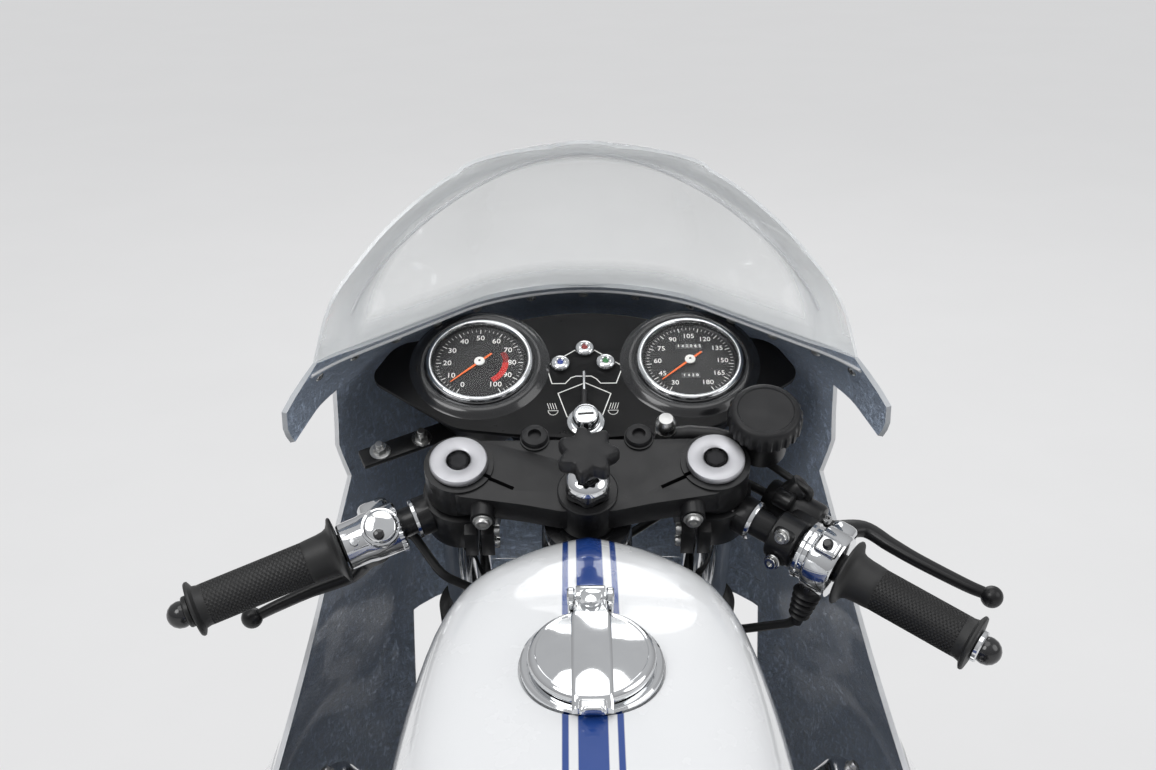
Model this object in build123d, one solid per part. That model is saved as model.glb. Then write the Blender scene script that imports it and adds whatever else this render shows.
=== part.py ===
from build123d import *
import math
import os

# Cafe racer motorcycle, in millimetres: +X to the rider's right, +Y forward, +Z up.
# The origin is on the ground, midway between the wheels. It stands on its centre stand.

# Wheels and stance
HALF_WHEELBASE = 740
TYRE_RADIUS = 320
FRONT_TYRE_HALF = 50
REAR_TYRE_HALF = 56
RIM_RADIUS = 236
STAND_LIFT = 15
AXLE_RADIUS = 10
AXLE_BORE = 6.5
SPOKES = 36
SPOKE_RADIUS = 2
FRONT_DISC_RADIUS = 140
REAR_DISC_RADIUS = 120
DISC_X = 55
REAR_DISC_X = 64
DISC_THICKNESS = 5

# Steering geometry
RAKE = 27.5
CLAMP_Y = 422.4
CLAMP_Z = 930
FORK_OFFSET = 26
FORK_HALF_SPACING = 95
FORK_TUBE_RADIUS = 19
SLIDER_RADIUS = 25
STEM_RADIUS = 14
HEAD_RADIUS = 29
CLAMP_THICKNESS = 30
CLAMP_FRONT = 23
LOWER_CLAMP_DEPTH = 34
HEAD_TOP = -33
HEAD_BOTTOM = -192

# Clearances
SEAT_GAP = 0.3
MOVING_GAP = 5
GUARD_GAP = 18
WALL = 4
SCREEN_WALL = 3

# Bars: drop, sweep, where the grip starts and ends along the bar
BAR_RADIUS = 11
BAR_DEPTH = 45
BAR_DROP = 16
LEFT_SWEEP = 16.5
RIGHT_SWEEP = 32.5
LEFT_GRIP = (98, 216)
RIGHT_GRIP = (116, 222)
GRIP_RADIUS = 16

# Engine
CRANK_Z = 435
CYLINDER_Y = 328
CYLINDER_ANGLE = 45
BARREL_START = 110
HEAD_START = 225
HEAD_END = 288
COVER_END = 322
FIN_HALF = 62
FIN_COUNT = 8
CASE_FRONT = 372
CASE_REAR = 130
CASE_BOTTOM = 205

# Frame tubes
RAIL_X = 100
RAIL_Z = 178
FRAME_TUBE = 16
PIVOT_Y = -280
PIVOT_Z = 390
SEAT_RAIL_X = 90
SEAT_RAIL_Z = 705
SUBFRAME_Y = -240

# Stand
STAND_PIVOT_Y = -150
STAND_PIVOT_Z = 146
STAND_FOOT_Y = -108
STAND_FOOT_X = 150
STAND_TUBE = 9
STAND_PIN = 6
STAND_TAB_X = 100

# Cables and hoses
CABLE_RADIUS = 3.5
HOSE_RADIUS = 3.5

# Filler and dash
FILLER_Y = 200
FILLER_Z = 897
FILLER_TILT = 11
FILLER_RADIUS = 45
LID_RADIUS = 40
DASH_LEVEL = -50
GAUGE_X = 86
GAUGE_U = 138
GAUGE_RADIUS = 44
HEADLAMP_RADIUS = 82
HEADLAMP_Z = 850

REAR_AXLE_Z = TYRE_RADIUS + STAND_LIFT
FORK_LENGTH = (CLAMP_Z - TYRE_RADIUS) / math.cos(math.radians(RAKE))
FRONT_AXLE_Y = CLAMP_Y + FORK_LENGTH * math.sin(math.radians(RAKE))
SIDES = {"left": -1, "right": 1}

# Steering frame: x right, u forward in the plane of the top clamp, w up along the forks.
steer = Plane(
    origin=(0, CLAMP_Y, CLAMP_Z),
    x_dir=(1, 0, 0),
    z_dir=(0, -math.sin(math.radians(RAKE)), math.cos(math.radians(RAKE))),
).location

os.makedirs("parts", exist_ok=True)


def save(name, *solids):
    """Write one node; solids that do not touch share it as a compound."""
    shape = solids[0] if len(solids) == 1 else Compound(children=list(solids))
    export_step(shape, f"parts/{name}.step")


def rod(start, end, radius, sides=0):
    """Round or many-sided bar between two points."""
    plane = Plane(origin=start, z_dir=Vector(*end) - Vector(*start))
    profile = RegularPolygon(radius, sides) if sides else Circle(radius)
    return extrude(plane * profile, amount=(Vector(*end) - Vector(*start)).length)


def pipe(points, radius, bends):
    """Tube along straight runs joined by arcs."""
    path = FilletPolyline(*points, radius=bends)
    plane = Plane(origin=path @ 0, z_dir=path % 0)
    return sweep(plane * Circle(radius), path=path)


def block(x, y, z, round_edges=0):
    """Box between two corners given as (low, high) pairs."""
    size = [high - low for low, high in (x, y, z)]
    solid = Box(*size)
    if round_edges:
        solid = fillet(solid.edges(), round_edges)
    return Pos(sum(x) / 2, sum(y) / 2, sum(z) / 2) * solid


def cylinder_x(radius, x_low, x_high, y=0, z=0):
    """Cylinder across the bike."""
    return Pos((x_low + x_high) / 2, y, z) * Rot(0, 90, 0) * Cylinder(radius, x_high - x_low)


def cylinder_w(radius, low, high, x=0, u=0):
    """Cylinder along the fork direction, in the steering frame."""
    return Pos(x, u, (low + high) / 2) * Cylinder(radius, high - low)


def mirrored(points):
    """The same points on the other side of the bike."""
    return [(-x, y, z) for x, y, z in points]


def side_prism(points, half_width):
    """Prism across the bike from an outline of (y, z) points."""
    outline = make_face(Polyline(*[(y, z) for y, z in points], close=True))
    return extrude(Plane.YZ * outline, amount=half_width, both=True)


def filleted_face(points, radii, z=0):
    """Closed outline of (x, y) points with one radius for each corner."""
    return Pos(0, 0, z) * make_face(FilletPolyline(*points, radius=radii, close=True))


def ring_x(profile):
    """Turned piece about the wheel's axle from an outline of (x, radius) points."""
    return revolve(Plane.XZ * make_face(Polyline(*profile, close=True)), Axis.X)


# Wheels

def tyre(half_width):
    """Round-section tyre about the X axis."""
    shoulder = TYRE_RADIUS - 0.7 * half_width
    bead = half_width * 0.62
    crown = ThreePointArc((-half_width * 0.96, shoulder), (0, TYRE_RADIUS), (half_width * 0.96, shoulder))
    right_wall = ThreePointArc(crown @ 1, (half_width, (shoulder + RIM_RADIUS) / 2), (bead, RIM_RADIUS))
    base = Line(right_wall @ 1, (-bead, RIM_RADIUS))
    left_wall = ThreePointArc((-bead, RIM_RADIUS), (-half_width, (shoulder + RIM_RADIUS) / 2), crown @ 0)
    return revolve(Plane.XZ * make_face([crown, right_wall, base, left_wall]), Axis.X)


def wire_wheel(hub_half, flange_x, bore, rim_half):
    """Alloy rim, laced spokes and hub about the X axis."""
    edge = RIM_RADIUS - SEAT_GAP
    rim_section = [
        (-rim_half, edge), (rim_half, edge), (rim_half, edge - 7), (rim_half * 0.6, edge - 9),
        (rim_half * 0.4, edge - 17), (-rim_half * 0.4, edge - 17), (-rim_half * 0.6, edge - 9),
        (-rim_half, edge - 7),
    ]
    hub_section = [
        (-hub_half, bore), (hub_half, bore), (hub_half, 26), (flange_x + 4, 26), (flange_x + 4, 46),
        (flange_x - 3, 46), (flange_x - 6, 30), (6 - flange_x, 30), (3 - flange_x, 46),
        (-flange_x - 4, 46), (-flange_x - 4, 26), (-hub_half, 26),
    ]
    wheel = ring_x(rim_section) + ring_x(hub_section)
    spokes = []
    for index in range(SPOKES):
        side = 1 if index % 2 else -1
        lean = 14 if index % 4 < 2 else -14
        rim_angle = math.radians(360 / SPOKES * index)
        hub_angle = rim_angle + math.radians(lean)
        hub_end = (side * flange_x, 40 * math.cos(hub_angle), 40 * math.sin(hub_angle))
        rim_reach = edge - 14
        rim_end = (side * 3, rim_reach * math.cos(rim_angle), rim_reach * math.sin(rim_angle))
        spokes.append(rod(hub_end, rim_end, SPOKE_RADIUS, sides=6))
    return wheel + spokes


def disc(radius, inner, x):
    """Flat brake disc about the X axis."""
    ring = cylinder_x(radius, x - DISC_THICKNESS / 2, x + DISC_THICKNESS / 2)
    return ring - cylinder_x(inner, x - DISC_THICKNESS, x + DISC_THICKNESS)


front_place = Pos(0, FRONT_AXLE_Y, TYRE_RADIUS)
rear_place = Pos(0, -HALF_WHEELBASE, REAR_AXLE_Z)

save("front_tyre", front_place * tyre(FRONT_TYRE_HALF))
save("rear_tyre", rear_place * tyre(REAR_TYRE_HALF))

front_wheel = wire_wheel(50, 26, AXLE_RADIUS + SEAT_GAP, 31)
save("front_wheel", front_place * front_wheel)

front_discs = []
for sign in SIDES.values():
    carrier = cylinder_x(78, -4, 4) - cylinder_x(26 + SEAT_GAP, -5, 5)
    for hole in range(6):
        angle = math.radians(60 * hole)
        carrier -= cylinder_x(11, -5, 5, 54 * math.cos(angle), 54 * math.sin(angle))
    inner_face = 26 + 4 + SEAT_GAP
    carrier = Pos(sign * (inner_face + 4), 0, 0) * carrier
    spacer = cylinder_x(78, inner_face, DISC_X) - cylinder_x(66, inner_face - 1, DISC_X + 1)
    spacer = spacer if sign > 0 else mirror(spacer, about=Plane.YZ)
    front_discs.append(front_place * (disc(FRONT_DISC_RADIUS, 70, sign * DISC_X) + carrier + spacer))
save("front_discs", *front_discs)

rear_wheel = wire_wheel(68, 30, AXLE_RADIUS + SEAT_GAP, 36)
rear_carrier = cylinder_x(72, -REAR_DISC_X - 2, -REAR_DISC_X + 4) - cylinder_x(AXLE_RADIUS + SEAT_GAP, -90, 90)
rear_wheel += rear_carrier + disc(REAR_DISC_RADIUS, 60, -REAR_DISC_X)
save("rear_wheel", rear_place * rear_wheel)


# Front fork, in the steering frame

CALIPER_X = 56
CALIPER_WIDTH = 39
CALIPER_OUT = CALIPER_X + CALIPER_WIDTH / 2


def fork_leg(sign):
    x = sign * FORK_HALF_SPACING
    leg = cylinder_w(FORK_TUBE_RADIUS, -400, 0, x)
    cap = cylinder_w(22, SEAT_GAP, 6, x)
    cap -= Pos(x, 0, 6) * extrude(RegularPolygon(9, 6), amount=-5)
    collar = cylinder_w(SLIDER_RADIUS + 3, -372, -340, x)
    slider = cylinder_w(SLIDER_RADIUS, -FORK_LENGTH - 26, -360, x)
    slider = chamfer(slider.edges().group_by(Axis.Z)[0], 8)
    axle_boss = Pos(0, 0, -FORK_LENGTH) * cylinder_x(22, x - SLIDER_RADIUS - 2, x + SLIDER_RADIUS + 2)
    lug_span = sorted((sign * (CALIPER_OUT + SEAT_GAP), sign * (FORK_HALF_SPACING - SLIDER_RADIUS / 2)))
    caliper_lug = block(lug_span, (-75, -15), (-FORK_LENGTH + 59, -FORK_LENGTH + 105))
    neck = cylinder_w(FORK_TUBE_RADIUS, 0, 1, x)
    leg = leg + neck + cap + collar + slider + axle_boss + caliper_lug
    leg -= Pos(0, 0, -FORK_LENGTH) * cylinder_x(AXLE_RADIUS, x - 40, x + 40)
    return leg


for side, sign in SIDES.items():
    save(f"fork_{side}", steer * fork_leg(sign))

axle_half = FORK_HALF_SPACING + SLIDER_RADIUS + 8
front_axle = cylinder_x(AXLE_RADIUS - SEAT_GAP / 2, -axle_half, axle_half)
front_axle += cylinder_x(15, FORK_HALF_SPACING + SLIDER_RADIUS + 2 + SEAT_GAP, axle_half + 4)
for sign in SIDES.values():
    inner = sorted((sign * 53, sign * (FORK_HALF_SPACING - SLIDER_RADIUS - 2 - SEAT_GAP)))
    front_axle += cylinder_x(15, *inner)
front_axle -= cylinder_x(AXLE_BORE, -200, 200)
save("front_axle", front_place * front_axle)

ear = FORK_HALF_SPACING + 22
clamp_outline = [
    (-ear, -14), (1 - FORK_HALF_SPACING, -28), (-46, -36), (-20, -42), (20, -42), (46, -36),
    (FORK_HALF_SPACING - 1, -28), (ear, -14), (ear, 14), (80, CLAMP_FRONT), (-80, CLAMP_FRONT), (-ear, 14),
]
clamp_radii = [12, 12, 20, 16, 16, 20, 12, 12, 14, 24, 24, 14]
web_thickness = CLAMP_THICKNESS - 8
top_clamp = extrude(filleted_face(clamp_outline, clamp_radii, -2 - web_thickness), amount=web_thickness)
top_clamp += cylinder_w(22, -CLAMP_THICKNESS, 0, 0, -FORK_OFFSET)
pinch_angle = 27.6
for sign in SIDES.values():
    top_clamp += cylinder_w(26, -CLAMP_THICKNESS, 0, sign * FORK_HALF_SPACING)
    top_clamp += cylinder_w(11, -24, 0, sign * 39, CLAMP_FRONT)
    pinch = Pos(sign * (FORK_HALF_SPACING - 18), -32, -14) * Rot(90, 0, 0) * Cylinder(9, 18)
    top_clamp += pinch
for sign in SIDES.values():
    fork_place = Pos(sign * FORK_HALF_SPACING, 0, 0)
    slot_place = fork_place * Rot(0, 0, 180 + pinch_angle if sign > 0 else -pinch_angle)
    top_clamp -= slot_place * Pos(23, 0, -15) * Box(46, 3, 60)
    top_clamp -= fork_place * cylinder_w(FORK_TUBE_RADIUS + SEAT_GAP, -40, 10)
top_clamp -= cylinder_w(STEM_RADIUS + SEAT_GAP, -40, 10, 0, -FORK_OFFSET)
save("top_clamp", steer * top_clamp)

lower_low = HEAD_BOTTOM - SEAT_GAP - LOWER_CLAMP_DEPTH
lower_high = HEAD_BOTTOM - SEAT_GAP
lower_clamp = extrude(filleted_face(clamp_outline, clamp_radii, lower_low + 6), amount=24)
lower_clamp += cylinder_w(28, lower_low, lower_high, 0, -FORK_OFFSET)
for sign in SIDES.values():
    lower_clamp += cylinder_w(28, lower_low, lower_high - 2, sign * FORK_HALF_SPACING)
for sign in SIDES.values():
    fork_x = sign * FORK_HALF_SPACING
    lower_clamp -= cylinder_w(FORK_TUBE_RADIUS + SEAT_GAP, lower_low - 5, lower_high + 5, fork_x)
stem = cylinder_w(STEM_RADIUS, lower_high - 4, 2, 0, -FORK_OFFSET)
save("steering_stem", steer * (lower_clamp + stem))

nut = extrude(Pos(0, -FORK_OFFSET, 2 + SEAT_GAP) * RegularPolygon(17, 6), amount=14)
nut += Pos(0, -FORK_OFFSET, 16) * Cone(15, 9, 5, align=(Align.CENTER, Align.CENTER, Align.MIN))
damper_knob = nut + cylinder_w(6, 10, 42, 0, -FORK_OFFSET)
knob_disc = Cylinder(17, 15)
for lobe in range(7):
    knob_disc += Rot(0, 0, 360 / 7 * lobe) * Pos(16.5, 0, 0) * Cylinder(6, 15)
damper_knob += Pos(0, -FORK_OFFSET, 44) * knob_disc
save("damper_knob", steer * damper_knob)


# Bars and controls: each bar has its own frame, x forward, y up, z out along the bar

def bar_frame(sign, sweep):
    out = Vector(
        sign * math.cos(math.radians(sweep)) * math.cos(math.radians(BAR_DROP)),
        -math.sin(math.radians(sweep)) * math.cos(math.radians(BAR_DROP)),
        -math.sin(math.radians(BAR_DROP)),
    )
    forward = Vector(0, 0, 1).cross(out).normalized()
    forward = forward if forward.Y > 0 else -forward
    root = (steer * Pos(sign * FORK_HALF_SPACING, 0, -BAR_DEPTH)).position
    return Plane(origin=root, x_dir=forward, z_dir=out).location


bar_frames = {"left": bar_frame(-1, LEFT_SWEEP), "right": bar_frame(1, RIGHT_SWEEP)}
grip_spans = {"left": LEFT_GRIP, "right": RIGHT_GRIP}


def along(radius, start, end, x=0, y=0):
    """Cylinder along a bar, in the bar's frame."""
    return Pos(x, y, (start + end) / 2) * Cylinder(radius, end - start)


clip_ons = []
for side, sign in SIDES.items():
    x = sign * FORK_HALF_SPACING
    clamp_ring = cylinder_w(29, -68, -34, x)
    pinch = Pos(sign * (FORK_HALF_SPACING - 14), -26, -51) * Box(22, 24, 28)
    clamp_ring = steer * (clamp_ring + pinch)
    bar = bar_frames[side] * along(BAR_RADIUS, 20, grip_spans[side][1] + 4)
    collar = bar_frames[side] * along(15, 26, 36)
    clip_on = clamp_ring + bar + collar
    clip_on -= steer * cylinder_w(FORK_TUBE_RADIUS + SEAT_GAP, -90, -20, x)
    clip_on -= steer * (Pos(sign * (FORK_HALF_SPACING - 14), -30, -51) * Box(3, 40, 40))
    clip_ons.append(clip_on)
save("clip_ons", *clip_ons)

grips = []
for side, (start, end) in grip_spans.items():
    grip = along(GRIP_RADIUS, start, end) + along(21, start, start + 4) + along(18.5, end - 5, end)
    grip -= along(BAR_RADIUS + SEAT_GAP, start - 1, end + 1)
    ball = Pos(0, 0, end + 14) * Sphere(13)
    ball += along(8, end + SEAT_GAP, end + 10)
    ball -= along(BAR_RADIUS + SEAT_GAP, end - 2, end + 4 + SEAT_GAP)
    grips.append(bar_frames[side] * grip)
    grips.append(bar_frames[side] * ball)
save("grips", *grips)

housings = []
left_housing = along(19, 40, 66) + Pos(14, -4, 53) * Box(26, 24, 24)
left_housing += Pos(0, -20, 53) * Rot(90, 0, 0) * Cylinder(6, 10)
left_housing -= along(BAR_RADIUS + SEAT_GAP, 30, 80)
housings.append(bar_frames["left"] * left_housing)
right_housing = along(24, 84, 112) + Pos(12, 8, 98) * Box(26, 36, 24)
right_housing += Pos(6, 27, 98) * Rot(90, 0, 0) * Cylinder(6, 8)
right_housing -= along(BAR_RADIUS + SEAT_GAP, 80, 120)
housings.append(bar_frames["right"] * right_housing)
save("switch_housings", *housings)


def lever_blade(start, end, reach):
    """Flat tapered lever in the bar's plane, from its pivot to a ball end."""
    points = [
        (30, start), (reach - 4, start + 22), (reach - 8, (start + end) / 2), (reach, end),
        (reach + 9, end), (reach + 4, (start + end) / 2), (reach + 10, start + 18), (42, start - 10),
    ]
    outline = FilletPolyline(*points, radius=[5, 14, 60, 2, 2, 60, 14, 6], close=True)
    blade = extrude(Plane.XZ * make_face(outline), amount=5, both=True)
    return blade + Pos(reach + 4.5, 0, end + 3) * Sphere(8.5)


clutch = along(18, 72, 92) + Pos(24, 0, 78) * Box(34, 20, 22)
clutch += lever_blade(80, 196, 56)
clutch -= along(BAR_RADIUS + SEAT_GAP, 60, 100)
save("clutch_lever", bar_frames["left"] * Rot(0, 0, 46) * clutch)

brake = along(18, 56, 78) + Pos(24, 0, 68) * Box(34, 22, 24)
brake += Pos(34, 4, 54.5) * Cylinder(14, 47)
brake += lever_blade(84, 208, 60)
brake -= along(BAR_RADIUS + SEAT_GAP, 50, 100)
save("brake_lever", bar_frames["right"] * brake)

reservoir = cylinder_w(28, 7, 23, 133, 30) + cylinder_w(19, -26, 8, 133, 30)
for rib in range(12):
    reservoir += Pos(133, 30, 15) * Rot(0, 0, 30 * rib) * Pos(27.5, 0, 0) * Box(4, 6, 14)
reservoir += rod((112, 32, -16), (60, 36, -16), 5)
reservoir += cylinder_w(9, -29, 4, 60, 38)
reservoir += Pos(59, 24, -27) * Box(13, 46, 5)
save("brake_reservoir", steer * reservoir)


def on_bar(side, x, y, z):
    """Point of a bar's frame given in the steering frame."""
    return tuple((steer.inverse() * bar_frames[side] * Pos(x, y, z)).position)


STOP_X = FORK_HALF_SPACING - 33
web_top = lower_low + 30 + SEAT_GAP
clutch_route = [
    on_bar("left", 17, 17, 66.5), on_bar("left", 17, 17, 45), (-112, -38, -92), (-72, -36, -130),
    (-STOP_X, -16, -165), (-STOP_X, -16, web_top),
]
throttle_route = [
    on_bar("right", -2, -24 - SEAT_GAP, 96), on_bar("right", -2, -62, 96), (120, -60, -140), (72, -36, -160),
    (STOP_X, -16, -178), (STOP_X, -16, web_top),
]
clutch_cable = pipe(clutch_route, CABLE_RADIUS, [12, 22, 22, 16])
throttle_cable = pipe(throttle_route, CABLE_RADIUS, [24, 22, 14, 6])
throttle_cable += rod(throttle_route[0], on_bar("right", -2, -50, 96), 7)
save("control_cables", steer * clutch_cable, steer * throttle_cable)

SPLITTER_U = CLAMP_FRONT + SEAT_GAP + 7
hose_route = [
    on_bar("right", 34, 4, 31 - SEAT_GAP), on_bar("right", 34, 4, 12), (104, 42, -80), (30, 46, -170),
    (0, SPLITTER_U, -190), (0, SPLITTER_U, -204),
]
brake_hose = pipe(hose_route, HOSE_RADIUS, [12, 22, 26, 6])
brake_hose += Pos(0, SPLITTER_U, -208) * Box(26, 14, 16)
inlet_w = -FORK_LENGTH + 107
for sign in SIDES.values():
    branch_route = [
        (sign * 8, SPLITTER_U, -212), (sign * 8, SPLITTER_U, -232), (sign * 44, 22, -256),
        (sign * 82, -34, -300), (sign * 82, -34, -450), (sign * 74, -122, inlet_w + 60), (sign * 69, -125.2, inlet_w + 21.8),
        (sign * 69, -104.4, inlet_w + 0.3),
    ]
    brake_hose += pipe(branch_route, HOSE_RADIUS, [8, 20, 20, 50, 20, 12])
outlet = on_bar("right", 34, 18 + SEAT_GAP, 62)
feed_route = [(133, 30, -26 - SEAT_GAP), (133, 30, -36), on_bar("right", 34, 25, 62), outlet]
feed_hose = pipe(feed_route, 3, [3.5, 3])
save("brake_hose", steer * brake_hose, steer * feed_hose)


# Front mudguard and calipers

def mudguard(inner, half_width, low_angle, high_angle):
    """Curved strip with turned-down edges about the X axis; angles from forward towards up."""
    section = [
        (-half_width, inner - 16), (-half_width + 2, inner - 16), (-half_width + 6, inner), (0, inner + 6),
        (half_width - 6, inner), (half_width - 2, inner - 16), (half_width, inner - 16),
        (half_width - 3, inner + 2), (0, inner + 9), (3 - half_width, inner + 2),
    ]
    face = Plane.XY * make_face(Polyline(*section, close=True))
    strip = revolve(face, Axis.X, revolution_arc=high_angle - low_angle)
    return Rot(low_angle, 0, 0) * strip


front_guard = front_place * mudguard(TYRE_RADIUS + GUARD_GAP, 60, 52, 138)
guard_stays = []
for sign in SIDES.values():
    for angle in (58, 118):
        y = FRONT_AXLE_Y + (TYRE_RADIUS + 10) * math.cos(math.radians(angle))
        z = TYRE_RADIUS + (TYRE_RADIUS + 10) * math.sin(math.radians(angle))
        lug = (steer * Pos(sign * (FORK_HALF_SPACING - 26), 0, -FORK_LENGTH + 150)).position
        guard_stays.append(rod((sign * 59, y, z), (sign * 66.5, lug.Y, lug.Z), 3))
for stay in guard_stays:
    front_guard += stay
for sign in SIDES.values():
    lug = (steer * Pos(sign * (FORK_HALF_SPACING - 26), 0, -FORK_LENGTH + 150)).position
    low, high = sorted((sign * 64, sign * (FORK_HALF_SPACING - SLIDER_RADIUS - SEAT_GAP)))
    front_guard += cylinder_x(9, low, high, lug.Y, lug.Z)
save("front_mudguard", front_guard)

calipers = []
for sign in SIDES.values():
    body = fillet(Box(CALIPER_WIDTH, 96, 58).edges().filter_by(Axis.X), 14)
    slot_gap = DISC_THICKNESS + 2 * MOVING_GAP
    body = Pos(sign * CALIPER_X, -84, -FORK_LENGTH + 86) * Rot(44, 0, 0) * body
    slot = cylinder_x(FRONT_DISC_RADIUS + 8, sign * DISC_X - slot_gap / 2, sign * DISC_X + slot_gap / 2)
    body -= Pos(0, 0, -FORK_LENGTH) * slot
    calipers.append(steer * body)
save("brake_calipers", *calipers)


# Frame

head = cylinder_w(HEAD_RADIUS, HEAD_BOTTOM, HEAD_TOP, 0, -FORK_OFFSET)
head += cylinder_w(HEAD_RADIUS + 4, HEAD_TOP - 14, HEAD_TOP, 0, -FORK_OFFSET)
head += cylinder_w(HEAD_RADIUS + 4, HEAD_BOTTOM, HEAD_BOTTOM + 14, 0, -FORK_OFFSET)
main_frame = steer * head
TOP_TUBE_FRONT = (0, 430, 818)
TOP_TUBE_REAR = (0, -170, 690)
main_frame += rod(TOP_TUBE_FRONT, TOP_TUBE_REAR, 20)
cradle_top = (steer * Pos(14, -FORK_OFFSET - 15, -110)).position
cradle = [
    tuple(cradle_top), (86, 430, 580), (RAIL_X, 425, 478), (RAIL_X, 394, 350), (RAIL_X, 387, 255),
    (RAIL_X, 330, RAIL_Z), (RAIL_X, -205, RAIL_Z), (118, -268, 270), (118, PIVOT_Y, PIVOT_Z),
    (112, -238, 560), (SEAT_RAIL_X, -205, SEAT_RAIL_Z - 10),
]
cradle_bends = [60, 60, 40, 40, 55, 60, 40, 90, 60]
seat_rail = [(14, -100, SEAT_RAIL_Z), (SEAT_RAIL_X, -205, SEAT_RAIL_Z), (SEAT_RAIL_X, SUBFRAME_Y, SEAT_RAIL_Z)]
for sign in SIDES.values():
    half = [cradle, seat_rail] if sign > 0 else [mirrored(cradle), mirrored(seat_rail)]
    main_frame += pipe(half[0], FRAME_TUBE - 2, cradle_bends)
    main_frame += pipe(half[1], 11, [40])
    low, high = sorted((sign * 103, sign * 132))
    main_frame += cylinder_x(30, low, high, PIVOT_Y, PIVOT_Z)
    low, high = sorted((sign * 86, sign * 114))
    for lug_y in (165, 285):
        main_frame += block((low, high), (lug_y - 15, lug_y + 15), (RAIL_Z, CASE_BOTTOM - SEAT_GAP))
    tab_span = (sign * STAND_TAB_X - 4, sign * STAND_TAB_X + 4)
    tab = block(tab_span, (STAND_PIVOT_Y - 18, STAND_PIVOT_Y + 18), (STAND_PIVOT_Z, RAIL_Z))
    main_frame += tab + cylinder_x(18, *tab_span, STAND_PIVOT_Y, STAND_PIVOT_Z)
main_frame += cylinder_x(12, -RAIL_X, RAIL_X, -205, RAIL_Z)
main_frame += cylinder_x(10, -RAIL_X, RAIL_X, 386, 252)
main_frame += cylinder_x(10, -SEAT_RAIL_X, SEAT_RAIL_X, -225, SEAT_RAIL_Z)
TANK_SADDLE = 28
tube_rise = (TOP_TUBE_FRONT[2] - TOP_TUBE_REAR[2]) / (TOP_TUBE_FRONT[1] - TOP_TUBE_REAR[1])
tube_slope = math.degrees(math.atan(tube_rise))


def on_tube(y):
    """Place on the top tube's centre line, square to it."""
    height = TOP_TUBE_REAR[2] + (y - TOP_TUBE_REAR[1]) * tube_rise
    return Pos(0, y, height) * Rot(tube_slope, 0, 0)


for y in (270, 90):
    main_frame += on_tube(y) * Pos(0, 0, TANK_SADDLE / 2) * Box(30, 40, TANK_SADDLE)
TRAY_TOP = 476
BATTERY_TOP = 640
main_frame += block((-76, 76), (-342, -219), (TRAY_TOP - 6, TRAY_TOP))
for sign in SIDES.values():
    main_frame += rod((sign * 72, -256, 472), (sign * 116, -256, 520), 6)
main_frame -= steer * cylinder_w(STEM_RADIUS + SEAT_GAP, HEAD_BOTTOM - 5, HEAD_TOP + 5, 0, -FORK_OFFSET)
for sign in SIDES.values():
    tab_x = sign * STAND_TAB_X
    main_frame -= cylinder_x(STAND_PIN + SEAT_GAP, tab_x - 10, tab_x + 10, STAND_PIVOT_Y, STAND_PIVOT_Z)
save("main_frame", main_frame)

SHOCK_X = 142
SHOCK_TOP = (-480, SEAT_RAIL_Z - 30)
GUARD_TOP = REAR_AXLE_Z + TYRE_RADIUS + GUARD_GAP + 9
bridge_z = GUARD_TOP + SEAT_GAP + 8
rear_subframe = cylinder_x(8, -SEAT_RAIL_X, SEAT_RAIL_X, -HALF_WHEELBASE, bridge_z)
for sign in SIDES.values():
    rail_x = sign * SEAT_RAIL_X
    rail_start = (rail_x, SUBFRAME_Y - SEAT_GAP, SEAT_RAIL_Z)
    rear_subframe += rod(rail_start, (rail_x, -HALF_WHEELBASE - 30, SEAT_RAIL_Z), 11)
    rear_subframe += rod((rail_x, -HALF_WHEELBASE, bridge_z), (rail_x, -HALF_WHEELBASE, SEAT_RAIL_Z), 8)
    low, high = sorted((sign * (SEAT_RAIL_X - 6), sign * (SHOCK_X + 16)))
    rear_subframe += cylinder_x(9, low, high, *SHOCK_TOP)
    rear_subframe += rod((rail_x, SHOCK_TOP[0], SEAT_RAIL_Z), (rail_x, SHOCK_TOP[0], SHOCK_TOP[1] - 4), 12)
save("rear_subframe", rear_subframe)

save("battery", block((-58, 58), (-336, -222), (TRAY_TOP + SEAT_GAP, BATTERY_TOP), 5))


# Engine and gearbox

def across(angle, distance, offset=0):
    """Point in the engine's cross plane: distance out along a cylinder, offset to its upper side."""
    a = math.radians(angle)
    x = distance * math.sin(a) - offset * math.cos(a)
    z = CRANK_Z + distance * math.cos(a) + offset * math.sin(a)
    return (x, z)


def cross_prism(points, y_low, y_high):
    """Prism along the bike from an outline of (x, z) points."""
    plane = Plane(origin=(0, y_low, 0), x_dir=(1, 0, 0), z_dir=(0, -1, 0))
    return extrude(plane * make_face(Polyline(*points, close=True)), amount=y_low - y_high)


right_half = [(0, 562), across(45, 109, 60), across(45, 109, -62), (116, 410), (112, 260), (112, CASE_BOTTOM)]
case_outline = right_half + [(-x, z) for x, z in reversed(right_half[1:])]
crankcase = cross_prism(case_outline, CASE_REAR, CASE_FRONT)
crankcase += block((-72, 72), (150, 350), (174, CASE_BOTTOM + 5))
for sign in SIDES.values():
    pad_x, pad_z = across(CYLINDER_ANGLE, 94)
    pad = Pos(sign * pad_x, CYLINDER_Y, pad_z) * Rot(0, sign * CYLINDER_ANGLE, 0) * Box(122, 132, 30)
    crankcase += pad
timing_cover = Pos(0, CASE_FRONT, CRANK_Z - 20) * Rot(90, 0, 0) * Cylinder(76, 56)
crankcase += fillet(timing_cover.edges().group_by(Axis.Y)[-1], 8)
crankcase += Pos(0, CASE_FRONT, CRANK_Z + 76) * Rot(90, 0, 0) * Cylinder(30, 44)
for sign in SIDES.values():
    low, high = sorted((sign * 78, sign * 140))
    crankcase -= block((low, high), (312, 400), (150, 312))
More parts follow.
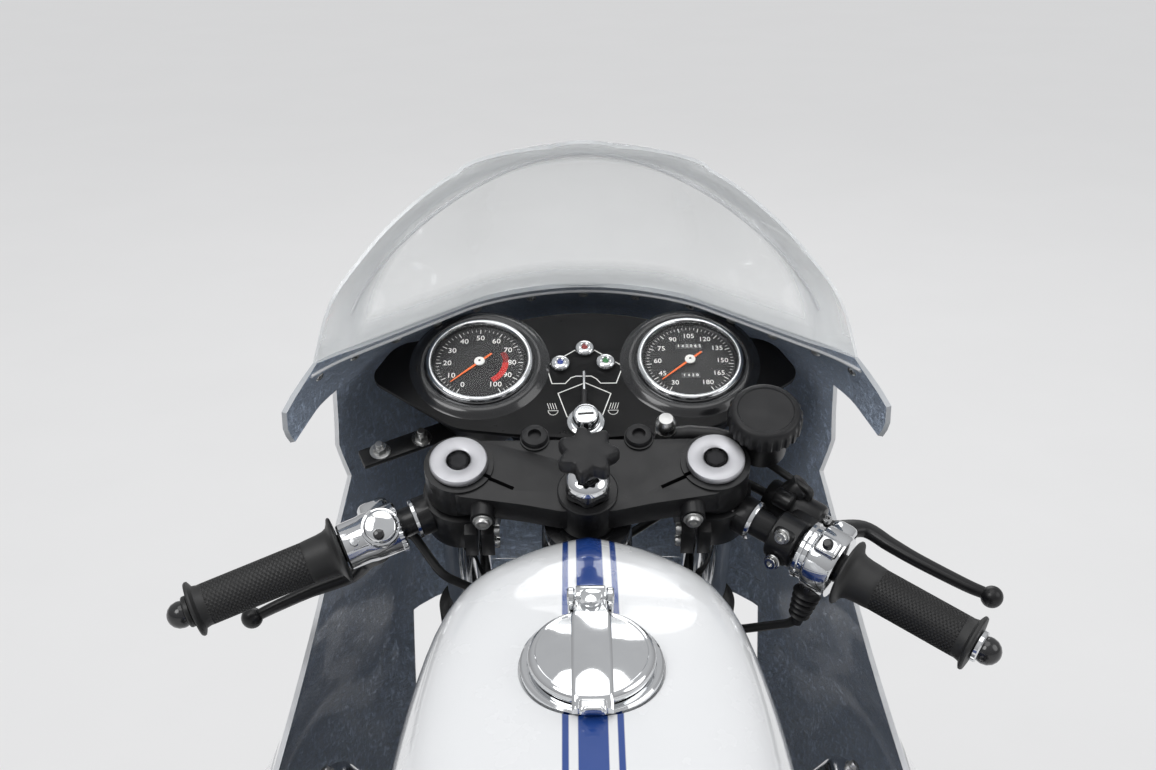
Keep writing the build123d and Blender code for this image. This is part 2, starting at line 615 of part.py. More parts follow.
save("crankcase", crankcase)

gearbox = Pos(0, (CASE_REAR + 30) / 2, CRANK_Z - 20) * Rot(90, 0, 0) * Cone(130, 152, CASE_REAR - 30 - SEAT_GAP)
gear_case = block((-84, 84), (-215, 40), (225, 540))
gear_case = fillet(gear_case.edges().filter_by(Axis.Y), 40)
gearbox += gear_case
gearbox -= block((-200, 200), (-300, 200), (0, CASE_BOTTOM + 10))
for z in (280, 330, 380, 430, 480):
    gearbox += block((-88, 88), (-190, 20), (z - 3, z + 3))
save("gearbox", gearbox)


def finned_barrel():
    """Cylinder and head along local Z, from the crank axis; local X points down and out."""
    barrel = Pos(0, 0, (BARREL_START + HEAD_START) / 2) * Cylinder(50, HEAD_START - BARREL_START)
    barrel += Pos(0, 0, BARREL_START + 4) * Box(118, 126, 8)
    pitch = (HEAD_START - BARREL_START - 14) / FIN_COUNT
    for fin in range(FIN_COUNT):
        plate = fillet(Box(2 * FIN_HALF, 2 * FIN_HALF + 8, 3).edges().filter_by(Axis.Z), 24)
        barrel += Pos(0, 0, BARREL_START + 16 + pitch * fin) * plate
    head_block = fillet(Box(108, 116, HEAD_END - HEAD_START).edges().filter_by(Axis.Z), 14)
    barrel += Pos(0, 0, (HEAD_START + HEAD_END) / 2) * head_block
    for level in (10, 24, 38):
        plate = fillet(Box(2 * FIN_HALF, 2 * FIN_HALF + 12, 3).edges().filter_by(Axis.Z), 18)
        barrel += Pos(0, 0, HEAD_START + level) * plate
    return barrel


def rocker_cover():
    """Cast cover with raised ribs, along local Z."""
    depth = COVER_END - HEAD_END - SEAT_GAP
    cover = Pos(0, 0, HEAD_END + SEAT_GAP + depth / 2) * Box(112, 132, depth)
    cover = fillet(cover.edges().filter_by(Axis.Z), 26)
    cover = fillet(cover.faces().sort_by(Axis.Z)[-1].edges(), 10)
    for offset in (-24, -8, 8, 24):
        cover += Pos(offset, 0, COVER_END - 1) * Box(5, 84, 7)
    return cover


covers = []
for side, sign in SIDES.items():
    place = Pos(0, CYLINDER_Y, CRANK_Z) * Rot(0, sign * CYLINDER_ANGLE, 0)
    port_x, port_z = across(CYLINDER_ANGLE, HEAD_START + 32)
    cylinder = place * finned_barrel()
    cylinder += rod((sign * port_x, CYLINDER_Y + 50, port_z), (sign * port_x, CYLINDER_Y + 72, port_z), 27)
    cylinder += rod((sign * port_x, CYLINDER_Y - 50, port_z), (sign * port_x, CYLINDER_Y - 72, port_z), 24)
    save(f"cylinder_{side}", cylinder)
    covers.append(place * rocker_cover())
save("rocker_covers", *covers)

PORT_X, PORT_Z = across(CYLINDER_ANGLE, HEAD_START + 32)
PORT_FRONT = CYLINDER_Y + 72 + SEAT_GAP
PORT_REAR = CYLINDER_Y - 72 - SEAT_GAP

carburettors = []
for sign in SIDES.values():
    x = sign * PORT_X
    tract = rod((x, PORT_REAR, PORT_Z), (x, PORT_REAR - 40, PORT_Z), 22)
    tract += rod((x, PORT_REAR - 36, PORT_Z), (x, PORT_REAR - 96, PORT_Z), 29)
    tract += block((x - 26, x + 26), (PORT_REAR - 88, PORT_REAR - 44), (PORT_Z - 20, PORT_Z + 62), 6)
    tract += Pos(x, PORT_REAR - 66, PORT_Z - 44) * Cylinder(26, 44)
    bell = Pos(x, PORT_REAR - 112, PORT_Z) * Rot(90, 0, 0) * Cone(25, 38, 34)
    bell -= Pos(x, PORT_REAR - 114, PORT_Z) * Rot(90, 0, 0) * Cone(21, 34, 40)
    carburettors.append(tract + bell)
save("carburettors", *carburettors)


# Exhausts

HEADER_RADIUS = 20
SILENCER_RADIUS = 44
for side, sign in SIDES.items():
    route = [
        (PORT_X, PORT_FRONT, PORT_Z), (PORT_X, 450, PORT_Z), (187, 456, 500), (180, 430, 300),
        (152, 350, 228), (152, 70, 226), (178, -130, 262), (205, -262, 287),
    ]
    route = route if sign > 0 else mirrored(route)
    header = pipe(route, HEADER_RADIUS, [30, 60, 80, 60, 160, 160])
    header += rod(route[0], (route[0][0], PORT_FRONT + 10, PORT_Z), 30)
    start = Vector(sign * 204, -250, 286)
    end = Vector(sign * 216, -850, 332)
    length = (end - start).length
    outline = [
        (0, 0), (HEADER_RADIUS + 2, 0), (SILENCER_RADIUS, 90), (SILENCER_RADIUS, length - 90),
        (30, length - 20), (30, length), (22, length), (22, length - 60), (0, length - 60),
    ]
    silencer = revolve(Plane.XZ * make_face(Polyline(*outline, close=True)), Axis.Z)
    placed = Plane(origin=start, z_dir=end - start).location * silencer
    bracket = block(sorted((sign * 170, sign * 178)), (-372, -340), (310, 372))
    save(f"exhaust_{side}", header + placed + bracket)


# Swingarm, shocks, footrests

swingarm = cylinder_x(24, -103 + SEAT_GAP, 103 - SEAT_GAP, PIVOT_Y, PIVOT_Z)
swingarm += rod((-82, PIVOT_Y - 8, PIVOT_Z - 2), (-94, -HALF_WHEELBASE, REAR_AXLE_Z), 18)
swingarm += rod((100, PIVOT_Y - 40, PIVOT_Z - 5), (102, -HALF_WHEELBASE + 50, REAR_AXLE_Z + 6), 28)
swingarm += rod((70, PIVOT_Y, PIVOT_Z), (88, PIVOT_Y - 65, PIVOT_Z - 8), 22)
swingarm += rod((76, -215 - SEAT_GAP, PIVOT_Z), (76, PIVOT_Y, PIVOT_Z), 22)
swingarm += rod((-96, -345, 380), (96, -345, 380), 18)
bevel = cylinder_x(78, 73, 132, -HALF_WHEELBASE, REAR_AXLE_Z)
swingarm += chamfer(bevel.edges().group_by(Axis.X)[-1], 14)
swingarm += cylinder_x(AXLE_RADIUS, -112, 80, -HALF_WHEELBASE, REAR_AXLE_Z)
swingarm += cylinder_x(26, -112, -76, -HALF_WHEELBASE, REAR_AXLE_Z)
caliper_y = -HALF_WHEELBASE + 40
caliper = block((-88, -48), (caliper_y, caliper_y + 70), (REAR_AXLE_Z - 73, REAR_AXLE_Z - 17), 8)
half_slot = DISC_THICKNESS / 2 + MOVING_GAP
slot_span = (-REAR_DISC_X - half_slot, -REAR_DISC_X + half_slot)
caliper -= cylinder_x(REAR_DISC_RADIUS + 8, *slot_span, -HALF_WHEELBASE, REAR_AXLE_Z)
swingarm += caliper
swingarm += block((-92, -78), (caliper_y + 10, caliper_y + 60), (REAR_AXLE_Z - 35, REAR_AXLE_Z + 10))
FOOT_Y = -HALF_WHEELBASE + 90
FOOT_Z = REAR_AXLE_Z + 15
for sign in SIDES.values():
    swingarm += rod((sign * 96, FOOT_Y, FOOT_Z), (sign * 156, FOOT_Y, FOOT_Z + 21), 9)
save("swingarm", swingarm)

SHOCK_FOOT = (FOOT_Y, FOOT_Z + 16)
shocks = []
for sign in SIDES.values():
    x = sign * SHOCK_X
    top = Vector(x, *SHOCK_TOP)
    foot = Vector(x, *SHOCK_FOOT)
    length = (foot - top).length
    line = Plane(origin=top, z_dir=foot - top).location
    shock = line * Pos(0, 0, length / 2) * Cylinder(9, length - 20)
    shock += line * Pos(0, 0, 70) * Cylinder(20, 76)
    for turn in range(9):
        shock += line * Pos(0, 0, 112 + 20 * turn) * Cylinder(26, 9)
    shock += line * Pos(0, 0, length - 46) * Cylinder(18, 30)
    low, high = sorted((sign * (SHOCK_X - 10.5), sign * (SHOCK_X + 10.5)))
    shock += cylinder_x(16, low, high, *SHOCK_TOP) + cylinder_x(16, low, high, *SHOCK_FOOT)
    shock -= cylinder_x(9 + SEAT_GAP, low - 20, high + 20, *SHOCK_TOP)
    shock -= rod((sign * 96, FOOT_Y, FOOT_Z), (sign * 176, FOOT_Y, FOOT_Z + 28), 9 + SEAT_GAP)
    shocks.append(shock)
save("shocks", *shocks)

footrests = []
for sign in SIDES.values():
    low, high = sorted((sign * (132 + SEAT_GAP), sign * 138))
    plate = block((low, high), (-420, -262), (372, 412))
    low, high = sorted((sign * 134, sign * 222))
    peg = cylinder_x(11, low, high, -385, 400)
    hanger = block(sorted((sign * 134, sign * (170 - SEAT_GAP))), (-372, -352), (360, 376))
    pedal = rod((sign * 138, -400, 392), (sign * 146, -225, 396), 6)
    toe = cylinder_x(8, *sorted((sign * 140, sign * 190)), -225, 396)
    footrests.append(plate + peg + pedal + toe + hanger)
save("footrests", *footrests)


# Rear mudguard, seat and tail

rear_guard = rear_place * mudguard(TYRE_RADIUS + GUARD_GAP, 62, 62, 150)
rear_guard = rear_guard - block((-80, 80), (-560, -200), (0, 560))
plate_y = -HALF_WHEELBASE - 298
plate_z = REAR_AXLE_Z + 277
plate_place = Pos(0, plate_y, plate_z)
plate = plate_place * Box(160, 3, 110)
for hole in (-50, 50):
    plate -= plate_place * Pos(hole, 0, 0) * Rot(90, 0, 0) * Cylinder(3.2, 12)
rear_guard += rod((0, plate_y + 66, plate_z - 20), (0, plate_y + 1, plate_z - 12), 7)
rear_guard += plate
save("rear_mudguard", rear_guard)

tail_lamp = Pos(0, -894 - SEAT_GAP, 768) * Rot(90, 0, 0) * Cylinder(36, 40)
tail_lamp = fillet(tail_lamp.edges().group_by(Axis.Y)[0], 10)
save("tail_lamp", tail_lamp)

# Seat base and tail: half width, underside, shoulder and top height along the bike
tail_low = SEAT_RAIL_Z + 11 + SEAT_GAP
tail_sections = [
    (-178, 104, tail_low, 726, 738), (-330, 116, tail_low, 730, 744), (-560, 122, tail_low, 742, 760),
    (-640, 118, tail_low, 790, 848), (-760, 104, 722, 800, 856), (-874, 62, 738, 778, 812),
]
tail_faces = []
for y, half, low, shoulder, top in tail_sections:
    points = [
        (-half * 0.8, low), (half * 0.8, low), (half, shoulder),
        (half * 0.6, top), (-half * 0.6, top), (-half, shoulder),
    ]
    outline = FilletPolyline(*points, radius=[4, 4, 8, 14, 14, 8], close=True)
    tail_faces.append(Plane(origin=(0, y, 0), x_dir=(1, 0, 0), z_dir=(0, -1, 0)) * make_face(outline))
seat_tail = loft(tail_faces, ruled=True)
save("seat_tail", seat_tail)

pad_sections = [
    (-182, 96, 740, 770), (-260, 108, 744, 782), (-420, 118, 752, 788), (-560, 112, 762, 802), (-612, 92, 788, 836),
]
pad_faces = []
for y, half, low, top in pad_sections:
    points = [(-half, low), (half, low), (half, top - 10), (half * 0.7, top), (-half * 0.7, top), (-half, top - 10)]
    outline = FilletPolyline(*points, radius=[3, 3, 8, 10, 10, 8], close=True)
    pad_faces.append(Plane(origin=(0, y, 0), x_dir=(1, 0, 0), z_dir=(0, -1, 0)) * make_face(outline))
seat_pad = loft(pad_faces, ruled=True)
seat_pad -= Pos(0, 0, SEAT_GAP) * seat_tail
save("seat_pad", seat_pad.solids().sort_by(SortBy.VOLUME)[-1])


# Tank: half width at the base, at the widest and at the shoulder; base, widest, shoulder and crown heights
tank_sections = [
    (374, 30, 42, 28, 800, 846, 884, 893),
    (352, 70, 84, 62, 772, 836, 887, 902),
    (312, 98, 111, 86, 759, 830, 894, 908),
    (250, 112, 124, 98, 752, 828, 892, 909),
    (150, 118, 132, 104, 750, 820, 874, 892),
    (0, 112, 128, 96, 746, 800, 842, 860),
    (-120, 96, 110, 80, 742, 780, 806, 822),
    (-176, 74, 82, 60, 736, 766, 792, 800),
]
tank_faces = []
for y, base, widest, shoulder, low, middle, high, crown in tank_sections:
    points = [
        (-base, low), (base, low), (widest, middle), (shoulder, high), (0, crown), (-shoulder, high), (-widest, middle),
    ]
    scale = min(1, widest / 76)
    radii = [radius * scale for radius in (10, 10, 30, 26, 120, 26, 30)]
    outline = FilletPolyline(*points, radius=radii, close=True)
    tank_faces.append(Plane(origin=(0, y, 0), x_dir=(1, 0, 0), z_dir=(0, -1, 0)) * make_face(outline))
tank = loft(tank_faces, ruled=True)
tunnel_mid = (TOP_TUBE_FRONT[1] + TOP_TUBE_REAR[1]) / 2
tank -= on_tube(tunnel_mid) * Pos(0, 0, TANK_SADDLE + SEAT_GAP - 100) * Box(64, 800, 200)
filler = Plane(
    origin=(0, FILLER_Y, FILLER_Z), x_dir=(1, 0, 0),
    z_dir=(0, -math.sin(math.radians(FILLER_TILT)), math.cos(math.radians(FILLER_TILT))),
).location
tank -= filler * Pos(0, 0, -24) * Cylinder(32, 60)
tank -= filler * Pos(0, 0, 50) * Cylinder(FILLER_RADIUS + 1, 100)
tank -= filler * Pos(0, 50, 28) * Box(34, 30, 50)
save("fuel_tank", tank)

HINGE_OUT = 50
HINGE_UP = 14
ring = filler * (Pos(0, 0, 3 + SEAT_GAP) * Cylinder(FILLER_RADIUS, 6) - Cylinder(31, 40))
for sign in SIDES.values():
    lug = Pos(sign * 12.5, HINGE_OUT - 3, 6.5) * Box(5, 12, 13) + Pos(sign * 12.5, HINGE_OUT, HINGE_UP) * cylinder_x(6, -2.5, 2.5)
    ring += filler * lug
ring += filler * Pos(0, HINGE_OUT, HINGE_UP) * cylinder_x(2.5, -14, 14)
save("filler_ring", ring)

lid = Pos(0, 0, 11.1) * Cylinder(LID_RADIUS, 9)
lid = fillet(lid.edges().group_by(Axis.Z)[-1], 5)
lid += Pos(0, 2, 17) * Box(19, 2 * LID_RADIUS - 2, 7)
lid += Pos(0, HINGE_OUT - 8, HINGE_UP + 2) * Box(19, 14, 8)
lid += Pos(0, HINGE_OUT, HINGE_UP) * cylinder_x(7, -9.5, 9.5)
lid += Pos(0, -LID_RADIUS - 4, 14) * Box(19, 16, 8)
lid += Pos(0, 0, 3) * (Cylinder(25, 10) - Cylinder(21, 12))
lid -= Pos(0, HINGE_OUT, HINGE_UP) * cylinder_x(2.5 + SEAT_GAP, -20, 20)
save("filler_lid", filler * lid)


# Fairing: outline of each level: z, rear, shoulder and nose corners, shoulder and nose radii
fairing_sections = [
    (144, 120, -60, 128, 330, 92, 470, 60, 40),
    (190, 176, -60, 182, 360, 150, 570, 80, 50),
    (300, 222, -60, 226, 400, 160, 620, 90, 60),
    (400, 254, -60, 258, 420, 166, 640, 100, 60),
    (600, 280, -60, 284, 430, 168, 652, 110, 60),
    (700, 238, -60, 244, 450, 150, 690, 110, 70),
    (790, 212, -60, 216, 500, 118, 745, 110, 76),
    (880, 206, 200, 209, 566, 92, 762, 110, 80),
    (940, 224, 420, 207, 566, 80, 722, 110, 74),
    (988, 224, 420, 206, 480, 62, 654, 60, 58),
]
FAIRING_SPLIT = 700


def level_face(row, z, inset=0, drop=0):
    rear_x, rear_y, side_x, side_y, nose_x, nose_y, side_radius, nose_radius = row
    points = [
        (rear_x, rear_y), (side_x, side_y), (nose_x, nose_y), (-nose_x, nose_y), (-side_x, side_y), (-rear_x, rear_y),
    ]
    radii = [1 + inset, side_radius, nose_radius, nose_radius, side_radius, 1 + inset]
    face = filleted_face(points, radii, z)
    return offset(face, -inset) if inset else face


def fairing_solid(inset, low_extra, high_extra):
    faces = []
    for index, (z, *row) in enumerate(fairing_sections):
        if index == 0:
            z += low_extra
        if index == len(fairing_sections) - 1:
            z += high_extra
        faces.append(level_face(row, z, inset))
    return loft(faces, ruled=True)


fairing_outer = fairing_solid(0, 0, 0)
fairing_inner = fairing_solid(WALL, WALL, 1)
fairing_edge = [
    (478, 989), (430, 966), (438, 945), (566, 940), (566, 850), (480, 777), (336, 719), (205, 640), (155, 560),
    (132, 400), (150, 230), (190, 140), (800, 140), (800, 989),
]
fairing = fairing_outer - fairing_inner
fairing = fairing & side_prism(fairing_edge, 400)
WHEEL_ARCH = TYRE_RADIUS + 48
fairing -= cylinder_x(WHEEL_ARCH, -160, 160, FRONT_AXLE_Y, TYRE_RADIUS)
fairing -= block((-160, 160), (FRONT_AXLE_Y - WHEEL_ARCH, 1100), (100, TYRE_RADIUS))
headlamp_cut = Pos(0, 700, HEADLAMP_Z) * Rot(90, 0, 0) * Cylinder(HEADLAMP_RADIUS, 260)
fairing -= headlamp_cut
upper = fairing & block((-400, 400), (0, 1000), (FAIRING_SPLIT, 1000))
save("fairing_upper", upper.solids().sort_by(SortBy.VOLUME)[-1])
for side, sign in SIDES.items():
    low, high = sorted((sign * 0.5, sign * 400))
    panel = fairing & block((low, high), (0, 1000), (100, FAIRING_SPLIT - SEAT_GAP))
    save(f"fairing_side_{side}", panel.solids().sort_by(SortBy.VOLUME)[-1])

lamp_bowl = Cone(40, HEADLAMP_RADIUS - 2, 60) + Pos(0, 0, 42) * Cylinder(HEADLAMP_RADIUS - SEAT_GAP, 24)
lens = Pos(0, 0, 54) * (Pos(0, 0, -150) * Sphere(170) & Pos(0, 0, 40) * Cylinder(HEADLAMP_RADIUS - 5, 80))
headlamp = Pos(0, 700, HEADLAMP_Z) * Rot(-90, 0, 0) * (lamp_bowl + lens)
save("headlamp", headlamp)

# Screen: levels with the same corners as the fairing's
screen_sections = [
    (988 + SEAT_GAP, 216, 420, 206, 480, 62, 654, 60, 58),
    (1045, 178, 420, 172, 508, 52, 640, 50, 48),
    (1090, 134, 420, 129, 526, 42, 616, 40, 38),
    (1122, 90, 420, 86, 538, 30, 586, 24, 26),
    (1141, 40, 420, 36, 540, 14, 552, 6, 8),
]
screen_faces = [level_face(row, z) for z, *row in screen_sections]
screen = loft(screen_faces, ruled=True)
inner_faces = []
for index, (z, *row) in enumerate(screen_sections):
    last = index == len(screen_sections) - 1
    z -= SCREEN_WALL if last or index == 0 else 0
    inner_faces.append(level_face(row, z, SCREEN_WALL))
screen -= loft(inner_faces, ruled=True)
SCREEN_RAKE = math.radians(21.6)
screen_rear = Plane(
    origin=(0, 480, 988), x_dir=(1, 0, 0), z_dir=(0, -math.cos(SCREEN_RAKE), math.sin(SCREEN_RAKE)),
)
screen -= screen_rear.location * Pos(0, 0, 250) * Box(800, 900, 500)
save("windscreen", screen.solids().sort_by(SortBy.VOLUME)[-1])


# Dash and its bracket, in the steering frame's directions but fixed to the frame
dash_outline = [
    (-176, 124), (-156, 160), (0, 200), (156, 160), (176, 124), (104, 72), (60, 66), (0, 60), (-60, 66), (-104, 72),
]
dash_face = filleted_face(dash_outline, [14, 30, 200, 30, 14, 40, 40, 60, 40, 40], DASH_LEVEL - 4)
dash = extrude(dash_face, amount=4)
for sign in SIDES.values():
    dash += cylinder_w(GAUGE_RADIUS + 8, DASH_LEVEL - 4, DASH_LEVEL + 3, sign * GAUGE_X, GAUGE_U)
for sign in SIDES.values():
    dash -= cylinder_w(GAUGE_RADIUS - 2 + SEAT_GAP, DASH_LEVEL - 20, DASH_LEVEL + 20, sign * GAUGE_X, GAUGE_U)
    dash -= cylinder_w(GAUGE_RADIUS + SEAT_GAP, DASH_LEVEL - 2, DASH_LEVEL + 20, sign * GAUGE_X, GAUGE_U)
LAMP_PLACES = [(0, 153, 6), (-20, 137, 6), (17, 138, 6), (0, 77, 13)]
for x, u, radius in LAMP_PLACES:
    dash -= cylinder_w(radius, DASH_LEVEL - 20, DASH_LEVEL + 20, x, u)
save("dash_panel", steer * dash)

gauges = []
for sign in SIDES.values():
    gauge = cylinder_w(GAUGE_RADIUS - 2, DASH_LEVEL - 60, DASH_LEVEL + 2, sign * GAUGE_X, GAUGE_U)
    gauge += cylinder_w(GAUGE_RADIUS, DASH_LEVEL - 2 + SEAT_GAP, DASH_LEVEL + 8, sign * GAUGE_X, GAUGE_U)
    gauge -= cylinder_w(GAUGE_RADIUS - 5, DASH_LEVEL + 2, DASH_LEVEL + 10, sign * GAUGE_X, GAUGE_U)
    gauges.append(steer * gauge)
save("instruments", *gauges)

switches = []
for x, u, radius in LAMP_PLACES:
    height = 5 if radius < 10 else 12
    piece = cylinder_w(radius - SEAT_GAP, DASH_LEVEL - 22, DASH_LEVEL + height, x, u)
    piece += cylinder_w(radius + 2, DASH_LEVEL + SEAT_GAP, DASH_LEVEL + 2, x, u)
    switches.append(steer * piece)
save("dash_switches", *switches)

BRACKET_W = -112
bracket = rod((-28, -FORK_OFFSET + 20, BRACKET_W), (-28, 196, BRACKET_W), 8)
bracket += rod((28, -FORK_OFFSET + 20, BRACKET_W), (28, 196, BRACKET_W), 8)
bracket += rod((-260, 196, BRACKET_W), (260, 196, BRACKET_W), 8)
for sign in SIDES.values():
    bracket += rod((sign * 28, 112, BRACKET_W), (sign * 28, 112, DASH_LEVEL - 4 - SEAT_GAP), 7)
bracket = steer * bracket
bracket -= steer * cylinder_w(HEAD_RADIUS + SEAT_GAP, HEAD_BOTTOM, HEAD_TOP, 0, -FORK_OFFSET)
bracket = bracket & fairing_solid(WALL + SEAT_GAP, 0, 0)
bracket += rod((0, 648, 921), (0, 648, HEADLAMP_Z - 8), 6)
bracket += rod((0, 648, HEADLAMP_Z), (0, 670 - SEAT_GAP, HEADLAMP_Z), 9)
save("fairing_bracket", bracket.solids().sort_by(SortBy.VOLUME)[-1])


# Centre stand

stand = cylinder_x(STAND_PIN, -118, 118, STAND_PIVOT_Y, STAND_PIVOT_Z)
foot_z = STAND_TUBE
for sign in SIDES.values():
    low, high = sorted((sign * 105, sign * 117))
    stand += cylinder_x(16, low, high, STAND_PIVOT_Y, STAND_PIVOT_Z)
    stand += rod((sign * 112, STAND_PIVOT_Y, STAND_PIVOT_Z), (sign * STAND_FOOT_X, STAND_FOOT_Y, foot_z), STAND_TUBE)
    low, high = sorted((sign * 138, sign * 164))
    stand += block((low, high), (STAND_FOOT_Y - 26, STAND_FOOT_Y + 22), (0, 12), 2)
middle = 0.42
bar_y = STAND_PIVOT_Y + middle * (STAND_FOOT_Y - STAND_PIVOT_Y)
bar_z = STAND_PIVOT_Z + middle * (foot_z - STAND_PIVOT_Z)
stand += cylinder_x(STAND_TUBE, -126, 126, bar_y, bar_z)
save("centre_stand", stand)
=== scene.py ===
"""Cafe racer motorcycle, dressed around its solid model: paint, cockpit, wheels, engine and seat."""
import math

import bmesh
import bpy
from bpy.props import FloatProperty, FloatVectorProperty, IntProperty, PointerProperty
from mathutils import Matrix, Vector
from mathutils.bvhtree import BVHTree
from mathutils.geometry import interpolate_bezier


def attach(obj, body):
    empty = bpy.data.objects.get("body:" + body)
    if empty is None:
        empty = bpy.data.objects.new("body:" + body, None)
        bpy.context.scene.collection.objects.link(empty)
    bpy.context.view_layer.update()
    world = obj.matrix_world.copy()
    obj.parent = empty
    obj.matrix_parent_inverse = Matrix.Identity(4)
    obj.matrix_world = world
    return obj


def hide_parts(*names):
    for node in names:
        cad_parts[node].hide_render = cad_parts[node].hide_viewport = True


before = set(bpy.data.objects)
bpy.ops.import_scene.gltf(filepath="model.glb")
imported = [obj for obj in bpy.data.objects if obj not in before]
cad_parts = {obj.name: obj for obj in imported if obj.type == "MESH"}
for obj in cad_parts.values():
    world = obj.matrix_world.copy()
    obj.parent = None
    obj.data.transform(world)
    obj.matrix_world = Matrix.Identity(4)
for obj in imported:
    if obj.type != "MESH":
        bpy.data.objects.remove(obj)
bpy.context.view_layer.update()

bl_info = {
    "name": "Cafe racer motorcycle",
    "version": (1, 0, 0),
    "blender": (4, 5, 0),
    "location": "3D View > Sidebar > Motorcycle",
    "description": "Builds the painted, detailed motorcycle around its solid model",
    "category": "Object",
}

MM = 0.001
SIDES = {"left": -1, "right": 1}

# Steering geometry, in millimetres and degrees, as in the solid model
RAKE = math.radians(27.5)
CLAMP = Vector((0, 422.4, 930))
FORK_OFFSET = 26
FORK_X = 95
TYRE_RADIUS = 320
FORK_LENGTH = (CLAMP.z - TYRE_RADIUS) / math.cos(RAKE)
FRONT_AXLE = Vector((0, CLAMP.y + FORK_LENGTH * math.sin(RAKE), TYRE_RADIUS))
REAR_AXLE = Vector((0, -740, 335))
BAR_DEPTH = 45
BAR_DROP = math.radians(16)
BAR_SWEEP = {"left": math.radians(16.5), "right": math.radians(32.5)}
GRIP_SPAN = {"left": (98, 216), "right": (116, 222)}
DASH_LEVEL = -50
GAUGE_X = 86
GAUGE_U = 138
FILLER = Vector((0, 200, 897))
FILLER_TILT = math.radians(11)
HEADLAMP = (0, 700, 850)
CRANK_Z = 435
CYLINDER_Y = 328


def at(x, y, z):
    return Matrix.Translation((x, y, z))


def turn(degrees, axis):
    return Matrix.Rotation(math.radians(degrees), 4, axis)


def axes(origin, x_dir, z_dir):
    """Place from an origin, an X direction and a Z direction."""
    z = Vector(z_dir).normalized()
    x = (Vector(x_dir) - z * Vector(x_dir).dot(z)).normalized()
    y = z.cross(x)
    return Matrix.Translation(origin) @ Matrix((x, y, z)).transposed().to_4x4()


STEER = axes(CLAMP, (1, 0, 0), (0, -math.sin(RAKE), math.cos(RAKE)))
FILLER_PLACE = axes(FILLER, (1, 0, 0), (0, -math.sin(FILLER_TILT), math.cos(FILLER_TILT)))
FRONT_PLACE = axes(FRONT_AXLE, (0, 1, 0), (1, 0, 0))
REAR_PLACE = axes(REAR_AXLE, (0, 1, 0), (1, 0, 0))


def bar_place(side):
    """Place on a bar: z out along it, x forward and y up on the right, down on the left."""
    sign = SIDES[side]
    sweep = BAR_SWEEP[side]
    out = Vector((
        sign * math.cos(sweep) * math.cos(BAR_DROP),
        -math.sin(sweep) * math.cos(BAR_DROP),
        -math.sin(BAR_DROP),
    ))
    forward = Vector((0, 0, 1)).cross(out).normalized() * sign
    root = STEER @ Vector((sign * FORK_X, 0, -BAR_DEPTH))
    return axes(root, forward, out)


BARS = {side: bar_place(side) for side in SIDES}


# Curves and outlines

def spline(points, steps, closed=False):
    """Smooth line through points, with steps points on each span."""
    pts = [Vector(p) for p in points]
    count = len(pts)
    spans = count if closed else count - 1
    line = []
    for i in range(spans):
        p1, p2 = pts[i], pts[(i + 1) % count]
        p0 = pts[i - 1] if closed or i else p1 * 2 - p2
        p3 = pts[(i + 2) % count] if closed or i + 2 < count else p2 * 2 - p1
        for k in range(steps):
            t = k / steps
            line.append(0.5 * (
                2 * p1 + (p2 - p0) * t + (2 * p0 - 5 * p1 + 4 * p2 - p3) * t ** 2
                + (3 * p1 - p0 - 3 * p2 + p3) * t ** 3
            ))
    if not closed:
        line.append(pts[-1])
    return line


def resample(line, count):
    """The same open line with count points at even distances."""
    lengths = [0.0]
    for a, b in zip(line, line[1:]):
        lengths.append(lengths[-1] + (b - a).length)
    result = []
    k = 0
    for i in range(count):
        target = lengths[-1] * i / (count - 1)
        while k < len(line) - 2 and lengths[k + 1] < target:
            k += 1
        span = lengths[k + 1] - lengths[k]
        t = (target - lengths[k]) / span if span else 0
        result.append(line[k].lerp(line[k + 1], max(0, min(1, t))))
    return result


def rounded(points, radius, steps=6):
    """Open line of points with each inner corner turned into an arc-like bend."""
    pts = [Vector(p) for p in points]
    line = [pts[0]]
    for before, corner, after in zip(pts, pts[1:], pts[2:]):
        a = before - corner
        b = after - corner
        reach = min(radius, a.length * 0.49, b.length * 0.49)
        start = corner + a.normalized() * reach
        end = corner + b.normalized() * reach
        line += interpolate_bezier(start, start.lerp(corner, 0.55), end.lerp(corner, 0.55), end, steps)
    return line + [pts[-1]]


def polar(radius, angle, z=0.0):
    """Point at a distance from the Z axis and an angle round it."""
    return Vector((radius * math.cos(angle), radius * math.sin(angle), z))


def circle(radius, count, z):
    """Points evenly round the Z axis."""
    return [polar(radius, math.tau * i / count, z) for i in range(count)]


def off_flat(angle):
    """Angle to the middle of the nearest of a hexagon's six flats."""
    return (angle + math.pi / 6) % (math.pi / 3) - math.pi / 6


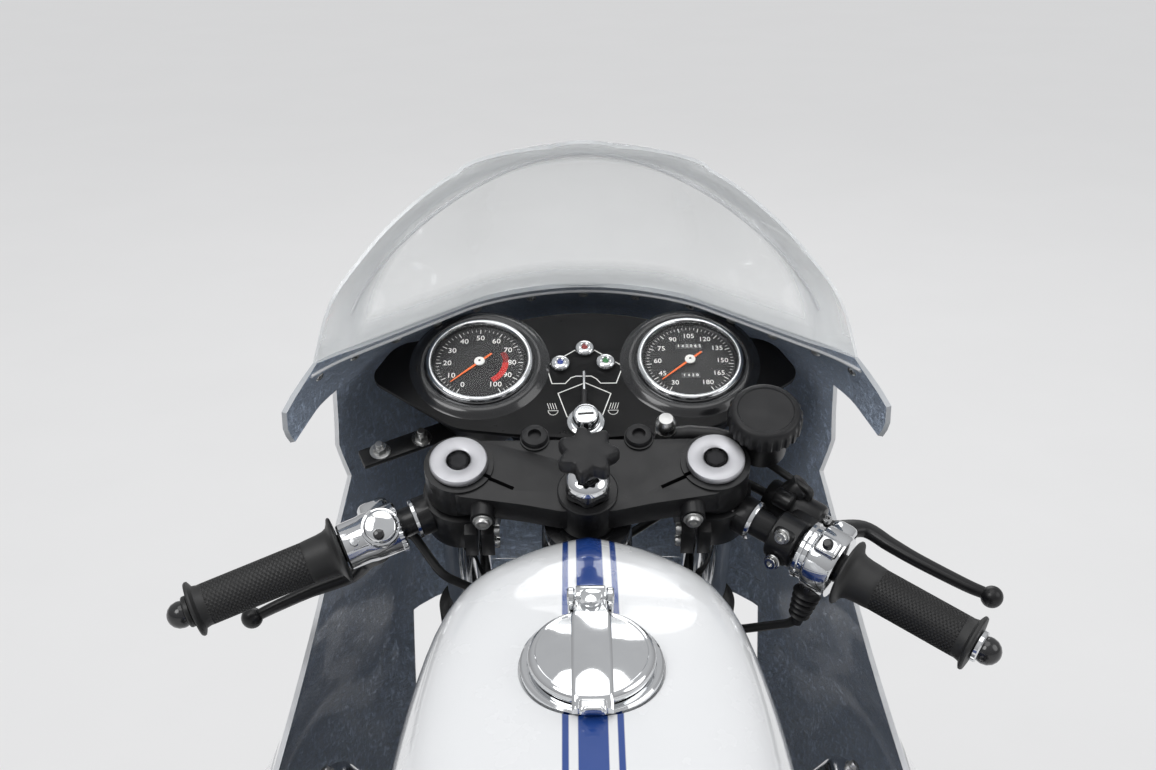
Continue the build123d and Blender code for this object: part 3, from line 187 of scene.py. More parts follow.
class Piece:
    """One mesh object put together from simple forms, in millimetres."""

    def __init__(self, name):
        self.name = name
        self.bm = bmesh.new()
        self.finishes = []
        self.slot = 0

    def use(self, name):
        """The forms that follow take this finish."""
        finish = FINISH[name]
        if finish not in self.finishes:
            self.finishes.append(finish)
        self.slot = self.finishes.index(finish)
        return self

    def face(self, verts):
        try:
            face = self.bm.faces.new(verts)
        except ValueError:
            return None
        face.material_index = self.slot
        face.smooth = True
        return face

    def rings(self, rings, closed=True, caps=True, loop=False):
        """Skin over a row of rings with the same number of points."""
        rows = [[self.bm.verts.new(p) for p in ring] for ring in rings]
        pairs = list(zip(rows, rows[1:]))
        if loop:
            pairs.append((rows[-1], rows[0]))
        count = len(rows[0])
        for low, high in pairs:
            for i in range(count if closed else count - 1):
                j = (i + 1) % count
                self.face((low[i], low[j], high[j], high[i]))
        if caps and closed and not loop:
            self.face(rows[0][::-1])
            self.face(rows[-1])
        return self

    def lathe(self, profile, place=None, count=40, caps=True, loop=False):
        """Turned form about local Z, from (radius, z) points."""
        place = place or Matrix()
        rings = [[place @ p for p in circle(max(r, 0.01), count, z)] for r, z in profile]
        return self.rings(rings, caps=caps, loop=loop)

    def sleeve(self, profile, place=None, count=40):
        """Turned ring about local Z, from a closed outline of (radius, z) points."""
        return self.lathe(profile, place, count, caps=False, loop=True)

    def tube(self, line, radius, count=12):
        """Round tube along a line; radius is a number or one for each point."""
        pts = [Vector(p) for p in line]
        side = (pts[1] - pts[0]).normalized().orthogonal().normalized()
        rings = []
        for i, p in enumerate(pts):
            before = pts[max(i - 1, 0)]
            after = pts[min(i + 1, len(pts) - 1)]
            tangent = (after - before).normalized()
            side = (side - tangent * side.dot(tangent)).normalized()
            up = tangent.cross(side)
            r = radius[i] if isinstance(radius, (list, tuple)) else radius
            rings.append([
                p + side * r * math.cos(math.tau * k / count) + up * r * math.sin(math.tau * k / count)
                for k in range(count)
            ])
        return self.rings(rings)

    def box(self, size, place=None, bevel=0.0, segments=3):
        """Block about the place's origin with rounded edges."""
        place = place or Matrix()
        made = bmesh.ops.create_cube(self.bm, size=1.0)
        verts = made["verts"]
        for v in verts:
            v.co = Vector((v.co.x * size[0], v.co.y * size[1], v.co.z * size[2]))
        faces = {f for v in verts for f in v.link_faces}
        if bevel:
            edges = list({e for f in faces for e in f.edges})
            result = bmesh.ops.bevel(
                self.bm, geom=edges, offset=bevel, segments=segments, profile=0.5, affect="EDGES"
            )
            verts = list({v for f in result["faces"] for v in f.verts} | {v for v in verts if v.is_valid})
            faces = {f for v in verts for f in v.link_faces}
        for f in faces:
            f.material_index = self.slot
            f.smooth = True
        bmesh.ops.transform(self.bm, matrix=place, verts=verts)
        return self

    def plate(self, outline, thickness, place=None, edge=0.0):
        """Flat plate with a softened rim, from an outline of (x, y) points, upwards from the place."""
        place = place or Matrix()
        pts = [Vector((x, y, 0)) for x, y in outline]
        middle = sum(pts, Vector()) / len(pts)
        rings = []
        steps = [(0, 0), (thickness, 0)]
        if edge:
            steps = [(0, edge), (edge, 0), (thickness - edge, 0), (thickness, edge)]
        for z, inset in steps:
            rings.append([
                place @ (p + (middle - p).normalized() * inset + Vector((0, 0, z))) for p in pts
            ])
        return self.rings(rings)

    def screw(self, place, radius=4, height=3, kind="socket"):
        """Screw head standing up from the place, with a recess."""
        recess = radius * 0.5
        if kind == "dome":
            profile = [(radius, 0), (radius, height * 0.35), (radius * 0.8, height * 0.8),
                       (radius * 0.45, height)]
        else:
            profile = [(radius, 0), (radius, height * 0.75), (radius * 0.9, height), (recess * 1.1, height)]
        rings = [[place @ p for p in circle(r, 18, z)] for r, z in profile]
        for z in (height, height * 0.35):
            hexagon = []
            for k in range(18):
                angle = math.tau * k / 18
                reach = recess / math.cos(off_flat(angle))
                hexagon.append(place @ Vector((reach * math.cos(angle) * 0.92,
                                               reach * math.sin(angle) * 0.92, z)))
            rings.append(hexagon)
        return self.rings(rings)

    def nut(self, place, radius=6, height=5):
        """Six-sided nut or bolt head with a chamfered top."""
        rings = []
        for z, scale in ((0, 1.0), (height * 0.8, 1.0), (height, 0.86)):
            ring = []
            for k in range(24):
                angle = math.tau * k / 24
                reach = radius * scale
                if scale == 1.0:
                    reach = radius * min(1.0, 0.866 / math.cos(off_flat(angle)))
                ring.append(place @ polar(reach, angle, z))
            rings.append(ring)
        return self.rings(rings)

    def cut(self, other):
        """Take another piece's form out of this one."""
        mine = self.raw("cutting_blank")
        tool = other.raw("cutting_tool")
        mod = mine.modifiers.new("cut", "BOOLEAN")
        mod.object = tool
        mod.operation = "DIFFERENCE"
        mod.solver = "EXACT"
        bpy.context.view_layer.update()
        result = bpy.data.meshes.new_from_object(mine.evaluated_get(bpy.context.evaluated_depsgraph_get()))
        self.bm = bmesh.new()
        self.bm.from_mesh(result)
        bpy.data.meshes.remove(result)
        for ob in (mine, tool):
            mesh = ob.data
            bpy.data.objects.remove(ob)
            bpy.data.meshes.remove(mesh)
        return self

    def raw(self, name):
        """The piece as a plain object, in millimetres, for a cut."""
        mesh = bpy.data.meshes.new(name)
        bmesh.ops.recalc_face_normals(self.bm, faces=self.bm.faces)
        self.bm.to_mesh(mesh)
        self.bm.free()
        for finish in self.finishes:
            mesh.materials.append(finish)
        ob = bpy.data.objects.new(name, mesh)
        bpy.context.scene.collection.objects.link(ob)
        return ob

    def done(self, body, nodes=(), slot=None, angle=35, outward=True):
        """Finish the mesh and let it ride on its body in place of the named nodes."""
        bmesh.ops.remove_doubles(self.bm, verts=self.bm.verts, dist=0.004)
        if outward:
            bmesh.ops.recalc_face_normals(self.bm, faces=self.bm.faces)
        bmesh.ops.scale(self.bm, vec=(MM, MM, MM), verts=self.bm.verts)
        mesh = bpy.data.meshes.new(self.name)
        self.bm.to_mesh(mesh)
        self.bm.free()
        mesh.set_sharp_from_angle(angle=math.radians(angle))
        for finish in self.finishes:
            mesh.materials.append(finish)
        ob = bpy.data.objects.new(self.name, mesh)
        bpy.context.scene.collection.objects.link(ob)
        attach(ob, body)
        if nodes:
            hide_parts(*nodes)
        return ob


# Finishes

class Nodes:
    """Short way to write a material's node tree."""

    def __init__(self, name):
        self.material = bpy.data.materials.new(name)
        self.material.use_nodes = True
        self.tree = self.material.node_tree
        self.shader = self.tree.nodes["Principled BSDF"]
        self.coords = self.tree.nodes.new("ShaderNodeTexCoord").outputs["Object"]
        self.normal = None

    def add(self, kind, inputs=None, **settings):
        node = self.tree.nodes.new("ShaderNode" + kind)
        for key, value in settings.items():
            setattr(node, key, value)
        for key, value in (inputs or {}).items():
            if isinstance(value, bpy.types.NodeSocket):
                self.tree.links.new(value, node.inputs[key])
            else:
                node.inputs[key].default_value = value
        return node

    def math(self, operation, a, b=0.0, c=0.0):
        node = self.add("Math", {0: a, 1: b, 2: c}, operation=operation)
        return node.outputs[0]

    def stretched(self, scale):
        return self.add("Mapping", {"Vector": self.coords, "Scale": scale}).outputs[0]

    def noise(self, scale, detail=3.0, vector=None, roughness=0.55):
        node = self.add("TexNoise", {
            "Vector": vector or self.coords, "Scale": scale, "Detail": detail, "Roughness": roughness,
        })
        return node.outputs["Fac"]

    def spread(self, value, low, high, start=0.3, end=0.7):
        """A texture's value brought between low and high."""
        node = self.add("MapRange", {
            "Value": value, "From Min": start, "From Max": end, "To Min": low, "To Max": high,
        })
        return node.outputs["Result"]

    def mix(self, share, a, b):
        node = self.add("Mix", {"Factor": share}, data_type="RGBA")
        for key, value in (("A", a), ("B", b)):
            socket = [s for s in node.inputs if s.name == key and s.type == "RGBA"][0]
            if isinstance(value, bpy.types.NodeSocket):
                self.tree.links.new(value, socket)
            else:
                socket.default_value = (*value, 1.0) if len(value) == 3 else value
        return [s for s in node.outputs if s.type == "RGBA"][0]

    def bump(self, height, strength, distance):
        inputs = {"Height": height, "Strength": strength, "Distance": distance}
        if self.normal:
            inputs["Normal"] = self.normal
        self.normal = self.add("Bump", inputs).outputs["Normal"]
        return self

    def set(self, **values):
        for key, value in values.items():
            socket = self.shader.inputs[key.replace("_", " ")]
            if isinstance(value, bpy.types.NodeSocket):
                self.tree.links.new(value, socket)
            else:
                socket.default_value = value
        return self

    def show(self, output):
        """Let this shader output be what is seen."""
        self.tree.links.new(output, self.tree.nodes["Material Output"].inputs["Surface"])

    def end(self):
        if self.normal:
            self.tree.links.new(self.normal, self.shader.inputs["Normal"])
        return self.material


def shade(colour, factor):
    """The colour made darker or lighter."""
    return tuple(min(1.0, c * factor) for c in colour[:3])


def worn(name, colour, rough, metal=0.0, grain=900.0, depth=0.15, spread=0.12, coat=0.0, shine=0.5):
    """Plain finish with cloudy colour, uneven gloss and a fine grain."""
    n = Nodes(name)
    clouds = n.noise(14.0, 5.0)
    n.set(Base_Color=n.mix(n.spread(clouds, 0, 1), shade(colour, 1 - spread), shade(colour, 1 + spread)))
    n.set(Roughness=n.spread(n.noise(56.0, 4.0), rough * 0.8, rough * 1.25), Metallic=metal,
          Specular_IOR_Level=shine)
    n.bump(n.noise(grain, 2.0), depth, 0.0002)
    if coat:
        n.set(Coat_Weight=coat, Coat_Roughness=0.04)
    return n.end()


def bright(name, colour, rough, streak=(1, 1, 1), scale=600.0, depth=0.05):
    """Plated or polished metal with faint polishing streaks and a little haze."""
    n = Nodes(name)
    lines = n.noise(scale, 3.0, n.stretched(streak))
    haze = n.noise(22.0, 4.0)
    n.set(Base_Color=n.mix(n.spread(haze, 0, 1), shade(colour, 0.93), shade(colour, 1.03)), Metallic=1.0)
    n.set(Roughness=n.spread(haze, rough * 0.6, rough * 1.5))
    n.bump(lines, depth, 0.0001)
    return n.end()


def cast(name, colour, rough=0.5):
    """Sand-cast alloy: pitted skin, dull patches, metal sheen."""
    n = Nodes(name)
    patches = n.noise(9.0, 6.0)
    n.set(Base_Color=n.mix(n.spread(patches, 0, 1), shade(colour, 0.8), shade(colour, 1.1)), Metallic=0.85)
    n.set(Roughness=n.spread(n.noise(60.0, 4.0), rough * 0.8, rough * 1.2))
    pits = n.add("TexVoronoi", {"Vector": n.coords, "Scale": 420.0}).outputs["Distance"]
    n.bump(pits, 0.12, 0.0004)
    n.bump(n.noise(160.0, 4.0), 0.18, 0.0006)
    return n.end()


PAINT_EDGE = 0.00035


def band(n, value, low, high):
    """1 where value lies between low and high, in metres, with a thin soft edge."""
    up = n.spread(value, 0, 1, low - PAINT_EDGE, low + PAINT_EDGE)
    down = n.spread(value, 1, 0, high - PAINT_EDGE, high + PAINT_EDGE)
    return n.math("MULTIPLY", up, down)


def lacquer(name, paint, stripe, lower=None, lines=True):
    """Gloss paint with a centre stripe, two thin lines beside it and, if given, a lower band."""
    n = Nodes(name)
    split = n.add("SeparateXYZ", {"Vector": n.coords})
    across = n.math("ABSOLUTE", split.outputs["X"])
    clouds = n.noise(5.0, 3.0)
    colour = n.mix(n.spread(clouds, 0, 1), shade(paint, 0.965), paint)
    if lines:
        stripes = n.math("MAXIMUM", band(n, across, -0.01, 0.009), band(n, across, 0.0145, 0.0185))
        colour = n.mix(stripes, colour, stripe)
    if lower:
        height, rise, wide = lower
        level = n.math("MULTIPLY_ADD", split.outputs["Y"], -rise, split.outputs["Z"])
        below = n.math("MULTIPLY", n.spread(level, 1, 0, height - 0.0004, height + 0.0004),
                       n.spread(across, 0, 1, wide - 0.0004, wide + 0.0004))
        edge = band(n, level, height + 0.005, height + 0.008)
        edge = n.math("MULTIPLY", edge, n.spread(across, 0, 1, wide - 0.0004, wide + 0.0004))
        colour = n.mix(n.math("MAXIMUM", below, edge), colour, stripe)
    n.set(Base_Color=colour, Roughness=n.spread(n.noise(30.0, 4.0), 0.2, 0.3), Coat_Weight=1.0,
          Coat_Roughness=0.03)
    n.bump(n.noise(260.0, 2.0), 0.05, 0.0003)
    return n.end()


def fibreglass(name, colour):
    """Bare hand-laid fibreglass: brushed resin over short fibres, glossy on the high spots."""
    n = Nodes(name)
    one = n.noise(70.0, 8.0, n.stretched((1, 5, 1.6)), 0.72)
    two = n.noise(80.0, 8.0, n.stretched((5, 1, 2.4)), 0.72)
    three = n.noise(90.0, 8.0, n.stretched((2, 1, 6)), 0.72)
    fibres = n.spread(n.math("MAXIMUM", n.math("MAXIMUM", one, two), three), 0, 1, 0.43, 0.61)
    clouds = n.spread(n.noise(4.5, 4.0), 0, 1)
    tone = n.math("MULTIPLY_ADD", clouds, 0.3, n.math("MULTIPLY", fibres, 0.7))
    n.set(Base_Color=n.mix(tone, shade(colour, 0.5), shade(colour, 1.5)))
    n.set(Roughness=n.spread(fibres, 0.34, 0.2), Coat_Weight=0.45, Coat_Roughness=0.12)
    n.bump(fibres, 0.9, 0.0016)
    n.bump(n.noise(190.0, 4.0), 0.22, 0.0006)
    return n.end()


def rubber(name, colour, rough=0.6):
    """Moulded rubber, a little dusty."""
    n = Nodes(name)
    dust = n.noise(18.0, 6.0)
    n.set(Base_Color=n.mix(n.spread(dust, 0, 1), colour, shade(colour, 1.9)))
    n.set(Roughness=n.spread(dust, rough * 0.85, rough * 1.15))
    n.bump(n.noise(900.0, 3.0), 0.25, 0.0003)
    return n.end()


def vinyl(name, colour):
    """Soft leathercloth with a fine pebble grain and a slight sheen."""
    n = Nodes(name)
    cells = n.add("TexVoronoi", {"Vector": n.coords, "Scale": 620.0, "Randomness": 1.0}).outputs["Distance"]
    creases = n.noise(95.0, 6.0)
    n.set(Base_Color=n.mix(n.spread(n.noise(12.0, 4.0), 0, 1), shade(colour, 0.8), shade(colour, 1.5)))
    n.set(Roughness=n.spread(creases, 0.42, 0.58), Sheen_Weight=0.15, Sheen_Roughness=0.5)
    n.bump(cells, 0.35, 0.0004)
    n.bump(creases, 0.18, 0.0009)
    return n.end()


def see_through(name, tint, ior):
    """Start of a clear finish, with a shader output that lets the lamps' light through."""
    n = Nodes(name)
    n.set(Base_Color=(*tint, 1.0), Transmission_Weight=1.0, IOR=ior, Specular_IOR_Level=0.5)
    n.set(Roughness=n.spread(n.noise(60.0, 3.0), 0.0, 0.03))
    through = n.add("BsdfTransparent", {"Color": (*tint, 1.0)}).outputs[0]
    shadow = n.add("LightPath").outputs["Is Shadow Ray"]
    lets = n.add("MixShader", {0: shadow, 1: n.shader.outputs[0], 2: through})
    return n, lets.outputs[0]


def clear(name, tint, ior=1.38):
    """Clear acrylic or glass."""
    n, glass = see_through(name, tint, ior)
    n.show(glass)
    return n.end()


def bubble(name, tint, colour):
    """Clear acrylic that turns milky outside the moulded ridge, which is an ellipse across the screen."""
    n, glass = see_through(name, tint, 1.38)
    split = n.add("SeparateXYZ", {"Vector": n.coords})
    across = n.math("DIVIDE", split.outputs["X"], 0.18)
    up = n.math("DIVIDE", n.math("SUBTRACT", split.outputs["Z"], 0.99), 0.1335)
    reach = n.math("SQRT", n.math("ADD", n.math("MULTIPLY", across, across), n.math("MULTIPLY", up, up)))
    rim = n.spread(reach, 0.0, 0.5, 0.93, 1.0)
    streak = n.spread(reach, 1.0, 0.3, 1.0, 1.14)
    outside = n.math("MULTIPLY", rim, streak)
    base = n.spread(split.outputs["Z"], 0.42, 0.0, 0.996, 1.012)
    haze = n.math("ADD", n.math("MAXIMUM", outside, base), n.spread(n.noise(7.0, 4.0), 0.0, 0.07))
    milk = n.add("BsdfDiffuse", {"Color": (*colour, 1.0)})
    both = n.add("MixShader", {0: haze, 1: glass, 2: milk.outputs[0]})
    n.show(both.outputs[0])
    return n.end()


def frosted(name, colour, cover):
    """Clear acrylic whose backing or edge scatters light; cover is how much of it is milky."""
    n = Nodes(name)
    cloud = n.noise(16.0, 5.0)
    n.set(Base_Color=n.mix(n.spread(cloud, 0, 1), shade(colour, 0.92), colour),
          Roughness=n.spread(cloud, 0.12, 0.22))
    n.set(Coat_Weight=0.5, Coat_Roughness=0.05)
    through = n.add("BsdfTransparent", {"Color": (1, 1, 1, 1)})
    share = n.spread(n.noise(9.0, 4.0), cover * 0.8, min(1.0, cover * 1.2))
    both = n.add("MixShader", {0: share, 1: through.outputs[0], 2: n.shader.outputs[0]})
    n.show(both.outputs[0])
    return n.end()


def lens(name, colour):
    """Coloured lamp lens with moulded ripples."""
    n = Nodes(name)
    n.set(Base_Color=n.mix(n.spread(n.noise(25.0, 3.0), 0, 1), shade(colour, 0.8), shade(colour, 1.1)))
    n.set(Roughness=n.spread(n.noise(60.0, 3.0), 0.08, 0.16), Coat_Weight=0.6, Coat_Roughness=0.03)
    n.bump(n.noise(220.0, 2.0), 0.1, 0.0004)
    return n.end()


# What a user may change

def colour(name, description, default):
    return FloatVectorProperty(
        name=name, description=description, default=default, subtype="COLOR", size=3, min=0.0, max=1.0
    )


class PaintSettings(bpy.types.PropertyGroup):
    """Colours of the paint and the finishes."""

    paint: colour("Paint", "Main body colour", (0.82, 0.83, 0.84))
    stripe: colour("Stripes", "Colour of the stripes and the lower band", (0.012, 0.055, 0.26))
    resin: colour("Fairing inside", "Bare fibreglass inside the fairing", (0.45, 0.53, 0.66))
    black: colour("Black", "Clamps, frame and controls", (0.012, 0.012, 0.013))
    alloy: colour("Alloy", "Cast alloy of the engine", (0.5, 0.5, 0.5))
    vinyl: colour("Seat", "Seat cover", (0.014, 0.014, 0.015))


class DetailSettings(bpy.types.PropertyGroup):
    """Sizes and counts of the finer details."""

    knob_lobes: IntProperty(
        name="Knob lobes", description="Lobes round the damper knob", default=7, min=3, max=12
    )
    grip_ribs: IntProperty(
        name="Grip ribs", description="Ribs along each grip", default=22, min=4, max=40
    )
    tread_blocks: IntProperty(
        name="Tread grooves", description="Cross grooves round a tyre", default=72, min=12, max=120
    )
    screen_wall: FloatProperty(
        name="Screen wall", description="Thickness of the clear screen, in mm", default=2.6, min=1.0, max=4.0
    )
    needle_angle: FloatProperty(
        name="Needle angle", description="Angle of both needles at rest", default=math.radians(222),
        subtype="ANGLE"
    )
    spring_turns: FloatProperty(
        name="Spring turns", description="Turns of each rear spring", default=9.5, min=4, max=14
    )


FINISH = {}


def make_finishes():
    """All the finishes, by name, from the settings."""
    paint = bpy.context.scene.cafe_paint
    white, blue, black = paint.paint[:], paint.stripe[:], paint.black[:]
    FINISH.update({
        "tank_paint": lacquer("tank_paint", white, blue, lower=(0.806, 0.09, 0.06)),
        "tail_paint": lacquer("tail_paint", white, blue),
        "fairing_paint": lacquer("fairing_paint", white, blue, lower=(0.43, 0.0, 0.0), lines=False),
        "guard_paint": lacquer("guard_paint", white, blue),
        "white_edge": worn("white_edge", (0.7, 0.71, 0.72), 0.35, coat=0.3),
        "bare_edge": worn("bare_edge", (0.42, 0.44, 0.46), 0.4, grain=300.0, depth=0.2, coat=0.3),
        "resin": fibreglass("resin", paint.resin[:]),
        "satin_black": worn("satin_black", shade(black, 0.7), 0.34, grain=700.0, depth=0.22, coat=0.08,
                            shine=0.35),
        "gloss_black": worn("gloss_black", black, 0.18, grain=300.0, depth=0.05, coat=0.5),
        "dash_black": worn("dash_black", shade(black, 0.45), 0.34, grain=500.0, depth=0.2, shine=0.16),
        "anodised": worn("anodised", (0.5, 0.5, 0.52), 0.46, metal=1.0, grain=1400.0, depth=0.2, spread=0.05),
        "frame_black": worn("frame_black", black, 0.25, grain=240.0, depth=0.08, coat=0.5),
        "black_plastic": worn("black_plastic", (0.01, 0.01, 0.011), 0.4, grain=800.0, depth=0.3, shine=0.35),
        "cable_black": worn("cable_black", (0.012, 0.012, 0.012), 0.4, grain=500.0, depth=0.2),
        "dial_black": worn("dial_black", (0.006, 0.006, 0.007), 0.5, grain=1200.0, depth=0.05, spread=0.05),
        "dial_white": worn("dial_white", (0.9, 0.9, 0.87), 0.5, spread=0.03),
        "dial_red": worn("dial_red", (0.5, 0.015, 0.01), 0.5, spread=0.05),
        "needle_orange": worn("needle_orange", (0.85, 0.16, 0.02), 0.4, spread=0.05),
        "chrome": bright("chrome", (0.78, 0.79, 0.8), 0.06),
        "dull_chrome": bright("dull_chrome", (0.62, 0.63, 0.64), 0.2, (1, 14, 1)),
        "polished": bright("polished", (0.72, 0.72, 0.72), 0.14, (1, 1, 18), 500.0, 0.12),
        "steel": bright("steel", (0.5, 0.5, 0.5), 0.24, (1, 16, 1), 400.0, 0.15),
        "zinc": bright("zinc", (0.56, 0.56, 0.55), 0.3, (1, 1, 1), 300.0, 0.1),
        "brass": bright("brass", (0.6, 0.42, 0.16), 0.25, (1, 1, 1), 300.0, 0.1),
        "disc_steel": bright("disc_steel", (0.5, 0.5, 0.51), 0.26, (1, 22, 22), 260.0, 0.25),
        "cast": cast("cast", paint.alloy[:]),
        "cast_dark": cast("cast_dark", shade(paint.alloy[:], 0.6), 0.6),
        "cast_black": cast("cast_black", (0.03, 0.03, 0.032), 0.55),
        "tyre_rubber": rubber("tyre_rubber", (0.02, 0.02, 0.02), 0.62),
        "grip_rubber": rubber("grip_rubber", (0.011, 0.011, 0.011), 0.5),
        "vinyl": vinyl("vinyl", paint.vinyl[:]),
        "thread": worn("thread", (0.09, 0.09, 0.09), 0.7, spread=0.2),
        "acrylic": bubble("acrylic", (0.97, 0.98, 0.98), (0.86, 0.88, 0.89)),
        "screen_rim": frosted("screen_rim", (0.85, 0.87, 0.88), 0.75),
        "ridge": frosted("ridge", (0.85, 0.86, 0.88), 0.6),
        "dial_glass": clear("dial_glass", (0.99, 0.99, 0.99), ior=1.12),
        "lamp_glass": clear("lamp_glass", (0.95, 0.97, 0.97)),
        "red_lens": lens("red_lens", (0.42, 0.008, 0.006)),
        "lamp_red": lens("lamp_red", (0.3, 0.02, 0.015)),
        "lamp_green": lens("lamp_green", (0.02, 0.2, 0.05)),
        "lamp_blue": lens("lamp_blue", (0.02, 0.05, 0.3)),
    })


# Stage

def build_stage():
    """Camera at the photograph's angle, pale floor and soft lamps."""
    scene = bpy.context.scene
    data = bpy.data.cameras.new("photo_camera")
    data.lens = 50.0
    data.sensor_width = 36.0
    data.clip_start = 0.02
    camera = bpy.data.objects.new("photo_camera", data)
    pitch, yaw, roll = math.radians(90 - 23.2), math.radians(-0.2), math.radians(-0.5)
    camera.matrix_world = (
        Matrix.Translation(Vector((-10, -647, 1451)) * MM)
        @ Matrix.Rotation(yaw, 4, "Z") @ Matrix.Rotation(pitch, 4, "X") @ Matrix.Rotation(roll, 4, "Z")
    )
    scene.collection.objects.link(camera)
    scene.camera = camera

    floor = Nodes("studio_floor")
    speckle = floor.noise(3.0, 4.0)
    floor.set(Base_Color=floor.mix(floor.spread(speckle, 0, 1), (0.8, 0.8, 0.8), (0.84, 0.84, 0.84)))
    floor.set(Roughness=floor.spread(floor.noise(30.0, 3.0), 0.6, 0.75))
    mesh = bpy.data.meshes.new("floor")
    half = 60.0
    mesh.from_pydata([(-half, -half, 0), (half, -half, 0), (half, half, 0), (-half, half, 0)], [],
                     [(0, 1, 2, 3)])
    glow = floor.add("Emission", {"Color": (0.82, 0.82, 0.825, 1), "Strength": 1.0})
    path = floor.add("LightPath")
    seen = floor.math("MAXIMUM", path.outputs["Is Camera Ray"], path.outputs["Is Glossy Ray"])
    seen = floor.math("MAXIMUM", seen, path.outputs["Is Transmission Ray"])
    lit = floor.add("MixShader", {0: floor.math("MULTIPLY", seen, 0.6), 1: floor.shader.outputs[0],
                                  2: glow.outputs[0]})
    floor.show(lit.outputs[0])
    mesh.materials.append(floor.end())
    ground = bpy.data.objects.new("floor", mesh)
    ground.location.z = -0.0005
    scene.collection.objects.link(ground)

    lamps = [
        ("key", (-1.6, -1.2, 3.4), 1.8, 34.0), ("fill", (2.6, -0.6, 2.6), 2.2, 20.0),
        ("back", (0.3, 3.4, 2.8), 2.4, 26.0), ("overhead", (0.0, 0.2, 4.0), 2.6, 24.0),
    ]
    for name, place, size, power in lamps:
        light = bpy.data.lights.new(name, "AREA")
        light.shape = "DISK"
        light.size = size
        light.energy = power
        lamp = bpy.data.objects.new(name, light)
        lamp.location = place
        lamp.rotation_euler = (Vector((0, 0.1, 0.6)) - Vector(place)).to_track_quat("-Z", "Y").to_euler()
        scene.collection.objects.link(lamp)

    world = bpy.data.worlds.new("studio")
    world.use_nodes = True
    tree = world.node_tree
    coords = tree.nodes.new("ShaderNodeTexCoord")
    split = tree.nodes.new("ShaderNodeSeparateXYZ")
    ramp = tree.nodes.new("ShaderNodeValToRGB")
    ramp.color_ramp.elements[0].position = 0.42
    ramp.color_ramp.elements[0].color = (0.5, 0.5, 0.51, 1)
    ramp.color_ramp.elements[1].position = 0.85
    ramp.color_ramp.elements[1].color = (0.9, 0.91, 0.93, 1)
    height = tree.nodes.new("ShaderNodeMapRange")
    height.inputs["From Min"].default_value = -1.0
    tree.links.new(coords.outputs["Generated"], split.inputs[0])
    tree.links.new(split.outputs["Z"], height.inputs["Value"])
    tree.links.new(height.outputs["Result"], ramp.inputs["Fac"])
    tree.links.new(ramp.outputs["Color"], tree.nodes["Background"].inputs["Color"])
    seen = tree.nodes.new("ShaderNodeLightPath")
    strength = tree.nodes.new("ShaderNodeMath")
    strength.operation = "MULTIPLY_ADD"
    strength.inputs[1].default_value = 0.55
    strength.inputs[2].default_value = 0.6
    tree.links.new(seen.outputs["Is Camera Ray"], strength.inputs[0])
    tree.links.new(strength.outputs[0], tree.nodes["Background"].inputs["Strength"])
    scene.world = world
    scene.view_settings.view_transform = "Standard"


# Tank: half width at the base, at the widest and at the shoulder, base, widest, shoulder and crown heights
TANK_SECTIONS = [
    (374, 30, 42, 28, 800, 846, 884, 893),
    (352, 70, 84, 62, 772, 836, 887, 902),
    (312, 98, 111, 86, 759, 830, 894, 908),
    (250, 112, 124, 98, 752, 828, 892, 909),
    (150, 118, 132, 104, 750, 820, 874, 892),
    (0, 112, 128, 96, 746, 800, 842, 860),
    (-120, 96, 110, 80, 742, 780, 806, 822),
    (-176, 74, 82, 60, 736, 766, 792, 800),
]


def soft_line(points, steps):
    """Line that is drawn towards its control points and rounds each of them."""
    pts = [Vector(p) for p in points]
    pts = [pts[0] * 2 - pts[1]] + pts + [pts[-1] * 2 - pts[-2]]
    line = []
    for a, b, c, d in zip(pts, pts[1:], pts[2:], pts[3:]):
        for k in range(steps):
            t = k / steps
            line.append((
                a * (1 - t) ** 3 + b * (3 * t ** 3 - 6 * t ** 2 + 4)
                + c * (-3 * t ** 3 + 3 * t ** 2 + 3 * t + 1) + d * t ** 3
            ) / 6)
    line.append((pts[-3] + pts[-2] * 4 + pts[-1]) / 6)
    return line


def mirrored_ring(half):
    """Closed ring from a half line that runs from the lower centre to the upper centre."""
    return half + [Vector((-p.x, p.y, p.z)) for p in reversed(half[1:-1])]


def smooth_rows(table, steps):
    """Rows of numbers joined smoothly, with steps rows from each to the next."""
    rows = []
    for i in range(len(table) - 1):
        p1, p2 = table[i], table[i + 1]
        p0 = table[i - 1] if i else p1
        p3 = table[i + 2] if i + 2 < len(table) else p2
        for k in range(steps):
            t = k / steps
            rows.append([
                0.5 * (2 * b + (c - a) * t + (2 * a - 5 * b + 4 * c - d) * t * t
                       + (3 * b - a - 3 * c + d) * t ** 3)
                for a, b, c, d in zip(p0, p1, p2, p3)
            ])
    rows.append(list(table[-1]))
    return rows


def tank_ring(row, shrink=1.0):
    """Closed ring of the tank at one row of its sections."""
    y, base, widest, shoulder, low, middle, high, crown = row
    line = soft_line([
        (0, y, low), (base * 0.7, y, low), (base, y, low), (base + 1, y, low + 3),
        ((base + widest) / 2 + 2, y, (low + middle) / 2), (widest, y, middle),
        ((widest + shoulder) / 2 + 2, y, (middle + high) / 2 + 2), (shoulder, y, high),
        (shoulder * 0.55, y, (high + crown) / 2 + 3), (0, y, crown + 1),
    ], 8)
    line[0].x = line[-1].x = 0
    ring = mirrored_ring(resample(line, 33))
    if shrink != 1.0:
        middle_z = (low + crown) / 2
        ring = [Vector((p.x * shrink, p.y, middle_z + (p.z - middle_z) * shrink)) for p in ring]
    return ring


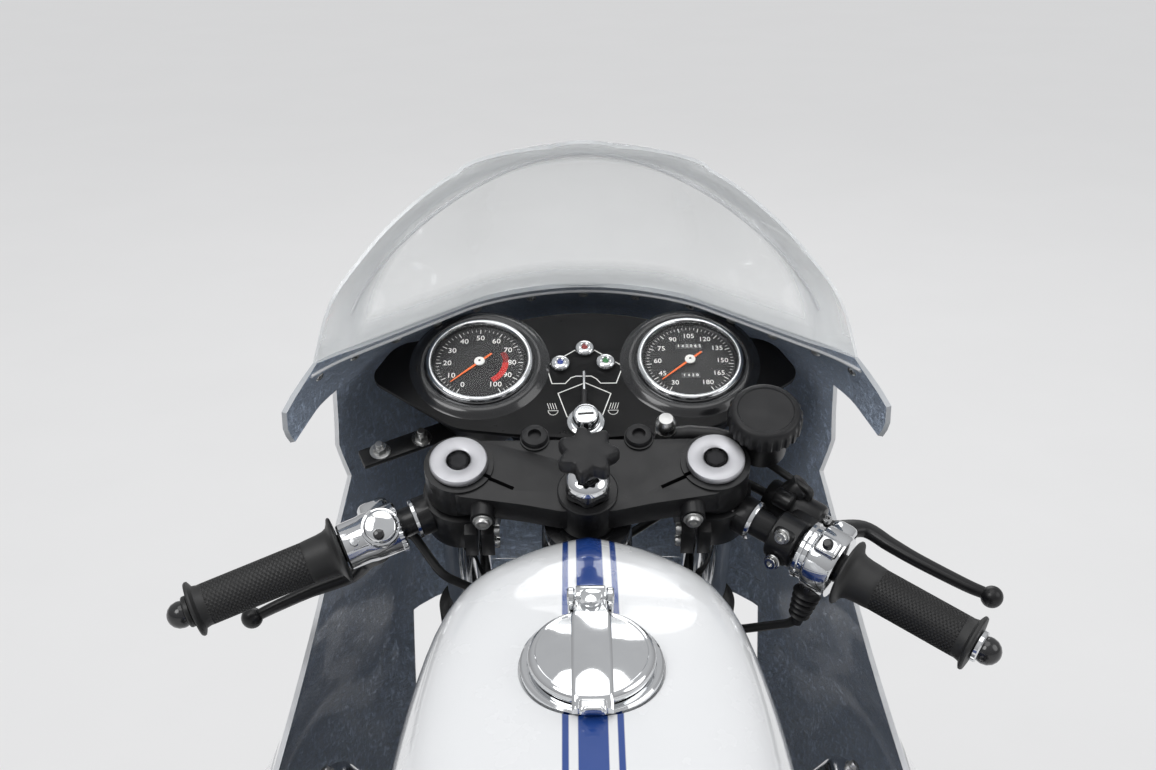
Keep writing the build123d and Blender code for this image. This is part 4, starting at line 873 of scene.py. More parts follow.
def build_tank():
    """Painted tank with rounded ends, a seam round its base, the filler recess and the tunnel."""
    tank = Piece("tank_shell").use("tank_paint")
    rows = smooth_rows(TANK_SECTIONS, 7)
    rings = [tank_ring(row) for row in rows]
    first, last = rows[0], rows[-1]
    front = []
    for step, shrink in ((1.0, 0.4), (0.9, 0.7), (0.6, 0.9), (0.25, 0.98)):
        front.append([p + Vector((0, 3.5 * step, 0)) for p in tank_ring(first, shrink)])
    rear = []
    for step, shrink in ((0.2, 0.98), (0.5, 0.92), (0.8, 0.78), (1.0, 0.55)):
        rear.append([p - Vector((0, 3.5 * step, 0)) for p in tank_ring(last, shrink)])
    tank.rings(front + rings + rear)
    well = Piece("well").use("tank_paint")
    well.lathe([(46, -1.5), (46, 60)], FILLER_PLACE, 64)
    tank.cut(well)
    neck = Piece("neck").use("tank_paint")
    neck.lathe([(32, -34), (32, 60)], FILLER_PLACE, 48)
    tank.cut(neck)
    tunnel = Piece("tunnel").use("tank_paint")
    slope = math.degrees(math.atan2(128, 600))
    tunnel.box((64, 800, 200), at(0, 130, 754) @ turn(slope, "X") @ at(0, 0, -71.7))
    tank.cut(tunnel)
    tank.done("frame", ["fuel_tank"], "white_paint", angle=40)

    seam = Piece("tank_seam").use("tank_paint")
    edge = []
    for row in rows[3:-2]:
        y, base, low = row[0], row[1], row[4]
        edge.append(Vector((base + 1.5, y, low + 3)))
    for sign in (-1, 1):
        seam.tube([Vector((p.x * sign, p.y, p.z)) for p in edge], 2.2, 8)
    seam.done("frame")


def build_filler():
    """Chrome flip-up filler: ring with a black cup in its neck as painted shade for the hole into the tank,
    domed lid, band across it, hinge, round knob, latch.
    """
    ring = Piece("filler_base").use("chrome")
    ring.sleeve([(31, -14), (31, 3), (38, 6), (43.5, 5.6), (44.8, 4.4), (45, 1), (45, 0.4), (33, 0.4),
                 (33, -14)],
                FILLER_PLACE, 72)
    for sign in (-1, 1):
        ring.box((4, 12, 14), FILLER_PLACE @ at(sign * 12.6, 47.5, 8), 1.5)
        ring.lathe([(0.01, -2.4), (5, -2.4), (6, -1.4), (6, 1.4), (5, 2.4), (0.01, 2.4)],
                   FILLER_PLACE @ at(sign * 12.6, 50, 14) @ turn(90, "Y"), 24)
    ring.lathe([(0.01, -15.2), (2.0, -15.2), (2.4, -14.6), (2.4, 14.6), (2.0, 15.2), (0.01, 15.2)],
               FILLER_PLACE @ at(0, 50, 14) @ turn(90, "Y"), 20)
    # Black cup with a floor inside the ring: painted shade standing in for the dark hole into the tank
    ring.use("cast_black")
    ring.sleeve([(31.5, -13.8), (31.5, -33.6), (0.01, -33.6), (0.01, -33), (31, -33), (31, -13.8)],
                FILLER_PLACE, 72)
    ring.done("frame", ["filler_ring"], "chrome")

    lid = Piece("filler_cap").use("chrome")
    lid.lathe([(0.01, 6.6), (36, 6.6), (38.5, 6.8), (40, 8.2), (40, 10.6), (39.2, 12.4), (36.8, 14.0),
               (35.4, 14.2), (34.6, 13.6), (33.4, 13.8), (28, 15.4), (20, 16.6), (10, 17.3),
               (0.01, 17.5)],
              FILLER_PLACE, 80)
    lid.sleeve([(21, -2), (25, -2), (25, 7.5), (21, 7.5)], FILLER_PLACE, 48)
    profile = spline([(0, -46, 11), (0, -38, 16.5), (0, -20, 19.6), (0, 4, 20.4), (0, 26, 19.4),
                      (0, 40, 17.6), (0, 49, 18)], 6)
    strip = []
    for p in profile:
        half = 12.6 - 3.2 * max(0, min(1, (p.y - 30) / 8))
        ring_points = [
            (-half, -4), (-half, -1.4), (-half + 1.4, 0), (-half + 2.6, 0.4), (half - 2.6, 0.4),
            (half - 1.4, 0), (half, -1.4), (half, -4),
        ]
        strip.append([FILLER_PLACE @ Vector((x, p.y, p.z + z)) for x, z in ring_points])
    lid.rings(strip)
    lid.sleeve([(3.0, -9.5), (6.6, -9.5), (7.2, -8.6), (7.2, 8.6), (6.6, 9.5), (3.0, 9.5)],
               FILLER_PLACE @ at(0, 50, 14) @ turn(90, "Y"), 30)
    lid.lathe([(0.01, 16), (6.2, 16), (7.4, 17.6), (7.6, 20), (6.6, 22.2), (4, 23.4), (0.01, 23.8)],
              FILLER_PLACE @ at(0, 42.5, 0), 32)
    lid.box((17, 9, 7), FILLER_PLACE @ at(0, -45.5, 12) @ turn(18, "X"), 2.2)
    lid.box((12, 3.2, 9), FILLER_PLACE @ at(0, -49.6, 13.4) @ turn(24, "X"), 1.4)
    lid.done("lid", ["filler_lid"], "chrome")


# Fairing levels: z, rear, shoulder and nose corners
FAIRING_SECTIONS = [
    (144, 120, -60, 128, 330, 92, 470), (190, 176, -60, 182, 360, 150, 570),
    (300, 222, -60, 226, 400, 160, 620), (400, 254, -60, 258, 420, 166, 640),
    (600, 280, -60, 284, 430, 168, 652), (700, 238, -60, 244, 450, 150, 690),
    (790, 212, -60, 216, 500, 118, 745), (880, 206, 200, 209, 566, 92, 762),
    (940, 224, 420, 207, 566, 80, 722), (988, 224, 420, 206, 480, 62, 654),
]
SCREEN_SECTIONS = [
    (988.3, 216, 420, 207, 480, 62, 654), (1030, 201, 420, 194, 500, 58, 644),
    (1062, 176, 420, 170, 514, 52, 630), (1092, 146, 420, 140, 526, 44, 610),
    (1122, 101, 420, 96, 540, 32, 584), (1141, 40, 420, 36, 540, 14, 552),
]
FAIRING_EDGE = [
    (140, 190), (190, 168), (230, 150), (400, 132), (560, 155), (640, 205), (719, 336), (777, 480),
    (850, 566), (940, 566),
]
WING_EDGE = [(940, 441), (945, 438), (966, 430), (989, 478)]
WALL = 4


def level(rows, z):
    """Numbers of the level at height z."""
    for low, high in zip(rows, rows[1:]):
        if low[0] <= z <= high[0]:
            t = (z - low[0]) / (high[0] - low[0])
            return [a + (b - a) * t for a, b in zip(low, high)]
    return rows[-1] if z > rows[-1][0] else rows[0]


def width_at(line, y):
    """Half width of a level's line at y, on the right."""
    for a, b in zip(line, line[1:]):
        a, b = Vector(a), Vector(b)
        if a.y <= y <= b.y and b.y > a.y:
            return a.x + (b.x - a.x) * (y - a.y) / (b.y - a.y)
    return Vector(line[0]).x


def level_line(row, z, edge_y, count, reach=70):
    """Line round one level, from its rear edge on the right over the nose to the left."""
    rear_x, rear_y, side_x, side_y, nose_x, nose_y = row[1:]
    corners = [
        (rear_x, rear_y, z), (side_x, side_y, z), (nose_x, nose_y, z), (-nose_x, nose_y, z),
        (-side_x, side_y, z), (-rear_x, rear_y, z),
    ]
    line = rounded(corners, reach, 10)
    half = line[:len(line) // 2] + [Vector((0, nose_y, z))]
    wanted = width_at(corners, edge_y)
    factor = wanted / width_at(half, edge_y)
    kept = []
    for a, b in zip(half, half[1:]):
        if b.y > edge_y:
            if not kept:
                t = max(0.0, (edge_y - a.y) / (b.y - a.y)) if b.y != a.y else 0.0
                kept.append(a.lerp(b, t))
            kept.append(b)
    right = resample(kept, count)
    for i, p in enumerate(right):
        p.x *= 1 + (factor - 1) * (1 - i / (count - 1)) ** 2
    return right + [Vector((-p.x, p.y, p.z)) for p in reversed(right[:-1])]


def between(points, z):
    """Value at height z on a line of (z, value) points, held at its ends."""
    for (z_low, low), (z_high, high) in zip(points, points[1:]):
        if z_low <= z <= z_high:
            return low + (high - low) * (z - z_low) / (z_high - z_low)
    return points[0][1] if z < points[0][0] else points[-1][1]


def inward(rows, thickness):
    """The same grid, moved in by the thickness along its normals."""
    moved = []
    for i, row in enumerate(rows):
        above = rows[min(i + 1, len(rows) - 1)]
        below = rows[max(i - 1, 0)]
        line = []
        for k, p in enumerate(row):
            along = row[min(k + 1, len(row) - 1)] - row[max(k - 1, 0)]
            up = above[k] - below[k]
            normal = along.cross(up)
            if normal.length < 1e-6:
                normal = Vector((p.x, 0, 0))
            normal.normalize()
            if normal.dot(Vector((p.x, max(p.y - 420, 0), 0))) < 0:
                normal = -normal
            line.append(p - normal * thickness)
        moved.append(line)
    return moved


def shell(piece, rows, thickness, outer, inner, rim):
    """Closed wall from a grid of points: outer skin, inner skin and rim."""
    inside = inward(rows, thickness)
    piece.use(outer).rings(rows, closed=False)
    piece.use(inner).rings([row[::-1] for row in inside], closed=False)
    piece.use(rim)
    piece.rings([rows[0], inside[0]], closed=False)
    piece.rings([rows[-1], inside[-1]], closed=False)
    piece.rings([[row[0] for row in rows], [row[0] for row in inside]], closed=False)
    piece.rings([[row[-1] for row in rows], [row[-1] for row in inside]], closed=False)
    return inside


def fairing_levels(heights, count=34, edge=FAIRING_EDGE):
    """Grid of the fairing's outer skin, one row for each height."""
    table = smooth_rows(FAIRING_SECTIONS, 10)
    return [level_line(level(table, z), z, between(edge, z), count) for z in heights]


def spaced(low, high, step):
    """Even values from low to high, about a step apart."""
    count = max(2, round((high - low) / step) + 1)
    return [low + (high - low) * i / (count - 1) for i in range(count)]


def arch_tool():
    """Round tool that cuts the front wheel's arch."""
    tool = Piece("arch").use("white_edge")
    tool.lathe([(368, -160), (368, 160)], FRONT_PLACE, 120)
    return tool


def build_fairing():
    """Upper fairing, wings that carry the screen, two side panels, seam, screws and fasteners."""
    upper = Piece("fairing_cowl")
    heights = spaced(700, 777, 11) + spaced(788, 850, 10) + spaced(862, 940, 9)
    shell(upper, fairing_levels(heights), WALL, "fairing_paint", "resin", "white_edge")
    bmesh.ops.remove_doubles(upper.bm, verts=upper.bm.verts, dist=0.01)
    lamp_hole = Piece("lamp_hole").use("white_edge")
    lamp_hole.lathe([(82.5, -120), (82.5, 160)], at(*HEADLAMP) @ turn(-90, "X"), 72)
    upper.cut(lamp_hole)
    upper.cut(arch_tool())
    upper.done("frame", ["fairing_upper"], "white_paint", angle=50)

    wings = Piece("fairing_wings")
    rows = fairing_levels(spaced(940.2, 989, 7), 40, WING_EDGE)
    shell(wings, rows, WALL, "fairing_paint", "resin", "bare_edge")
    wings.done("frame", slot="white_paint", angle=50)

    for side, sign in SIDES.items():
        panel = Piece(f"fairing_panel_{side}")
        heights = [144, 147, 153] + spaced(162, 699.7, 13)
        half = []
        for z, row in zip(heights, fairing_levels(heights, 36)):
            tuck = {144: 0.955, 147: 0.985, 153: 0.997}.get(z, 1.0)
            half.append([Vector((p.x * tuck + 0.5, p.y, p.z)) for p in row[:36]])
        floor_rows = [[Vector((p.x * t + 0.5, p.y, 144)) for p in half[0]] for t in (0.02, 0.5)]
        shell(panel, floor_rows + half, WALL, "fairing_paint", "resin", "white_edge")
        bmesh.ops.remove_doubles(panel.bm, verts=panel.bm.verts, dist=0.01)
        panel.cut(arch_tool())
        if sign < 0:
            bmesh.ops.scale(panel.bm, vec=(-1, 1, 1), verts=panel.bm.verts)
        panel.done("frame", [f"fairing_side_{side}"], "white_paint", angle=50)

    build_seam()


def build_seam():
    """Bonded seam under the screen, with its screws, and the panel fasteners."""
    table = smooth_rows(FAIRING_SECTIONS, 10)
    inner = inward([level_line(level(table, z), z, 470, 60) for z in (980, 984, 988)], WALL + 0.6)[1]
    seam = Piece("screen_seam").use("white_edge")
    seam.tube(inner, 1.4, 8)
    seam.done("frame")

    screws = Piece("screen_screws").use("zinc")
    normal_rows = inward([level_line(level(table, z), z, 470, 60) for z in (972, 976, 980)], WALL)
    outer = level_line(level(table, 976), 976, 470, 60)
    for spot in (4, 13, 22, 31, 40, 50, 59, 68, 78, 87, 96, 105, 114):
        place = axes(normal_rows[1][spot], (0, 0, 1), normal_rows[1][spot] - outer[spot])
        screws.screw(place, 4.2, 2.4, "dome")
        screws.lathe([(2.2, -6), (2.2, 0.2)], place, 12)
        head = axes(outer[spot], (0, 0, 1), outer[spot] - normal_rows[1][spot])
        screws.screw(head, 4.8, 2.2, "dome")
    screws.done("frame")

    fasteners = Piece("panel_fasteners").use("steel")
    side_rows = {z: fairing_levels([z - 3, z, z + 3], 36) for z in (690, 640, 430, 240)}
    for z, rows in side_rows.items():
        inside = inward(rows, WALL)[1]
        for spot in ((4, 12, 20) if z == 690 else (3,)):
            for index in (spot, len(rows[1]) - 1 - spot):
                place = axes(rows[1][index], (0, 0, 1), rows[1][index] - inside[index])
                fasteners.lathe([(9, 0), (9, 0.8), (7.6, 1.4), (4.4, 1.6), (4.4, 2.4), (3, 2.8),
                                 (0.01, 2.8)], place, 24)
                fasteners.box((1.2, 6, 0.8), place @ at(0, 0, 2.9), 0.2, 1)
    fasteners.done("frame")


def screen_edge(z):
    """Rear edge of the screen, leaning forwards as it rises."""
    return 480 + (z - 988.3) * math.tan(math.radians(21.6))


RIDGE = [(181, 1014), (172, 1030), (148, 1058), (106, 1089), (66, 1108), (27, 1120), (0, 1123.5)]


def build_screen():
    """Clear bubble, milky outside its moulded ridge, with the ridge and the bonded edge."""
    wall = bpy.context.scene.cafe_details.screen_wall
    table = smooth_rows(SCREEN_SECTIONS, 10)
    heights = spaced(988.4, 1045, 5) + spaced(1050, 1122, 5)
    heights += [1126, 1129.5, 1132.5, 1135, 1137, 1138.6, 1139.6]
    rows = []
    for z in heights:
        row = level(table, z)
        if z > 1122:
            t = (z - 1122) / 18.4
            squeeze = math.sqrt(max(0.01, 1 - t ** 1.6))
            base = level(table, 1122)
            row = [z] + [a * squeeze if i % 2 == 0 else b for i, (a, b) in enumerate(zip(base[1:], row[1:]))]
        rows.append(level_line(row, z, screen_edge(z), 36, 46))
    screen = Piece("screen_bubble")
    shell(screen, rows, wall, "acrylic", "acrylic", "screen_rim")
    ob = screen.done("frame", ["windscreen"], "clear_screen", angle=50)

    tree = surface(ob)
    half = resample(spline([(x, 0, z) for x, z in RIDGE], 8), 60)
    outline = half + [Vector((-p.x, 0, p.z)) for p in reversed(half[:-1])]
    line = []
    for p in outline:
        hit, normal, _, _ = tree.ray_cast(Vector((p.x, 300, p.z)), Vector((0, 1, 0)))
        if hit:
            line.append(hit + Vector((0, 0.4, 0)))
    ridge = Piece("screen_ridge").use("ridge")
    ridge.tube(line, 1.5, 10)
    ridge.done("frame")


# Steering head

def soften(name, node, finish, body, width=1.0, segments=2):
    """A node's own form with its edges rounded, in a finish of its own."""
    bm = bmesh.new()
    bm.from_mesh(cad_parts[node].data)
    bmesh.ops.remove_doubles(bm, verts=bm.verts, dist=1e-6)
    bmesh.ops.dissolve_limit(bm, angle_limit=math.radians(1.5), verts=bm.verts, edges=bm.edges)
    for f in bm.faces:
        f.smooth = True
        f.material_index = 0
    mesh = bpy.data.meshes.new(name)
    bm.to_mesh(mesh)
    bm.free()
    mesh.materials.clear()
    mesh.materials.append(FINISH[finish])
    ob = bpy.data.objects.new(name, mesh)
    bpy.context.scene.collection.objects.link(ob)
    bevel = ob.modifiers.new("edges", "BEVEL")
    bevel.width = width * MM
    bevel.segments = segments
    bevel.limit_method = "ANGLE"
    bevel.angle_limit = math.radians(32)
    bevel.use_clamp_overlap = True
    bpy.context.view_layer.update()
    final = bpy.data.meshes.new_from_object(ob.evaluated_get(bpy.context.evaluated_depsgraph_get()))
    final.name = name
    ob.modifiers.clear()
    ob.data = final
    bpy.data.meshes.remove(mesh)
    final.set_sharp_from_angle(angle=math.radians(40))
    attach(ob, body)
    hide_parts(node)
    return ob


def build_forks():
    """Polished stanchions, alloy sliders with dust covers, axle, caliper lugs and fork caps."""
    for side, sign in SIDES.items():
        x = sign * FORK_X
        leg = Piece(f"fork_leg_{side}").use("chrome")
        leg.lathe([(19, -372), (19, -0.4)], STEER @ at(x, 0, 0), 48)
        leg.use("cable_black")
        leg.sleeve([(19.2, -345), (24, -344), (27.5, -349), (28, -352), (28, -370), (26, -373), (19.2, -374)],
                   STEER @ at(x, 0, 0), 48)
        leg.use("polished")
        bottom = -FORK_LENGTH - 26
        leg.lathe([
            (12, bottom), (18, bottom + 1.5), (22, bottom + 5), (25, bottom + 12), (25, -420), (25.8, -414),
            (25.8, -394), (25, -390), (25, -374), (23, -371), (19, -370.5),
        ], STEER @ at(x, 0, 0), 48)
        axle_place = STEER @ at(x, 0, -FORK_LENGTH) @ turn(90, "Y")
        leg.lathe([(10, -27), (19, -27), (21, -26), (22, -24), (22, 24), (21, 26), (19, 27), (10, 27)],
                  axle_place, 40)
        leg.box((9, 60, 46), STEER @ at(sign * 80, -45, -FORK_LENGTH + 82), 3)
        leg.use("zinc")
        leg.screw(STEER @ at(x, -25, -FORK_LENGTH + 34) @ turn(90, "X"), 4, 3)
        leg.screw(STEER @ at(x, -24.5, -420) @ turn(90, "X"), 3, 2)
        leg.use("anodised")
        cap = [(21, 0.3), (21.6, 1.0), (21.6, 4.4), (20.8, 5.6), (19.4, 6.0), (11, 6.0), (9.6, 5.2),
               (8.6, 4.6)]
        rings = [[STEER @ (p + Vector((x, 0, 0))) for p in circle(r, 48, z)] for r, z in cap]
        leg.rings(rings, caps=False)
        leg.use("cast_black")
        socket = []
        for z, share in ((4.6, 1.0), (0.8, 1.0), (0.8, 0.01)):
            ring = []
            for k in range(48):
                angle = math.tau * k / 48
                reach = 5.6 * share / math.cos(off_flat(angle))
                ring.append(STEER @ Vector((x + reach * math.cos(angle), reach * math.sin(angle), z)))
            socket.append(ring)
        leg.rings([rings[-1]] + socket)
        leg.done("steering", [f"fork_{side}"], "steel")


def build_clamp():
    """Top and lower clamps, pinch screws, stem nut and the lobed damper knob."""
    soften("upper_clamp", "top_clamp", "satin_black", "steering", 1.4, 3)
    soften("lower_clamp", "steering_stem", "satin_black", "steering", 1.0, 2)
    screws = Piece("clamp_screws")
    for sign in (-1, 1):
        screws.use("zinc")
        place = STEER @ at(sign * 77, -41, -14) @ turn(90, "X")
        screws.lathe([(6.2, 0), (7.2, 0.6), (7.2, 1.6), (6.2, 2)], place, 32)
        screws.screw(place @ at(0, 0, 1.6), 5.6, 3.4)
        screws.use("black_plastic")
        screws.lathe([(10.4, -1), (10.4, 1.6), (9.4, 3.4), (7, 4), (5, 4), (4.6, 3), (4.6, 0.6), (0.01, 0.6)],
                     STEER @ at(sign * 39, 24, 0), 40)
    screws.done("steering")

    nut = Piece("stem_nut").use("gloss_black")
    rings = []
    for z, grow in ((2.3, 0.96), (3.4, 1.0), (10.5, 1.0), (14.2, 0.9)):
        ring = []
        for k in range(48):
            angle = math.tau * k / 48
            reach = min(15.6 / math.cos(off_flat(angle)), 17.4) * grow
            ring.append(STEER @ Vector((reach * math.cos(angle), -FORK_OFFSET + reach * math.sin(angle), z)))
        rings.append(ring)
    nut.rings(rings)
    nut.use("chrome")
    nut.sleeve([(16.2, 13.6), (16.0, 15), (14.6, 17.2), (12, 19.2), (9, 20.6), (6.6, 21), (6.6, 13.6)],
               STEER @ at(0, -FORK_OFFSET, 0), 48)
    nut.use("steel")
    nut.lathe([(6, 12), (6, 38)], STEER @ at(0, -FORK_OFFSET, 0), 24)
    nut.use("satin_black")
    nut.sleeve([(16, 0.2), (22.4, 0.2), (22.4, 1.4), (21.4, 2.2), (16, 2.2)], STEER @ at(0, -FORK_OFFSET, 0),
               48)
    nut.done("steering")

    lobes = bpy.context.scene.cafe_details.knob_lobes
    knob = Piece("damper_knob_top").use("black_plastic")
    levels = [(36.6, 0.72), (37, 0.86), (38.4, 0.95), (41, 1.0), (47.5, 1.0), (49.8, 0.965), (51, 0.9),
              (51.4, 0.8), (51.4, 0.4), (51, 0.1)]
    rings = []
    for z, grow in levels:
        ring = []
        for k in range(140):
            angle = math.tau * k / 140
            wave = 0.5 + 0.5 * math.cos(lobes * angle)
            reach = (16.8 + 5.9 * wave ** 1.15) * grow
            ring.append(STEER @ Vector((reach * math.cos(angle), -FORK_OFFSET + reach * math.sin(angle), z)))
        rings.append(ring)
    knob.rings(rings)
    knob.lathe([(9, 27), (9.6, 27.4), (12, 36.8), (8, 36.8)], STEER @ at(0, -FORK_OFFSET, 0), 32)
    knob.done("steering", ["damper_knob"], "chrome")


# Bars and controls

def grip_skin(piece, place, start, end):
    """Moulded grip: trumpet flange, smooth neck, diamond knurl and end flange."""
    ribs = bpy.context.scene.cafe_details.grip_ribs
    length = end - start
    profile = [
        (11.3, 0), (20, 0), (24.6, 0.4), (25.6, 1.2), (25.7, 2.2), (24.8, 3.2), (21.8, 4.3), (19.0, 6),
        (17.6, 9), (16.9, 14), (16.4, 24),
    ]
    place = place @ at(0, 0, start)
    piece.use("grip_rubber")
    count = 96
    rings = [[place @ p for p in circle(r, count, z)] for r, z in profile]
    knurl_start, knurl_end = 27, length - 12
    steps = ribs * 4
    for k in range(steps + 1):
        z = knurl_start + (knurl_end - knurl_start) * k / steps
        ring = []
        for i in range(count):
            angle = math.tau * i / count
            groove = (i + k) % 4 == 0 or (i - k) % 4 == 0
            fade = 0.0 if k in (0, steps) else 1.0
            r = 16.1 - (0.95 * fade if groove else 0)
            ring.append(place @ polar(r, angle, z))
        rings.append(ring)
    for r, z in ((16, length - 9), (16.8, length - 5.4), (19.5, length - 4.2), (21.2, length - 3.2),
                 (21.4, length - 1.8), (20.6, length - 0.6), (17, length), (11.3, length)):
        rings.append([place @ p for p in circle(r, count, z)])
    piece.rings(rings)


def bar_end(piece, place, end, ring_finish):
    """Domed weight in the end of the bar."""
    piece.use(ring_finish)
    piece.lathe([(8, end + 0.4), (11.2, end + 0.4), (12.2, end + 1.4), (12.2, end + 4), (11.4, end + 5),
                 (8, end + 5.2)],
                place, 40)
    piece.use("gloss_black")
    angles = (-0.4, -0.2, 0, 0.4, 0.8, 1.15, 1.4)
    dome = [(10.4 * math.cos(a), end + 9 + 10.4 * math.sin(a)) for a in angles]
    piece.lathe([(8, end + 5)] + dome + [(0.01, end + 19.4)], place, 40)


def lever(piece, place, start, end, reach):
    """Cast lever: pivot eye, tapered blade with a rounded back and a ball end."""
    centre = spline([
        (35, 0, start - 6), (41, 0, start + 4), (reach + 2, 0, start + 20), (reach + 0.5, 0, start + 44),
        (reach - 0.5, 0, (start + end) / 2 + 6), (reach + 1.5, 0, end - 18), (reach + 4.5, 0, end - 2),
    ], 7)
    rings = []
    last = len(centre) - 1
    for i, p in enumerate(centre):
        t = i / last
        before, after = centre[max(i - 1, 0)], centre[min(i + 1, last)]
        tangent = (after - before).normalized()
        side = Vector((0, 1, 0)).cross(tangent).normalized()
        wide = 8.2 - 3.6 * t + 1.6 * math.exp(-((t - 0.15) / 0.15) ** 2)
        thick = 5.6 - 1.6 * t
        ring = []
        for k in range(16):
            angle = math.tau * k / 16
            c, s = math.cos(angle), math.sin(angle)
            across = side * wide * math.copysign(abs(c) ** 0.7, c)
            up = Vector((0, 1, 0)) * thick * math.copysign(abs(s) ** 0.8, s)
            ring.append(place @ (p + across + up))
        rings.append(ring)
    piece.rings(rings)
    angles = [math.pi * k / 14 for k in range(15)]
    ball = [(8.5 * math.sin(a), -8.5 * math.cos(a)) for a in angles]
    piece.lathe(ball, place @ at(reach + 4.5, 0, end + 3), 28)
    piece.lathe([(9, -5.4), (10, -4.6), (10, 4.6), (9, 5.4)], place @ at(36, 0, start - 4) @ turn(90, "X"),
                28)


def build_bars():
    """Clip-on bars, grips, levers, switches, master cylinder and reservoir."""
    soften("clip_on_bars", "clip_ons", "satin_black", "steering", 0.8, 2)
    details = Piece("bar_details")
    for side, sign in SIDES.items():
        place = BARS[side]
        details.use("chrome")
        details.sleeve([(11.2, 36), (14.6, 36), (15.6, 37), (15.6, 39.4) if side == "left" else (15.2, 39),
                        (14.6, 40), (11.2, 40)],
                       place, 36)
        details.use("zinc")
        pinch = STEER @ at(sign * (FORK_X - 14), -26, -51)
        for z in (-8, 8):
            details.screw(pinch @ at(sign * -11, -4, z) @ turn(sign * -90, "Y"), 4.5, 4)
    details.use("cable_black")
    details.sleeve([(11.3, 24), (12.4, 25), (12.4, 35.8), (11.3, 35.9)], BARS["left"], 32)
    details.done("steering")

    grips = Piece("bar_grips")
    for side, (start, end) in GRIP_SPAN.items():
        grip_skin(grips, BARS[side], start, end)
        bar_end(grips, BARS[side], end, "cable_black" if side == "left" else "chrome")
    grips.done("steering", ["grips"], "grip_rubber")

    build_left_controls()
    build_right_controls()
    build_reservoir()


def build_left_controls():
    """Clutch perch and lever, and the alloy switch body with its round dip switch."""
    place = BARS["left"]
    perch = Piece("clutch_controls").use("satin_black")
    tilt = place @ turn(52, "Z")
    perch.sleeve([(11.3, 72), (16.4, 72), (17, 73.4), (17, 90.6), (16.4, 92), (11.3, 92)], tilt, 40)
    perch.box((32, 18, 20), tilt @ at(24, 0, 80), 4)
    lever(perch, tilt, 80, 180, 56)
    perch.use("steel")
    perch.screw(tilt @ at(36, -9, 76) @ turn(90, "X"), 5, 3)
    perch.lathe([(4.6, 0), (4.6, 12), (5.6, 12.4), (5.6, 17), (4.4, 18), (2.4, 18.4), (2.4, 26)],
                tilt @ at(27, 0, 70) @ turn(180, "X"), 20)
    perch.done("steering", ["clutch_lever"], "black_metal")

    body = Piece("left_switch").use("chrome")
    body.sleeve([(11.4, 50), (17.6, 50), (19.2, 51.6), (19.2, 76), (18.4, 80), (18.2, 95), (17, 96.6),
                 (11.4, 97)], place, 48)
    body.box((32, 22, 26), place @ at(13, -5, 65), 7, 4)
    top = place @ turn(-48, "Z") @ at(0, -17, 65) @ turn(90, "X")
    body.lathe([(15, -6), (15.4, 0.5), (14.4, 2.2), (13, 2.6), (12.6, 4.2), (12.0, 5.4), (10.6, 6.2),
                (4, 6.6), (0.01, 6.6)], top, 48)
    for spoke in range(10):
        body.box((1.4, 2.4, 4), place @ turn(-30 - 12 * spoke, "Z") @ at(0, -19.6, 52.5), 0.5, 1)
    body.use("gloss_black")
    body.lathe([(4.2, 5.6), (4.2, 9.4), (3.6, 10.4), (2.4, 10.9), (0.01, 11)], top @ at(-6.2, 3.2, 0), 28)
    body.use("dull_chrome")
    body.lathe([(3.4, -4), (3.6, 0), (3.0, 1.2), (0.01, 1.4)],
               place @ turn(-48, "Z") @ at(-3, -18, 87) @ turn(90, "X"), 20)
    body.use("black_plastic")
    tab = spline([(20, 10, 44), (26, 18, 38), (30, 26, 37)], 6)
    body.tube([place @ p for p in tab], [4.4] * 6 + [5.2] * 4 + [5.6, 5.6, 3.0], 14)
    body.done("steering", slot="chrome")


